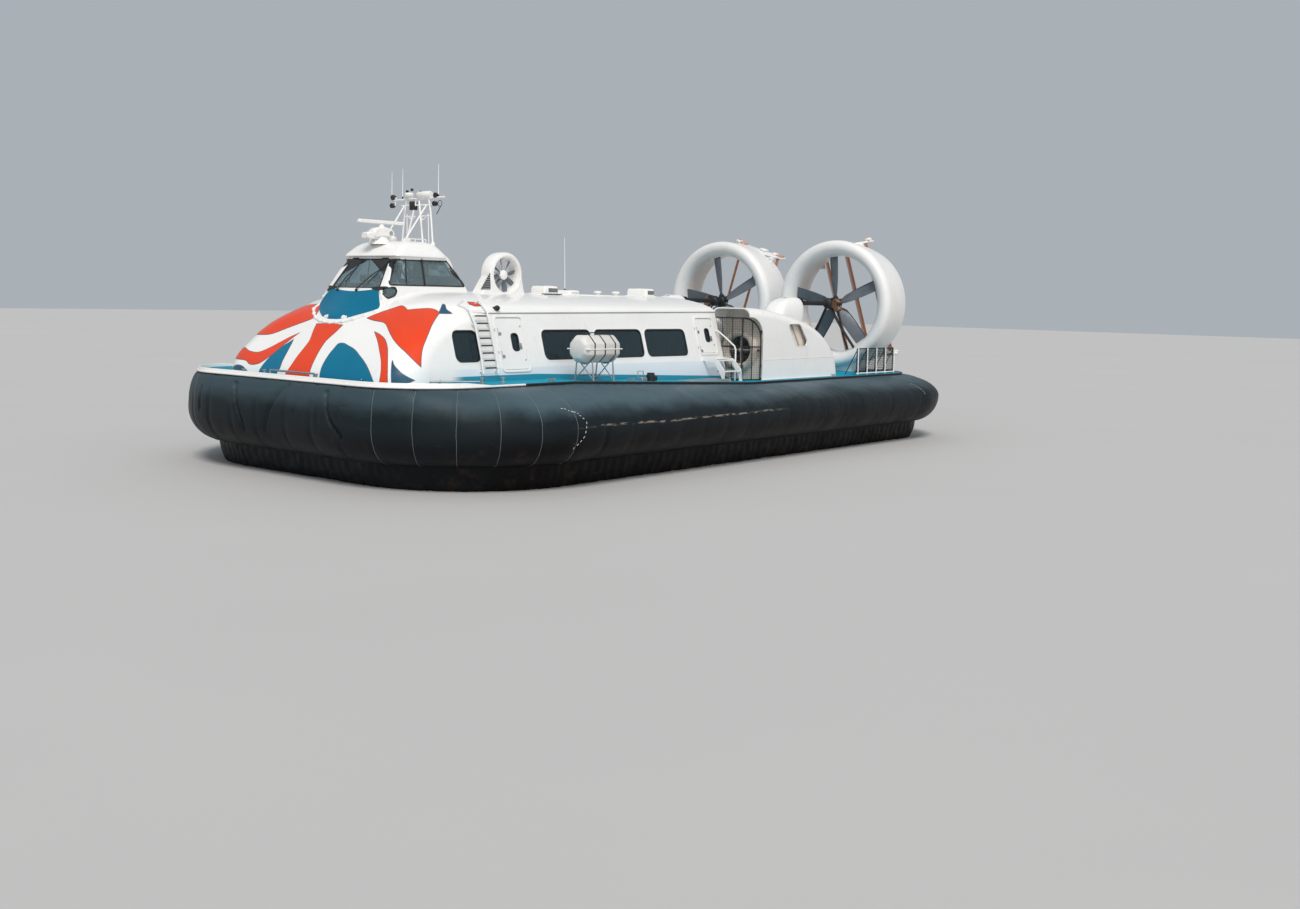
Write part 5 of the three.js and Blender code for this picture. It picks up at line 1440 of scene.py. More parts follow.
# Blue prow panel under the screen, the lumpy white flange round its foot, and the wipers
prow = dict(
    panel=[(-0.9, 4.47), (0.92, 4.47), (1.04, 4.3), (1.19, 4.03), (0.95, 3.92), (0.6, 3.8),
        (0.25, 3.735), (-0.25, 3.735), (-0.6, 3.8), (-0.95, 3.92), (-1.19, 4.03), (-1.04, 4.3)],
    flange=[(1.02, 4.43), (1.3, 3.98), (0.98, 3.84), (0.6, 3.7), (0.0, 3.63), (-0.6, 3.7), (-0.98, 3.84),
        (-1.3, 3.98), (-1.02, 4.43)],
    step=0.02, thin=0.036, lump=0.022, lumpEvery=0.19,
)


def makeProw():
    line = rounded(prow["panel"], 0.12, 4)
    makePiece("prowPanel", laidOn(bridgeTree, line, castFront, 0.09, 0.006), "flagBlue", sharp=50)
    # the flange lies on whichever of the wheelhouse and the cabin stands further forward
    path = []
    for p in rounded(prow["flange"], 0.4, 12, closed=False):
        found = [landed(tree, castFront, p) for tree in (bridgeTree, cabinTree)]
        fronts = [hit[0] for hit in found if hit]
        if fronts:
            path.append(max(fronts, key=lambda spot: spot.x))
    spread = []
    for a, b in zip(path, path[1:]):
        steps = max(1, int((b - a).length / prow["step"]))
        spread += [a.lerp(b, k / steps) for k in range(steps)]
    turns = [i * prow["step"] * 2 * pi / prow["lumpEvery"] for i in range(len(spread))]
    sizes = [prow["thin"] + prow["lump"] * max(0.0, cos(a)) ** 2 for a in turns]
    makePiece("prowFlange", Shape().tube(spread, sizes, 10), "whitePaint", sharp=70)
    wipers = Shape()
    for y, tilt in ((-0.55, 0.3), (0.2, 0.52)):
        pivot, normal = landed(bridgeTree, castFront, (y - 0.02, 4.44))
        tip, outer = landed(bridgeTree, castFront, (y + tilt, 5.0))
        boss = [(0, -0.01), (0.035, -0.01), (0.035, 0.03), (0.02, 0.045), (0, 0.045)]
        wipers.turned(boss, 14, seatAt(pivot, normal))
        for gap in (Vector((0, -0.022, 0)), Vector((0, 0.022, 0))):
            elbow = pivot.lerp(tip, 0.55) + normal * 0.07 + gap
            wipers.tube([pivot + normal * 0.04 + gap, elbow, tip + outer * 0.045], 0.008, 6)
        low, _ = landed(bridgeTree, castFront, (y + tilt * 0.55 - 0.02, 4.62))
        high, _ = landed(bridgeTree, castFront, (y + tilt * 1.15, 5.19))
        wipers.tube([low + outer * 0.02, high + outer * 0.02], 0.009, 6)
        wipers.tube([low + outer * 0.028, high + outer * 0.028], 0.014, 6, flat=0.5)
    makePiece("wipers", wipers, "blackRubber")


makeProw()


# What shows through the wheelhouse glass: the console, two seats and the ceiling lining
def makeBridgeInside():
    console = Shape()
    console.slab((8.62, -0.85, 4.1), (9.05, 0.85, 4.62), 0.05)
    console.slab((8.42, -0.8, 4.45), (8.72, 0.8, 4.58), 0.03, turn=Matrix.Rotation(-0.3, 3, "Y"))
    console.slab((7.7, -0.16, 4.1), (8.45, 0.16, 4.52), 0.04)
    console.slab((6.75, -1.1, 4.3), (9.2, 1.1, 4.34), 0.01)
    for y in (-0.55, 0.0, 0.5):
        console.slab((8.62, y - 0.13, 4.66), (8.66, y + 0.13, 4.84), 0.01)
    makePiece("bridgeConsole", console, "blackRubber")
    lining = Shape().slab((7.45, -0.88, 5.235), (8.7, 0.88, 5.26), 0.01)
    makePiece("bridgeCeiling", lining, "innerLining", slot="white_plastic")
    seats = Shape()
    for y in (-0.5, 0.5):
        chair(seats, 8.0, y, 4.34, 0.5, 0.86)
    makePiece("bridgeSeats", seats, "seatCloth", sharp=70)


# One seat facing the bow: a crowned cushion on a base and a crowned back with a headrest
def chair(shape, x, y, z, wide, tall):
    for low, high, lean in (((-0.24, 0.3), (0.26, 0.42), 0.0), ((-0.34, 0.38), (-0.2, tall), -0.14)):
        rows = []
        for k in range(9):
            v = -1 + k / 4
            swell = 1 - 0.22 * abs(v) ** 3, 1 - 0.3 * abs(v) ** 4
            crown, thick = swell if lean == 0 else swell[::-1]
            row = []
            for a in range(16):
                turn = 2 * pi * a / 16
                cx, cz = (copysign(abs(c) ** 0.45, c) for c in (cos(turn), sin(turn)))
                px = (low[0] + high[0]) / 2 + cx * (high[0] - low[0]) / 2 * crown
                pz = (low[1] + high[1]) / 2 + cz * (high[1] - low[1]) / 2 * thick
                row.append((x + px + lean * (pz - 0.4), y + v * wide / 2, z + pz))
            rows.append(row)
        shape.sections(rows)


makeBridgeInside()
print("bridge interior")

# Rows of passenger seats behind the side windows
cabinSeats = {"from": -0.6, "to": 7.2, "pitch": 0.86, "floor": 2.37, "across": (-2.75, -2.22, -1.69,
    -0.62, 0.0, 0.62, 1.69, 2.22, 2.75)}


def makeCabinSeats():
    shape = Shape()
    x = cabinSeats["from"]
    while x < cabinSeats["to"]:
        for y in cabinSeats["across"]:
            chair(shape, x, y, cabinSeats["floor"], 0.46, 1.08)
        x += cabinSeats["pitch"]
    makePiece("cabinSeats", shape, "seatCloth", sharp=70)
    floor = Shape().slab((-1.3, -3.3, 2.365), (9.3, 3.3, 2.372), 0.002)
    makePiece("cabinFloor", floor, "innerLining", slot="deck_blue")


makeCabinSeats()

# Mast: a tubular portal with an arm, whips, lamps, horns and a small crossing between its inner legs
mast = dict(x=7.46, y=0.12, roof=5.62, arm=6.8, armHalf=1.0, tube=0.024, outer=0.59, inner=0.33)


def makeMast():
    x, middle, roof, top, half, tube, outer, inner = mast.values()
    white, dark = Shape(), Shape()

    def spot(y, z, ahead=0.0):
        return (x + ahead, middle + y, z)

    def pipe(radius, *points, sides=8):
        white.tube([spot(*p) for p in points], radius, sides)

    pipe(tube, (-half, top - 0.02), (half, top + 0.02))
    pipe(tube * 0.8, (-0.62, top - 0.16), (0.62, top - 0.16))
    for side in (-1, 1):
        pipe(tube, (side * outer, roof), (side * 0.5, 6.45), (side * 0.42, top), sides=10)
        pipe(tube, (side * inner, roof, 0.1), (side * 0.06, top - 0.05), sides=10)
        pipe(tube * 0.55, (side * 0.42, roof, -0.02), (side * 0.4, 6.42))
        white.tube([(8.3, middle + side * 0.4, 5.6), spot(side * 0.42, 6.62, 0.08)], tube * 0.9)
        pipe(tube * 0.7, (side * 0.5, 6.36), (side * 0.1, 6.36))
        pipe(tube * 0.6, (side * 0.1, 6.36), (side * 0.22, 6.26), (side * 0.34, 6.36))
        for foot, ahead in ((outer, 0.0), (inner, 0.1)):
            white.turned([(0.06, 5.6), (0.055, 5.68), (0.03, 5.7)], 14,
                centredZ(x + ahead, middle + side * foot))
    for y, low, high in ((-1.0, 6.78, 7.52), (-0.58, 6.8, 7.58), (0.78, 6.82, 7.65)):
        pipe([0.016, 0.012, 0.0055], (y, low), (y, low + 0.16), (y, high))
        dark.tube([spot(y, low + 0.02), spot(y, low + 0.07)], 0.02, 10)
    horn = [(0.0, 0.145), (0.075, 0.15), (0.085, 0.17), (0.085, 0.6), (0.075, 0.625), (0.0, 0.63)]
    white.turned(horn, 18, centredY(x, 6.9))
    dome = [(0.04, 6.8), (0.05, 6.86), (0.12, 6.88), (0.13, 6.92), (0.1, 6.96), (0.0, 6.97)]
    white.turned(dome, 18, centredZ(x, middle - 0.32))
    floodlight = ((0.0, -0.05), (0.05, -0.05), (0.062, -0.02), (0.066, 0.05), (0.055, 0.062),
        (0.0, 0.064))
    for y, z in ((-0.93, 6.86), (-0.96, 6.65), (0.7, 6.87), (0.66, 6.66)):
        dark.turned([(r, x + h) for r, h in floodlight], 18, centredX(middle + y, z))
        pipe(0.014, (y, z), (y * 0.9, z + (0.02 if z < 6.8 else -0.03)))
        pipe(0.012, (y * 0.9, z), (y * 0.9, top))
    lamp = ((0.0, -0.02), (0.036, -0.015), (0.04, 0.03), (0.02, 0.05), (0.0, 0.052))
    for y, z in ((-0.4, 6.98), (-0.22, 7.02), (0.12, 6.95)):
        pipe(0.011, (y, top), (y, z))
        dark.turned([(r, z + h) for r, h in lamp], 14, centredZ(x, middle + y))
    ring = circle((0.86, 6.66), 0.075, 19)
    dark.tube([spot(*p, 0.02) for p in ring], 0.008, 6, closed=True)
    dark.tube([spot(0.86, 6.585), spot(0.8, 6.5), spot(0.72, 6.4)], 0.01)
    for y in (-0.22, -0.12):
        dark.slab(spot(y - 0.05, 6.52, -0.07), spot(y + 0.05, 6.74, 0.05), 0.012)
    makePiece("mastTubes", white, "whitePaint", stands=["mast"], sharp=40)
    makePiece("mastLamps", dark, "darkMetal", sharp=40)


makeMast()
print("radar and mast")


# Bow thrusters: a cowl flared to the roof, a bell lip round its tunnel, louvres, spokes and a white hub
thruster = dict(x=5.61, y=1.31, z=4.93, deep=0.38, outer=0.588, bore=0.45, foot=0.87, blades=8,
    fanY=1.345)


def cowlSection(grow, steps=30):
    x, z, r, foot = thruster["x"], thruster["z"], thruster["outer"] + grow, thruster["foot"] + grow * 0.6
    turns = np.linspace(radians(-4), radians(184), steps)
    front, rear = x + foot + 0.14, x - foot + 0.1
    return ([(front, 4.3), (front - 0.16, 4.52)] + [(x + r * cos(a), z + r * sin(a)) for a in turns]
        + [(rear + 0.12, 4.54), (rear, 4.3)])


def makeThruster():
    x, y, z = thruster["x"], thruster["y"], thruster["z"]
    half, bore = thruster["deep"] / 2, thruster["bore"]
    seat = centredY(x, z)
    outside = []
    for place, grow in ((y - half, -0.05), (y - half + 0.02, -0.012), (y - half + 0.07, 0.0),
            (y + half - 0.07, 0.0), (y + half - 0.02, -0.012), (y + half, -0.05)):
        outside.append([(u, place, w) for u, w in rounded(cowlSection(grow), 0.1, 3)])
    tunnel = Shape().turned([(0, y - 0.4), (bore + 0.02, y - 0.4), (bore + 0.02, y + 0.4), (0, y + 0.4)],
        56, seat)
    cowl = carved(Shape().sections(outside), [tunnel])
    lip = [(bore + 0.03, y - half + 0.01), (bore + 0.02, y - half - 0.004),
        (bore + 0.002, y - half + 0.02), (bore + 0.0015, y + half - 0.08),
        (bore + 0.02, y + half - 0.02), (bore + 0.055, y + half + 0.012), (bore + 0.085, y + half),
        (bore + 0.05, y + half - 0.05)]
    cowl.turned(lip, 56, seat, closed=True)
    hubY = y - 0.13
    boss = [(0, hubY - 0.05), (0.068, hubY - 0.05), (0.07, hubY + 0.045), (0.055, hubY + 0.05),
        (0, hubY + 0.05)]
    cowl.turned(boss, 24, seat)
    for angle in (0.35, 1.92, 3.49, 5.06):
        tip = (x + 0.455 * cos(angle), hubY, z + 0.455 * sin(angle))
        cowl.tube([(x, hubY, z), tip], 0.02, flat=2.2)
    makePair("thrusterCowl", cowl, "whitePaint", stands=["thruster_cowl"], sharp=36)
    louvres = Shape()
    low = x + 0.6
    for k in range(7):
        level = 4.56 + 0.055 * k
        high = low + 0.3 * (1 - k / 8.5)
        louvres.slab((low, y + half - 0.012, level), (high, y + half + 0.006, level + 0.022), 0.004)
    # a black plate behind the slats, painted shade inside the vent
    back = rounded([(x + 0.58, 4.54), (x + 0.93, 4.54), (x + 0.6, 4.98)], 0.03, 3)
    louvres.plate(back, y + half - 0.006, y + half + 0.001, alongY, 0.001, 1)
    makePair("thrusterLouvres", louvres, ["greyPlastic", "blackRubber"])
    makeThrusterWheel(x, thruster["fanY"], z)


def makeThrusterWheel(x, y, z):
    wheel, hub = Shape(), Shape()
    nose = ((0, -0.1145), (0.038, -0.1145), (0.04, -0.07), (0.115, -0.06), (0.13, -0.03), (0.13, 0.03),
        (0.12, 0.055), (0.08, 0.072), (0, 0.078))
    hub.turned([(r, y + h) for r, h in nose], 28, centredY(x, z))
    rows = []
    for r, chord, pitch in ((0.1, 0.055, 52), (0.22, 0.068, 42), (0.34, 0.072, 34), (0.436, 0.062, 30)):
        a = radians(pitch)
        row = []
        for u, v in ((-1, 0), (-0.4, 0.07), (0.4, 0.05), (1, 0), (0.4, -0.02), (-0.4, -0.02)):
            across, out = u * chord, v * chord
            row.append((across * cos(a) - out * sin(a), across * sin(a) + out * cos(a), r))
        rows.append(row)
    for k in range(thruster["blades"]):
        turn = Matrix.Rotation(2 * pi * k / thruster["blades"] + 0.2, 4, "Y")
        wheel.join(Shape().sections(rows).moved(Matrix.Translation((x, y, z)) @ turn))
    hub.join(wheel, 1)
    makePair("thrusterWheel", hub, ["whitePaint", "bladePaint"], "thruster_fan", "dark_metal",
        ["thruster_fan"], sharp=40)


makeThruster()

# Roof vents: rounded boxes with louvred side panels. Each is its rear, front, half width and height
vents = dict(y=1.2, boxes=[(3.58, 4.15, 0.27, 4.688), (2.69, 3.17, 0.27, 4.588),
    (-0.48, -0.04, 0.37, 4.698)])


def makeVents():
    shape, louvre = Shape(), Shape()
    y = vents["y"]
    for rear, front, half, high in vents["boxes"]:
        plan = rounded(rectangle(rear, front, y - half, y + half), 0.06)
        levels = ((4.3, 0), (4.46, 0), (high - 0.08, 0.012), (high - 0.03, 0.03), (high - 0.008, 0.06),
            (high, 0.11))
        shape.sections([[(u, v, z) for u, v in (inset(plan, d) if d else plan)] for z, d in levels])
        near, far = y - half, y + half
        wide = (front - rear) * 0.62
        # a black plate behind the slats, painted shade inside the vent
        back = rounded(rectangle(rear + 0.05, rear + 0.05 + wide, 4.52, high - 0.07), 0.01, 3)
        louvre.plate(back, far - 0.02, far + 0.002, alongY, 0.002, 1)
        z = 4.535
        while z < high - 0.085:
            louvre.slab((rear + 0.06, far - 0.012, z), (rear + 0.04 + wide, far + 0.009, z + 0.012),
                0.003, turn=Matrix.Rotation(0.35, 3, "X"))
            z += 0.024
        foot = [(rear - 0.015, near - 0.012, 4.475), (front + 0.015, near - 0.012, 4.475),
            (front + 0.015, far + 0.012, 4.455), (rear - 0.015, far + 0.012, 4.455)]
        shape.tube(foot, 0.016, 6, closed=True)
    shape.slab((-0.52, 0.94, 4.36), (4.19, 1.46, 4.468), 0.02)
    cap = [(0.07, 4.44), (0.07, 4.52), (0.12, 4.53), (0.125, 4.56), (0.09, 4.585), (0, 4.59)]
    for x in (0.7, 1.5):
        shape.turned(cap, 20, centredZ(x, 1.05))
    makePiece("roofVents", shape, "whitePaint", stands=["roof_vents"], sharp=36)
    makePiece("ventLouvres", louvre, ["greyPlastic", "blackRubber"])
    fittings = Shape().slab((3.5, 1.5, 4.452), (4.3, 1.525, 4.475), 0.004)
    fittings.tube([(3.05, 1.2, 4.44), (3.05, 1.2, 4.62)], [0.03, 0.022], 10)
    fittings.turned([(0, 7.465), (0.05, 7.47), (0.07, 7.52), (0.05, 7.575), (0, 7.58)], 16,
        centredX(3.1, 4.09))
    fittings.slab((7.44, 2.98, 4.06), (7.58, 3.06, 4.12), 0.01)
    makePiece("roofFittings", fittings, "blackRubber")
    whip = Shape().tube([(3.05, 1.2, 4.46), (3.06, 1.2, 4.9), (3.1, 1.2, 6.02)], [0.013, 0.011, 0.006])
    makePiece("roofWhip", whip, "whitePaint", slot="white_plastic")


makeVents()
print("thrusters and vents")


# Nacelle: a smooth shell along the side deck. Roof line as (x, height), aft end rounded down to the deck
liftFan = dict(x=-2.51, y=3.54, z=2.95, radius=0.53, blades=12)
nacelle = dict(inner=2.95, outer=4.35, front=-2.15, rear=-6.33, skin=0.035, round=0.27, lip=0.62)
nacelleLine = np.array([(-6.33, 2.3), (-6.28, 2.62), (-6.15, 2.9), (-5.95, 3.13), (-5.65, 3.36),
    (-5.25, 3.58), (-4.7, 3.77), (-4.0, 3.93), (-3.2, 4.06), (-2.5, 4.15), (-1.9, 4.19), (-1.4, 4.2)])
enginePort = rounded([(-3.46, 3.73), (-4.13, 3.73), (-4.57, 3.2), (-4.5, 3.06), (-3.92, 3.07)], 0.11, 6)


def nacelleRows(xs, grow, floor=2.0):
    y0, y1 = nacelle["inner"] + grow, nacelle["outer"] - grow
    r = nacelle["round"] - grow * 0.6
    turns = [pi / 2 * k / 8 for k in range(9)]
    heights = smoothColumn(nacelleLine[:, 0], nacelleLine[:, 1], np.array(xs)) - grow
    rows = []
    for x, z in zip(xs, heights):
        top, low = z - r, (floor + min(z - r, z - 0.05)) / 2
        step = [floor + 0.02 + 0.001 * k for k in range(9)]
        row = [(x, y1, floor), (x, y1, low)]
        row += [(x, y1 - r + r * cos(a), max(s, top + r * sin(a))) for a, s in zip(turns, step)]
        row += [(x, y0 + r - r * sin(a), max(s, top + r * cos(a))) for a, s in zip(turns, step)]
        rows.append(row + [(x, y0, low), (x, y0, floor)])
    return rows


def makeNacelle():
    aft = [-6.33, -6.32, -6.3, -6.27, -6.22, -6.15, -6.05, -5.93, -5.8, -5.6, -5.4]
    xs = np.concatenate([aft, np.linspace(-5.1, -1.46, 22)])
    hollow = Shape().sections(nacelleRows(np.linspace(-6.15, -1.3, 24), nacelle["skin"], 1.9))
    front, lip = nacelle["front"], nacelle["lip"]
    turns = np.linspace(0, pi / 2, 10)
    mouth = [(front + lip * (1 - cos(a)), 3.31 + lip * sin(a)) for a in turns]
    mouth = Shape().plate([(-1.2, 1.8), (front, 1.8)] + mouth + [(-1.2, 3.93)], 2.8, 4.6, alongY, 0.0001)
    porthole = Shape().plate(enginePort, 4.1, 4.6, alongY, 0.0001)

    # The slit in the top is drawn round its middle line and widened
    def widened(u, v, w):
        return (u, 4.05 + v * 1.6, w)

    slit = Shape().plate(rounded(rectangle(-3.55, -3.05, -0.02, 0.02), 0.015, 3), 3.6, 4.3, widened,
        0.0001)
    under = Shape().slab((-6.6, 2.7, 1.5), (-1.2, 4.6, 2.0801), 0.001)
    work = carved(Shape().sections(nacelleRows(xs, 0.0)), [hollow, mouth, porthole, slit, under])
    # the wall behind the grille with its big bell mouth
    y, z = liftFan["y"], liftFan["z"]
    seat = centredX(y, z)
    wall = Shape().plate(rounded(rectangle(2.97, 4.33, 2.083, 4.15), 0.2), -2.19, -2.15, alongX, 0.004)
    inlet = Shape().plate(circle((y, z), 0.42, 40), -2.4, -2.0, alongX, 0.0001)
    work.join(carved(wall, [inlet], 1))
    bell = [(0.43, -2.17), (0.402, -2.16), (0.402, -2.1), (0.43, -2.03), (0.5, -1.99), (0.57, -2.01),
        (0.612, -2.08), (0.62, -2.15)]
    work.turned(bell, 44, seat, 1, closed=True)
    work.turned([(0.6, -2.152), (0.6, -2.135), (0.64, -2.13), (0.64, -2.152)], 44, seat, 1, closed=True)
    centre = Vector((-2.172, y, z))
    for angle in (0.0, pi / 2):
        across = Vector((0, cos(angle), sin(angle))) * 0.425
        work.tube([centre - across, centre + across], 0.016, 8, 1)
    boss = [(0, -2.207), (0.06, -2.207), (0.07, -2.19), (0.07, -2.14), (0.05, -2.13), (0, -2.128)]
    work.turned(boss, 20, seat, 1)
    # bolted seam along the flank, the line of its foot flange and the louvre box in the side opening
    work.tube([(-6.32, 4.353, 2.7), (-2.16, 4.353, 2.68)], 0.006, 6)
    work.slab((-6.25, 4.345, 2.083), (-2.16, 4.375, 2.105), 0.004)
    bolt = [(0, 4.37), (0.011, 4.372), (0.009, 4.382), (0, 4.384)]
    for k in range(34):
        work.turned(bolt, 8, centredY(-6.15 + 0.119 * k, 2.096), 1)
    makePair("nacelleShell", work, ["whitePaint", "intakePaint"], stands=["nacelle"], sharp=38)
    vent = Shape()
    frameRing(vent, inset(enginePort, 0.003), inset(enginePort, -0.03), 4.345, 4.357, alongY)
    vent.slab((-4.8, 4.2, 2.95), (-3.25, 4.215, 3.8), 0.004, 1)
    vent.tube([(-4.3, 4.25, 3.05), (-3.82, 4.25, 3.72)], 0.02, 8, 1)
    makePair("nacelleVent", vent, ["whitePaint", "intakePaint"])


makeNacelle()

# Lift fan: a backward-bladed wheel on its shaft, seen through the bell mouth


def makeLiftFan():
    x, y, z, r = (liftFan[k] for k in ("x", "y", "z", "radius"))
    shape = Shape()
    seat = centredX(y, z)
    shape.turned([(0, x - 0.21), (r, x - 0.21), (r, x - 0.19), (0.2, x - 0.175), (0.12, x - 0.05),
        (0.1, x + 0.1), (0.05, x + 0.12), (0.048, x + 0.2995), (0, x + 0.2995)], 32, seat)
    shape.turned([(0.41, x + 0.2), (0.46, x + 0.17), (r, x + 0.12), (r, x + 0.1), (0.45, x + 0.15),
        (0.4, x + 0.19)], 40, seat, closed=True)
    for k in range(liftFan["blades"]):
        turn = Matrix.Translation((x, y, z)) @ Matrix.Rotation(2 * pi * k / liftFan["blades"], 4, "X")
        rows = []
        for u in (-0.195, 0.0, 0.13):
            rows.append([(u, 0.16 + 0.35 * t, 0.2 * t * t + w) for t, w in ((0, 0), (0.35, 0), (0.7, 0),
                (1, 0), (0.7, 0.012), (0.35, 0.012))])
        shape.join(Shape().sections(rows).moved(turn))
    makePair("liftFanWheel", shape, "greyPlastic", "lift_fan", "blade_grey", ["lift_fan"], sharp=40)


makeLiftFan()

# Intake gate: a panel across the bay and a side panel with a curved upper corner, both of fine mesh
gate = dict(front=-1.47, side=4.075, aftY=4.3, inner=2.985, rear=-2.1, low=2.105, top=3.9, arc=0.6,
    bar=0.019, mesh=0.07, wire=0.0026)


def makeGate():
    bars, wires = Shape(), Shape()
    x, y, inner, rear, low, top, aft = (gate[k] for k in ("front", "side", "inner", "rear", "low", "top",
        "aftY"))

    # The side panel slants out from the corner post to the nacelle's skin
    def slanted(u, z):
        return Vector((u, y + (aft - y) * (x - u) / (x - rear), z))

    arc = gate["arc"]
    sideArc = [(rear + arc * (1 - cos(a)), top - arc + arc * sin(a)) for a in np.linspace(0, pi / 2,
        9)] + [(x, top)]
    rise = [p[0] for p in sideArc], [p[1] for p in sideArc]
    for z in (low, 3.06, top):
        bars.tube([(x, inner, z), (x, y, z)], gate["bar"])
    bars.tube([(x, y, low), (x, y, top)], gate["bar"] * 1.2)
    bars.tube([(x, inner + 0.005, low), (x, inner + 0.005, top)], gate["bar"])
    for z in (low, 3.06):
        bars.tube([slanted(x, z), slanted(rear, z)], gate["bar"])
    bars.tube([slanted(rear, low)] + [slanted(u, z) for u, z in sideArc], gate["bar"] * 1.2)
    for u in (inner + 0.36, inner + 0.73):
        bars.tube([(x, u, low), (x, u, top)], gate["bar"] * 0.6)
    bars.tube([slanted(x - 0.33, low), slanted(x - 0.33, np.interp(x - 0.33, *rise))], gate["bar"] * 0.7)
    for z in (2.5, 3.5):
        for spot in (slanted(rear, z), slanted(x, z)):
            bars.slab(spot - Vector((0.02, 0.02, 0.05)), spot + Vector((0.02, 0.03, 0.05)), 0.008)
    latch = slanted(rear + 0.1, 2.96)
    bars.slab(latch - Vector((0.05, 0.0, 0.03)), latch + Vector((0.05, 0.035, 0.03)), 0.008)
    step, w = gate["mesh"], gate["wire"]
    for k in range(int((y - inner) / step) + 1):
        u = inner + k * step
        wires.slab((x - w, u - w, low), (x + w, u + w, top), 0.0005)
    for k in range(int((top - low) / step) + 1):
        z = low + k * step
        wires.slab((x - w, inner, z - w), (x + w, y, z + w), 0.0005)
        start = rear if z < top - arc else float(np.interp(z, rise[1], rise[0]))
        wires.tube([slanted(start, z), slanted(x, z)], w, 4)
    for k in range(int((x - rear) / step) + 1):
        u = rear + k * step
        wires.tube([slanted(u, low), slanted(u, np.interp(u, *rise))], w, 4)
    makePair("intakeGate", bars, "darkMetal", stands=["intake_guard"])
    makePair("intakeMesh", wires, "darkMetal")


makeGate()

# Belt drive fairings: a rounded tower that flares at its foot. Each level is its height, rear and front
duct = dict(y=2.413, z=4.379, sides=96, cant=radians(17), spar=1.99)
fairing = dict(y=2.413, half=0.378)
fairingLine = [(2.07, -6.64, -5.302), (2.6, -6.64, -5.302), (3.1, -6.66, -5.305), (3.45, -6.72, -5.31),
    (3.75, -6.86, -5.33), (3.95, -6.945, -5.36), (4.1, -6.948, -5.42), (4.25, -6.945, -5.53),
    (4.37, -6.93, -5.68), (4.46, -6.89, -5.88), (4.52, -6.82, -6.1), (4.55, -6.7, -6.35)]


def makeFairing():
    y = fairing["y"]
    rows = []
    for z, rear, front in fairingLine:
        f = max(0.0, (z - 4.05) / 0.5)
        half = fairing["half"] * sqrt(max(0.12, 1 - 0.82 * f ** 2.2))
        plan = rounded(rectangle(rear, front, y - half, y + half), min(0.3, half * 0.75), 7)
        rows.append([(u, v, z) for u, v in plan])
    shape = Shape().sections(rows)
    for side in (-1, 1):
        shape.tube([(-6.93, y + side * 0.28, 4.02), (-6.5, y + side * 0.375, 3.98),
            (-5.6, y + side * 0.375, 3.98)], 0.008, 6)
    collar = [(0.16, -6.9), (0.16, -6.957), (0.13, -6.962), (0.105, -6.962), (0.105, -6.9)]
    shape.turned(collar, 28, centredX(y, duct["z"]), 1, closed=True)
    shape.slab((-6.35, y - 0.08, 4.54), (-6.1, y + 0.08, 4.5595), 0.006)
    makePair("driveFairing", shape, ["whitePaint", "blackRubber"], stands=["drive_fairing"], sharp=50)


makeFairing()
print("nacelles, fans, gates and fairings")


# Ducts: profile as (distance out, place along X), then struts, foot and the rudders' spars
ductProfile = [(1.993, -10.68), (2.05, -10.4), (2.105, -10.0), (2.14, -9.62), (2.16, -9.42),
    (2.166, -9.34), (2.158, -9.27), (2.135, -9.2), (2.095, -9.145), (2.04, -9.112), (1.975, -9.1),
    (1.905, -9.108), (1.835, -9.135), (1.765, -9.185), (1.705, -9.26), (1.665, -9.36), (1.645, -9.46),
    (1.64, -9.56), (1.648, -9.8), (1.68, -10.15), (1.76, -10.42), (1.87, -10.6), (1.933, -10.68)]


def canted(sign=1):
    return Matrix.Translation((0, duct["y"] * sign, duct["z"])) @ Matrix.Rotation(duct["cant"] * sign, 4,
        "X")


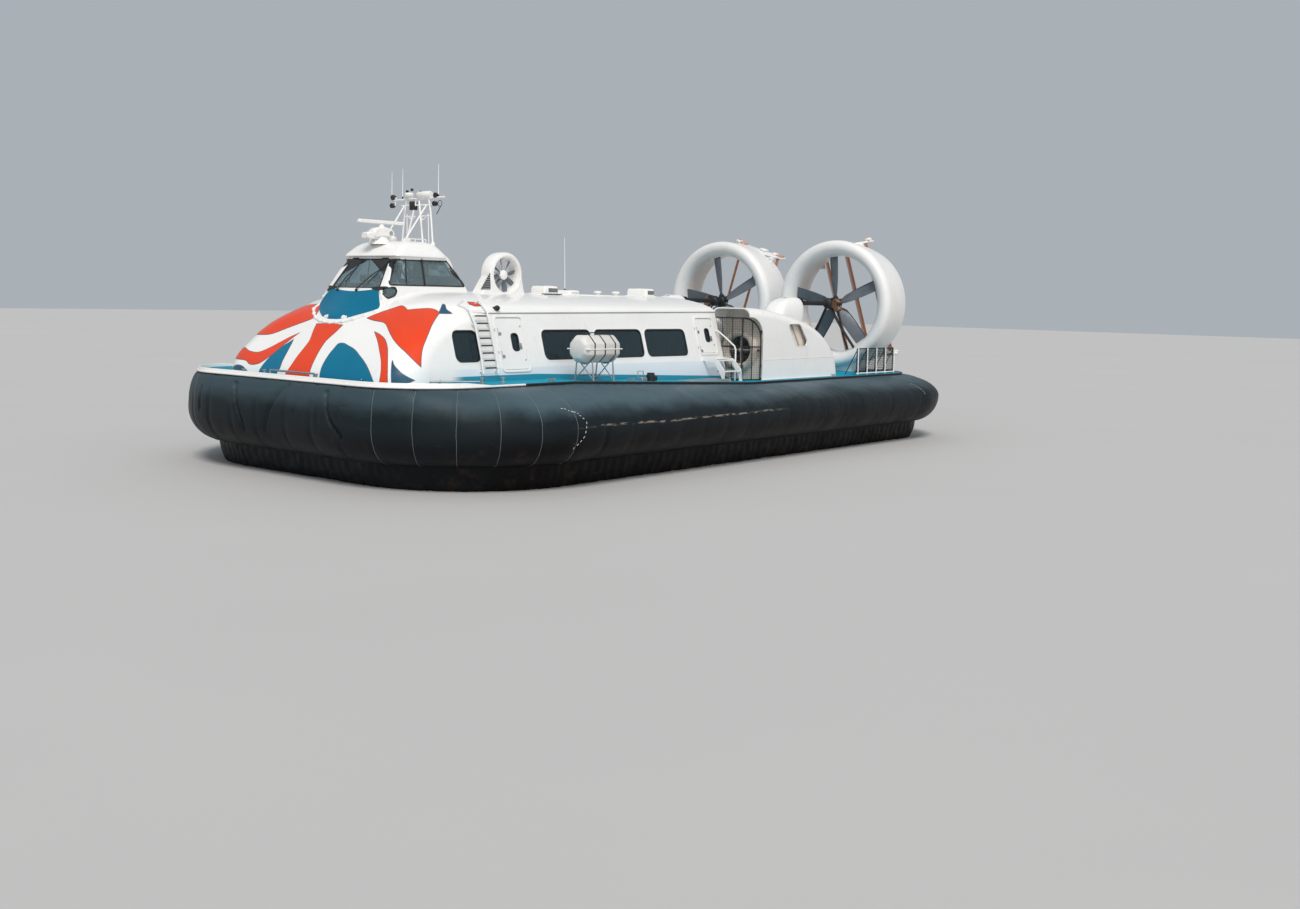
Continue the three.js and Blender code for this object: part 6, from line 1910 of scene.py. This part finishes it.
def makeDucts():
    y, z = duct["y"], duct["z"]
    seat = centredX(y, z)
    shape = Shape().turned(ductProfile, duct["sides"], seat, closed=True)
    # foot under the shroud
    foot = rounded([(y - 0.7, 2.0), (y + 0.7, 2.0), (y + 0.82, 2.75), (y - 0.82, 2.75)], 0.06, 4)
    shroud = Shape().turned([(0, -11), (1.99, -11), (2.1, -9.9), (2.12, -9.0), (0, -9.0)], 96, seat)
    underDeck = Shape().slab((-11, 0, 1.0), (-9, 5, 2.0803), 0.001)
    shape.join(carved(Shape().plate(foot, -10.38, -9.36, alongX, 0.03), [shroud, underDeck]))
    # the spars above and below, with their brackets
    spar = Shape()
    outline = [(-10.36, -0.48), (-10.92, -1.07), (-11.17, -1.07), (-11.17, 1.07), (-10.92, 1.07),
        (-10.36, 0.48)]
    outline = rounded(outline, 0.08, 4)
    cups = {1: ((0.1, 0.034), (0.1, 0.045), (0.06, 0.06), (0.0, 0.06)), -1: ((0.1, -0.034), (0.1, -0.04),
        (0.07, -0.05), (0.0, -0.05))}

    # A block that stands on the spar's outer face, or hangs from it
    def block(x0, x1, v0, v1, base, high, edge, finish=0):
        spar.slab((x0, v0, min(base, base + high)), (x1, v1, max(base, base + high)), edge, finish)

    for sign in (1, -1):
        level = duct["spar"] * sign
        spar.plate(outline, level - 0.028, level + 0.028, upright, 0.008)
        for p in (-0.85, 0.0, 0.85):
            spar.turned([(r, level + h) for r, h in cups[sign]], 18, centredZ(-10.95, p))
        for p in (-0.85, 0.85):
            base = level + 0.03 * sign
            block(-11.1, -10.84, p - 0.16, p + 0.05, base, 0.05 * sign, 0.012, 2)
            block(-11.02, -10.8, p + 0.05, p + 0.22, base, 0.09 * sign, 0.015)
            block(-10.7, -10.46, p - 0.03, p + 0.03, level, -0.45 * sign, 0.01)
            spar.tube([(-10.5, p, level - 0.02 * sign), (-10.25, p * 0.92, level - 0.16 * sign)], 0.028)
        for side in (-1, 1):
            spar.tube([(-11.1, side, level + 0.05), (-10.42, side * 0.42, level + 0.05)], 0.014)
    lamp = [(0, 2.01), (0.05, 2.015), (0.05, 2.11), (0.03, 2.15), (0, 2.155)]
    lamps = Shape().turned(lamp, 16, centredZ(-10.86, 0.95), 1)
    lamps.slab((-11.05, -0.3, 2.03), (-10.8, -0.05, 2.11), 0.015)
    shape.join(spar.moved(canted())).join(lamps.moved(canted()))
    makePair("ductShroud", shape, ["ductPaint", "amberLamp", "rudderOrange"], stands=["prop_duct"],
        sharp=50)
    # bearing, its slim dark struts, and a jagged dark block beside the hub
    black = Shape()
    bearing = [(0.0813, -9.058), (0.15, -9.058), (0.17, -9.03), (0.185, -8.96), (0.185, -8.86),
        (0.15, -8.8), (0.12, -8.782), (0.0813, -8.782)]
    black.turned(bearing, 32, seat, closed=True)
    centre = Vector((0, y, z))
    for angle in (240, 300):
        out = Vector((0, cos(radians(angle)), sin(radians(angle))))
        path = [centre + out * r + Vector((x, 0, 0)) for r, x in ((0.13, -8.92), (1.0, -9.05),
            (1.75, -9.27))]
        black.tube(path, 0.03, 10, flat=1.6)
    bracket = ((0.1, 0.12), (0.32, 0.16), (0.46, 0.07), (0.42, -0.08), (0.5, -0.2), (0.34, -0.3),
        (0.2, -0.16), (0.1, -0.12))
    black.plate(rounded([(y + u, z + v) for u, v in bracket], 0.03, 3), -9.04, -8.86, alongX, 0.02, 1)
    for k, (u, v) in enumerate(((0.18, 0.15), (0.3, 0.12), (0.42, -0.02), (0.4, -0.2))):
        black.slab((-9.06, y + u - 0.045, z + v - 0.05), (-8.84, y + u + 0.045, z + v + 0.05), 0.015,
            k % 2)
    rod = ((-8.95, 0.36, -0.2), (-9.0, 0.44, -0.55), (-9.1, 0.52, -1.1), (-9.25, 0.62, -1.55))
    black.tube([(x, y + u, z + v) for x, u, v in rod], 0.035)
    makePair("shaftBearing", black, ["darkMetal", "bronze"])


makeDucts()

# Propellers: broad square-tipped paddles with dark edges, a hub with pitch links, and the long shaft
propeller = dict(x=-9.41, radius=1.612, blades=5, port=94.8, starboard=99.7, shaft=0.08, front=-6.957)
# Blade sections: distance out, half chord, thickness and pitch
bladeRows = [(0.12, 0.055, 0.1, 60), (0.22, 0.07, 0.09, 52), (0.3, 0.15, 0.075, 46),
    (0.4, 0.2, 0.066, 41), (0.75, 0.215, 0.05, 31), (1.1, 0.215, 0.038, 25), (1.4, 0.212, 0.028, 21),
    (1.57, 0.208, 0.022, 19.5), (1.6, 0.204, 0.018, 19), (1.612, 0.195, 0.01, 19)]


def bladeSection(r, chord, thick, pitch):
    a = radians(pitch)
    made = []
    for k in range(20):
        turn = 2 * pi * k / 20
        u = cos(turn)
        half = thick / 2 * (abs(sin(turn)) ** 0.8) * (1 if sin(turn) > 0 else -1) * (1 - 0.25 * u)
        made.append((u * chord * sin(a) + half * cos(a), u * chord * cos(a) - half * sin(a), r))
    return made


def makePropeller(side, sign):
    y, z, x, shaft = duct["y"] * sign, duct["z"], propeller["x"], propeller["shaft"]
    seat = centredX(y, z)
    shape = Shape()
    blade = Shape().sections([bladeSection(*row) for row in bladeRows])
    # the dark leading strip on the outer half
    strip = []
    for r, chord, thick, pitch in bladeRows[3:9]:
        a = radians(pitch)
        row = []
        for u, half in ((0.8, 0.5), (0.93, 0.42), (1.012, 0.0), (0.93, -0.42), (0.8, -0.5), (0.86, 0.0)):
            h = thick * half * 0.62 + (0.003 if half > 0 else -0.003 if half < 0 else 0)
            row.append((-u * chord * sin(a) + h * cos(a), -u * chord * cos(a) - h * sin(a), r))
        strip.append(row)
    blade.sections(strip, 1)
    cuff = [(0.0, 0.1), (0.085, 0.1), (0.085, 0.17), (0.1, 0.175), (0.1, 0.215), (0.07, 0.225),
        (0.062, 0.28), (0.0, 0.28)]
    blade.turned(cuff, 20, upright, 2)
    blade.tube([(-0.02, 0.0, 0.19), (-0.17, 0.055, 0.16)], 0.016, 8, 3)
    blade.slab((-0.035, -0.115, 0.165), (0.03, -0.07, 0.225), 0.008, 3)
    for k in range(propeller["blades"]):
        turn = Matrix.Rotation(radians(propeller[side] - 90 + 72 * k), 4, "X")
        shape.join(blade.moved(Matrix.Translation((x, y, z)) @ turn))
    hub = ((0.0, 0.168), (0.07, 0.165), (0.14, 0.15), (0.175, 0.11), (0.185, 0.06), (0.185, -0.1),
        (0.165, -0.14), (0.13, -0.16), (0.125, -0.22), (0.09, -0.27), (0.05, -0.29), (0.0, -0.295))
    shape.turned([(r, x + h) for r, h in hub], 32, seat, 2)
    front = propeller["front"] + 0.0005
    shape.turned([(0.0, x - 0.1), (shaft, x - 0.1), (shaft, front), (0.0, front)], 32, seat, 1)
    nut = [(0.079, -8.7795), (0.112, -8.7795), (0.115, -8.75), (0.105, -8.74), (0.079, -8.74)]
    shape.turned(nut, 28, seat, 2, closed=True)
    # coupling flange near the fairing
    for place in (-7.12, -7.16):
        flange = [(0.079, place - 0.015), (0.13, place - 0.015), (0.132, place + 0.012),
            (0.079, place + 0.015)]
        shape.turned(flange, 28, seat, 1, closed=True)
    makePiece(f"propellerBlades_{side}", shape, ["bladePaint", "blackRubber", "darkMetal", "steel"],
        f"propeller_{side}", "blade_grey", [f"propeller_{side}"], sharp=40)


for side, sign in sides.items():
    makePropeller(side, sign)

# Rudders: an orange leading post and a paler, worn blade behind it, canted about the duct
rudder = dict(x=-10.95, pitch=0.85, half=1.885, rest=radians(38))


def makeRudders():
    half, out, place = rudder["half"], rudder["pitch"], rudder["x"]
    nose = [(0.19, 0.0), (0.175, 0.022), (0.14, 0.038), (0.075, 0.045), (0.0, 0.044)]
    tail = [(0.0, 0.042), (-0.12, 0.036), (-0.3, 0.022), (-0.5, 0.007), (-0.538, 0.004)]
    nose += [(u, -v) for u, v in nose[:0:-1]]
    tail += [(u, -v) for u, v in tail[::-1]]
    post = Shape().plate(nose, -half, half, upright, 0.006)
    post.plate(tail, -half + 0.01, half - 0.01, upright, 0.004, 1)
    for k in range(-3, 4):
        z = k * 0.55
        rib = [(0.1, 0.047), (-0.5, 0.012), (-0.5, -0.012), (0.1, -0.047)]
        post.plate(rib, z - 0.014, z + 0.014, upright, 0.003, 1)
    post.tube([(0, 0, -1.9595), (0, 0, 1.9595)], 0.027, 16, 2)
    for sign in (-1, 1):
        cap = ((0.0, 0), (0.06, 0), (0.06, 0.02), (0.04, 0.03), (0.0, 0.03))
        post.turned([(r, half * sign + h * sign) for r, h in cap], 16, upright, 2)
    for side, sign in sides.items():
        for where, step in (("outer", 1), ("middle", 0), ("inner", -1)):
            seat = canted(sign) @ Matrix.Translation((place, sign * step * out, 0)) @ Matrix.Rotation(
                rudder["rest"], 4, "Z")
            node = f"rudder_{side}_{where}"
            makePiece(f"rudderBlade_{side}_{where}", post.moved(seat),
                ["rudderOrange", "rudderTail", "steel"], node, stands=[node], sharp=30)


makeRudders()
print("ducts, propellers and rudders")


# Rail round the deck edge: a slim white rail at the bow, rubber further aft, over a black strip that is a
# painted shadow line
rim = dict(grow=0.026, rail=0.027, whiteFrom=8.2, step=0.12, coamingFrom=9.2, coaming=0.085)


def makeRim():
    made = [squareTo(part, t, "gunwale", rim["grow"]) for part, t, _ in halfRound(rim["step"])[0]]
    path = made + [Vector((p.x, -p.y)) for p in made[1:-1][::-1]]
    count, r = len(path), rim["rail"]
    outs = []
    for i, p in enumerate(path):
        ahead = (path[(i + 1) % count] - path[i - 1]).normalized()
        out = Vector((ahead.y, -ahead.x))
        outs.append(out if out.dot(p) >= 0 else -out)

    # Rows of (distance out, height) beside each place on the path
    def along(places, profile):
        return [[(path[i].x + outs[i].x * w, path[i].y + outs[i].y * w, z + h) for w,
            h in profile(path[i])] for i in places for z in [deckZ(path[i].x)]]

    rows = []
    for p, out in zip(path, outs):
        z = deckZ(p.x) - 0.012
        turns = np.linspace(0, 2 * pi, 11)[:-1]
        rows.append([(p.x + out.x * r * cos(a), p.y + out.y * r * cos(a), z + r * 1.05 * sin(a))
            for a in turns])
    rail = Shape()
    for k in range(count):
        after = (k + 1) % count
        white = (path[k].x + path[after].x) / 2 > rim["whiteFrom"]
        rail.sections([rows[k], rows[after]], 0 if white else 1, caps=False)
    welded = meshObject("rim", rail)
    with reworked(welded.data) as work:
        bmesh.ops.remove_doubles(work, verts=work.verts, dist=0.0001)
    dressed(welded, ["whitePaint", "blackRubber"], slot="black_rubber", stands=["gunwale_rim"], sharp=60)
    # the black strip under the rail is its painted shadow line
    under = ((-0.028, -0.017), (0.012, -0.02), (0.018, -0.032), (0.018, -0.052), (0.01, -0.055),
        (-0.028, -0.055))
    strip = Shape().sections(along(range(count), lambda p: under), along=True)
    makePiece("rimStrip", strip, "blackRubber", slot="black_rubber", sharp=50)

    # a low white coaming round the bow, inside the rail, that rises from nothing
    def ridge(p):
        high = rim["coaming"] * min(1.0, 0.15 + (p.x - rim["coamingFrom"]) / 0.9)
        return ((-0.02, -0.012), (-0.026, high * 0.85), (-0.034, high), (-0.056, high),
            (-0.064, high * 0.85), (-0.07, -0.012))

    bow = [i % count for i in range(count // 2, count // 2 + count)
        if path[i % count].x >= rim["coamingFrom"]]
    makePiece("bowCoaming", Shape().sections(along(bow, ridge)), "whitePaint", sharp=50)


makeRim()

# Life raft canisters: a faceted barrel with a split flange, bands, a dish below and V struts
raft = dict(rear=4.62, front=5.99, y=4.33, z=3.125, radius=0.368)


def makeRaft():
    y, z, r, rear, front = raft["y"], raft["z"], raft["radius"], raft["rear"], raft["front"]
    shape = Shape()
    rows = []
    for x, size in ((rear, 0.6), (rear + 0.02, 0.72), (rear + 0.1, 0.93), (rear + 0.16, 1.0),
            (front - 0.16, 1.0), (front - 0.1, 0.93), (front - 0.02, 0.72), (front, 0.6)):
        ring = []
        for k in range(8):
            corner, after = pi / 8 + pi / 4 * k, pi / 8 + pi / 4 * (k + 1)
            for f in (0.0, 0.12, 0.5, 0.88):
                a = corner + (after - corner) * f
                face = cos(pi / 8) / cos(a - (corner + after) / 2)
                reach = face if 0.1 < f < 0.9 else face * 0.985
                ring.append((x, y + cos(a) * r * size * reach, z + sin(a) * r * size * reach))
        rows.append(ring)
    shape.sections(rows)
    shape.slab((rear + 0.03, y - r * 0.955, z - 0.014), (front - 0.03, y + r * 0.955, z + 0.014), 0.008,
        1)
    turns = np.linspace(pi / 8, pi * 2 + pi / 8, 9)[:-1]
    for x in (rear + 0.3, (rear + front) / 2, front - 0.3):
        band = [[(x + w, y + cos(a) * r * 1.005, z + sin(a) * r * 1.005) for a in turns]
            for w in (-0.022, 0.022)]
        shape.sections(band, 2)
    makePair("liferaftCase", shape, ["raftPlastic", "whitePaint", "blackRubber"], stands=["liferaft"],
        sharp=28)
    legs = Shape()
    turns = np.linspace(radians(205), radians(335), 9)
    for x in (rear + 0.3, front - 0.3):
        floor = deckZ(x)
        legs.tube([(x, y + cos(a) * (r * 0.99), z + sin(a) * (r * 0.99)) for a in turns], 0.018, flat=1.8)
        for side in (-1, 1):
            foot = y + side * 0.31
            legs.tube([(x, y + side * 0.25, z - 0.24), (x, foot, floor + 0.006)], 0.02)
            legs.tube([(x, foot, floor + 0.03), (x, y - side * 0.22, z - 0.27)], 0.014)
            legs.slab((x - 0.06, foot - 0.05, floor), (x + 0.06, foot + 0.05, floor + 0.012), 0.003)
    for side in (-1, 1):
        legs.tube([(rear + 0.3, y + side * 0.3, 2.46), (front - 0.3, y + side * 0.3, 2.46)], 0.014)
    makePair("liferaftFrame", legs, "steel")
    strap = [(rear + 0.22, y, z + r * 0.95), (rear + 0.22, y, z + r + 0.03),
        (front - 0.22, y, z + r + 0.03), (front - 0.22, y, z + r * 0.95)]
    makePair("liferaftStrap", Shape().tube(strap, 0.015), "blackRubber")


makeRaft()

# Roof ladder and the steps below the aft hatch
ladder = dict(rear=7.93, front=8.42, stand=0.13, foot=2.54, tube=0.021, rungs=8)


# The wall's face behind the ladder, taken aft of the bow window
def wallY(x, z):
    return landed(cabinTree, castSide, (min(x, 8.25), z))[0].y


def makeLadder():
    shape, marks = Shape(), Shape()
    rear, front, stand = ladder["rear"], ladder["front"], ladder["stand"]
    for x in (rear, front):
        path = [(x, wallY(x, 2.6) + stand, ladder["foot"])]
        path += [(x, wallY(x, z) + stand, z) for z in (2.9, 3.3, 3.7, 3.98)]
        shape.tube(path + [(x, 3.03, 4.17), (x, 2.9, 4.26), (x, 2.65, 4.115)], ladder["tube"], 10)
        for z in (2.6, 3.7):
            y = wallY(x, z)
            shape.tube([(x, y - 0.01, z), (x, y + stand, z)], 0.015)
            shape.slab((x - 0.04, y - 0.005, z - 0.04), (x + 0.04, y + 0.008, z + 0.04), 0.003)
    for z in [2.68 + (3.9 - 2.68) * k / (ladder["rungs"] - 1) for k in range(ladder["rungs"])]:
        y = wallY(8.2, z) + stand
        shape.tube([(rear, y, z), (front, y, z)], 0.016)
        marks.tube([(rear + 0.06, y, z), (front - 0.06, y, z)], 0.0175)
    makePiece("roofLadder", shape, "whitePaint", slot="aluminium", stands=["roof_ladder"])
    makePiece("ladderGrips", marks, "blackRubber", slot="black_rubber")


makeLadder()
stepSet = dict(rear=-1.24, front=-0.42, treads=((2.7, 3.78), (2.4, 4.06)), deep=0.29, rail=(-1.3, 3.965))


def makeSteps():
    shape, grating = Shape(), Shape()
    rear, front, deep = stepSet["rear"], stepSet["front"], stepSet["deep"]
    for z, y in stepSet["treads"]:
        y0, y1 = y - deep / 2, y + deep / 2
        shape.slab((rear, y0, z - 0.04), (front, y0 + 0.015, z), 0.004)
        shape.slab((rear, y1 - 0.015, z - 0.04), (front, y1, z + 0.002), 0.004)
        for k in range(14):
            x = rear + 0.03 + (front - rear - 0.06) * (k + 0.5) / 14
            grating.slab((x - 0.003, y0 + 0.01, z - 0.03), (x + 0.003, y1 - 0.01, z - 0.004), 0.001)
        for k in range(1, 5):
            u = y0 + (y1 - y0) * k / 5
            grating.slab((rear + 0.02, u - 0.003, z - 0.025), (front - 0.02, u + 0.003, z - 0.003), 0.001)
    # slanting side plates that carry both treads, their feet, and the handrail
    side = [(3.4, 2.76), (3.92, 2.73), (4.22, 2.42), (4.24, 2.12), (4.17, 2.12), (4.06, 2.33),
        (3.86, 2.62), (3.4, 2.66)]
    for x in (rear - 0.018, front):
        shape.plate(rounded(side, 0.03, 3), x, x + 0.018, alongX, 0.003)
        shape.slab((x, 4.15, deckZ(x) + 0.002), (x + 0.03, 4.26, 2.14), 0.003)
    x, y = stepSet["rail"]
    rail = ((3.18, 3.5), (3.32, 3.5), (3.62, 3.3), (3.92, 3.08), (y, 2.98), (y, deckZ(x) + 0.004))
    shape.tube([(x, u, z) for u, z in rail], 0.024, 10)
    shape.tube([(x, y, 2.55), (-1.24, 3.95, 2.55)], 0.016)
    makePair("boardingSteps", shape, "whitePaint", slot="aluminium", stands=["boarding_steps"])
    makePair("stepGrating", grating, "darkMetal")


makeSteps()

# The cage along the side deck by the propellers: mesh on a dark frame, white stanchions and bottom rail
cage = dict(front=-7.5, rear=-9.9, y=4.42, low=2.16, top=2.93, mesh=0.06, wire=0.005)


def makeCage():
    dark, white, mesh = Shape(), Shape(), Shape()
    front, rear, y, low, top, gap, wire = cage.values()
    for z in (low + 0.03, top):
        dark.tube([(front, y, z), (rear, y, z)], 0.019)
    for k in range(5):
        x = front + (rear - front) * k / 4
        floor = deckZ(x)
        dark.tube([(x, y, low), (x, y, top)], 0.017)
        white.tube([(x - 0.03, y + 0.035, floor + 0.004), (x - 0.03, y + 0.035, top + 0.02)], 0.019)
        dark.tube([(x, y, top - 0.05), (x, y - 0.42, floor + 0.006)], 0.014)
    white.tube([(front + 0.05, y + 0.035, low - 0.03), (rear - 0.05, y + 0.035, low - 0.03)], 0.022)
    x = front
    while x > rear:
        mesh.slab((x - wire, y - wire, low), (x + wire, y + wire, top), 0.0006)
        x -= gap
    z = low
    while z < top:
        mesh.slab((rear, y - wire, z - wire), (front, y + wire, z + wire), 0.0006)
        z += gap
    makePair("cageFrame", dark, "darkMetal")
    makePair("cagePosts", white, "whitePaint", slot="aluminium")
    makePair("cageMesh", mesh, "darkMetal")


makeCage()


# Small gear on the deck: cleats, fairleads, a bollard, a bar at the bow, hatches and a grating
def cleat(shape, x, y, turn):
    seat = Matrix.Translation((x, y, deckZ(x))) @ Matrix.Rotation(turn, 4, "Z")

    def at(*place):
        return seat @ Vector(place)

    for u in (-0.05, 0.05):
        shape.tube([at(u, 0, 0.0), at(u, 0, 0.06)], 0.018)
    horn = [at(-0.15, 0, 0.075), at(-0.08, 0, 0.062), at(0.08, 0, 0.062), at(0.15, 0, 0.075)]
    shape.tube(horn, [0.012, 0.019, 0.019, 0.012])
    base = rectangle(-0.09, 0.09, -0.035, 0.035)
    shape.sections([[at(u, v, w) for u, v in base] for w in (0.003, 0.015)])


def makeDeckGear():
    gear, black, grid = Shape(), Shape(), Shape()
    cleats = ((10.9, 2.2, 0.9), (9.8, 3.6, 0.7), (7.0, 4.45, 0.0), (4.0, 4.45, 0.0), (-0.1, 4.5, 0.0),
        (-5.9, 4.52, 0.0), (-10.3, 4.2, 0.3))
    fairlead = ((0, 0), (0.06, 0), (0.06, 0.03), (0.03, 0.05), (0.03, 0.11), (0.05, 0.12), (0.05, 0.14),
        (0, 0.145))
    bollard = ((0, 0), (0.12, 0), (0.12, 0.16), (0.1, 0.18), (0.1, 0.22), (0, 0.225))
    lid = ((0, 0), (0.16, 0), (0.16, 0.02), (0.12, 0.028), (0, 0.03))

    # A turned fitting that stands on the deck
    def stand(shape, profile, sides, x, y):
        z = deckZ(x)
        shape.turned([(r, z + h) for r, h in profile], sides, centredZ(x, y))

    for side in (1, -1):
        for x, y, turn in cleats:
            cleat(gear, x, y * side, turn * side)
        for x, y in ((11.25, 1.0), (8.9, 4.05), (8.4, 4.22)):
            stand(gear, fairlead, 14, x, y * side)
        gear.tube([(10.1, 3.62 * side, deckZ(10) + 0.06), (9.1, 4.18 * side, deckZ(9) + 0.06)], 0.022)
        for x, y in ((10.1, 3.62), (9.6, 3.9), (9.1, 4.18)):
            gear.tube([(x, y * side, deckZ(x) + 0.003), (x, y * side, deckZ(x) + 0.07)], 0.016)
        stand(black, bollard, 18, 2.9, 4.2 * side)
        z, y = deckZ(2.9), 4.02 * side
        black.slab((2.55, 4.08 * side - 0.08, z), (2.72, 4.08 * side + 0.08, z + 0.12), 0.015)
        gear.slab((3.08, 4.15 * side - 0.09, z), (3.3, 4.15 * side + 0.09, z + 0.1), 0.015)
        gear.tube([(3.0, y, z + 0.004), (3.0, y, z + 0.26), (3.22, y, z + 0.26), (3.22, y, z + 0.004)],
            0.013)
        for x in (-6.9, -7.2):
            stand(gear, lid, 24, x, 3.6 * side)
    z = deckZ(11)
    gear.tube([(11.2, -0.85, z + 0.13), (11.2, 0.85, z + 0.13)], 0.024)
    for y in (-0.85, 0.85):
        gear.tube([(11.2, y, z + 0.003), (11.2, y, z + 0.14)], 0.02)
    makePiece("deckGear", gear, "steel")
    makePiece("deckGearBlack", black, "blackRubber")
    for side in (1, -1):
        for k in range(22):
            x = -0.6 + 0.09 * k
            z = deckZ(x + 0.03)
            grid.slab((x, 4.1 * side - 0.2, z + 0.002), (x + 0.012, 4.1 * side + 0.2, z + 0.016), 0.002)
        for y in (3.9 * side, 4.3 * side):
            grid.slab((-0.62, y - 0.012, deckZ(-0.6) + 0.001),
                (-0.62 + 1.95, y + 0.012, deckZ(1.3) + 0.018), 0.003)
    makePiece("deckGrating", grid, "greyPlastic", slot="aluminium")
    aft = Shape()
    for y in (-1.3, 0.0, 1.3):
        aft.slab((-8.6, y - 0.36, 2.083), (-7.9, y + 0.36, 2.105), 0.01)
        aft.tube([(-8.35, y + u, z) for u, z in ((-0.12, 2.104), (-0.12, 2.14), (0.12, 2.14),
            (0.12, 2.104))], 0.01)
    makePiece("aftDeckHatches", aft, "whitePaint")


makeDeckGear()

# Aft house: its doors and louvres
house = dict(rear=-5.1, doors=(-1.35, 1.35), louvres=(-2.3, 0.0, 2.3))


def makeHouse():
    softened("aftHouse", "aft_house", "cabinPaint", 0.09, segments=4, sharp=50)
    shape, dark, rear = Shape(), Shape(), house["rear"]
    for y in house["doors"]:
        door = rounded(rectangle(y - 0.38, y + 0.38, 2.14, 3.18), 0.09, 4)
        shape.plate(door, rear - 0.022, rear + 0.02, alongX, 0.006)
        for z in (2.35, 2.98):
            shape.tube([(rear - 0.03, y + 0.39, z - 0.06), (rear - 0.03, y + 0.39, z + 0.06)], 0.014)
        dark.tube([(rear - 0.03, y - 0.28, 2.66), (rear - 0.05, y - 0.28, 2.66),
            (rear - 0.05, y - 0.16, 2.66)], 0.01)
    for y in house["louvres"]:
        # a dark plate behind each set of slats, painted shade inside the louvre
        dark.slab((rear - 0.008, y - 0.28, 2.55), (rear + 0.02, y + 0.28, 3.05), 0.004)
        for k in range(9):
            z = 2.58 + 0.05 * k
            shape.slab((rear - 0.028, y - 0.26, z), (rear - 0.006, y + 0.26, z + 0.02), 0.003,
                turn=Matrix.Rotation(0.5, 3, "Y"))
    makePiece("houseDoors", shape, "whitePaint")
    makePiece("houseLouvres", dark, "darkMetal")


makeHouse()

# Softened copies of the hull raft, the landing skids and the engines, with their finishes
softened("hullRaft", "hull_raft", "deckPaint", 0.01, sharp=30)
softened("landingSkids", "landing_skids", "darkMetal", 0.02)
for side in sides:
    softened(f"engineBlock_{side}", f"engine_{side}", "darkMetal", 0.03, segments=3)
print("deck")
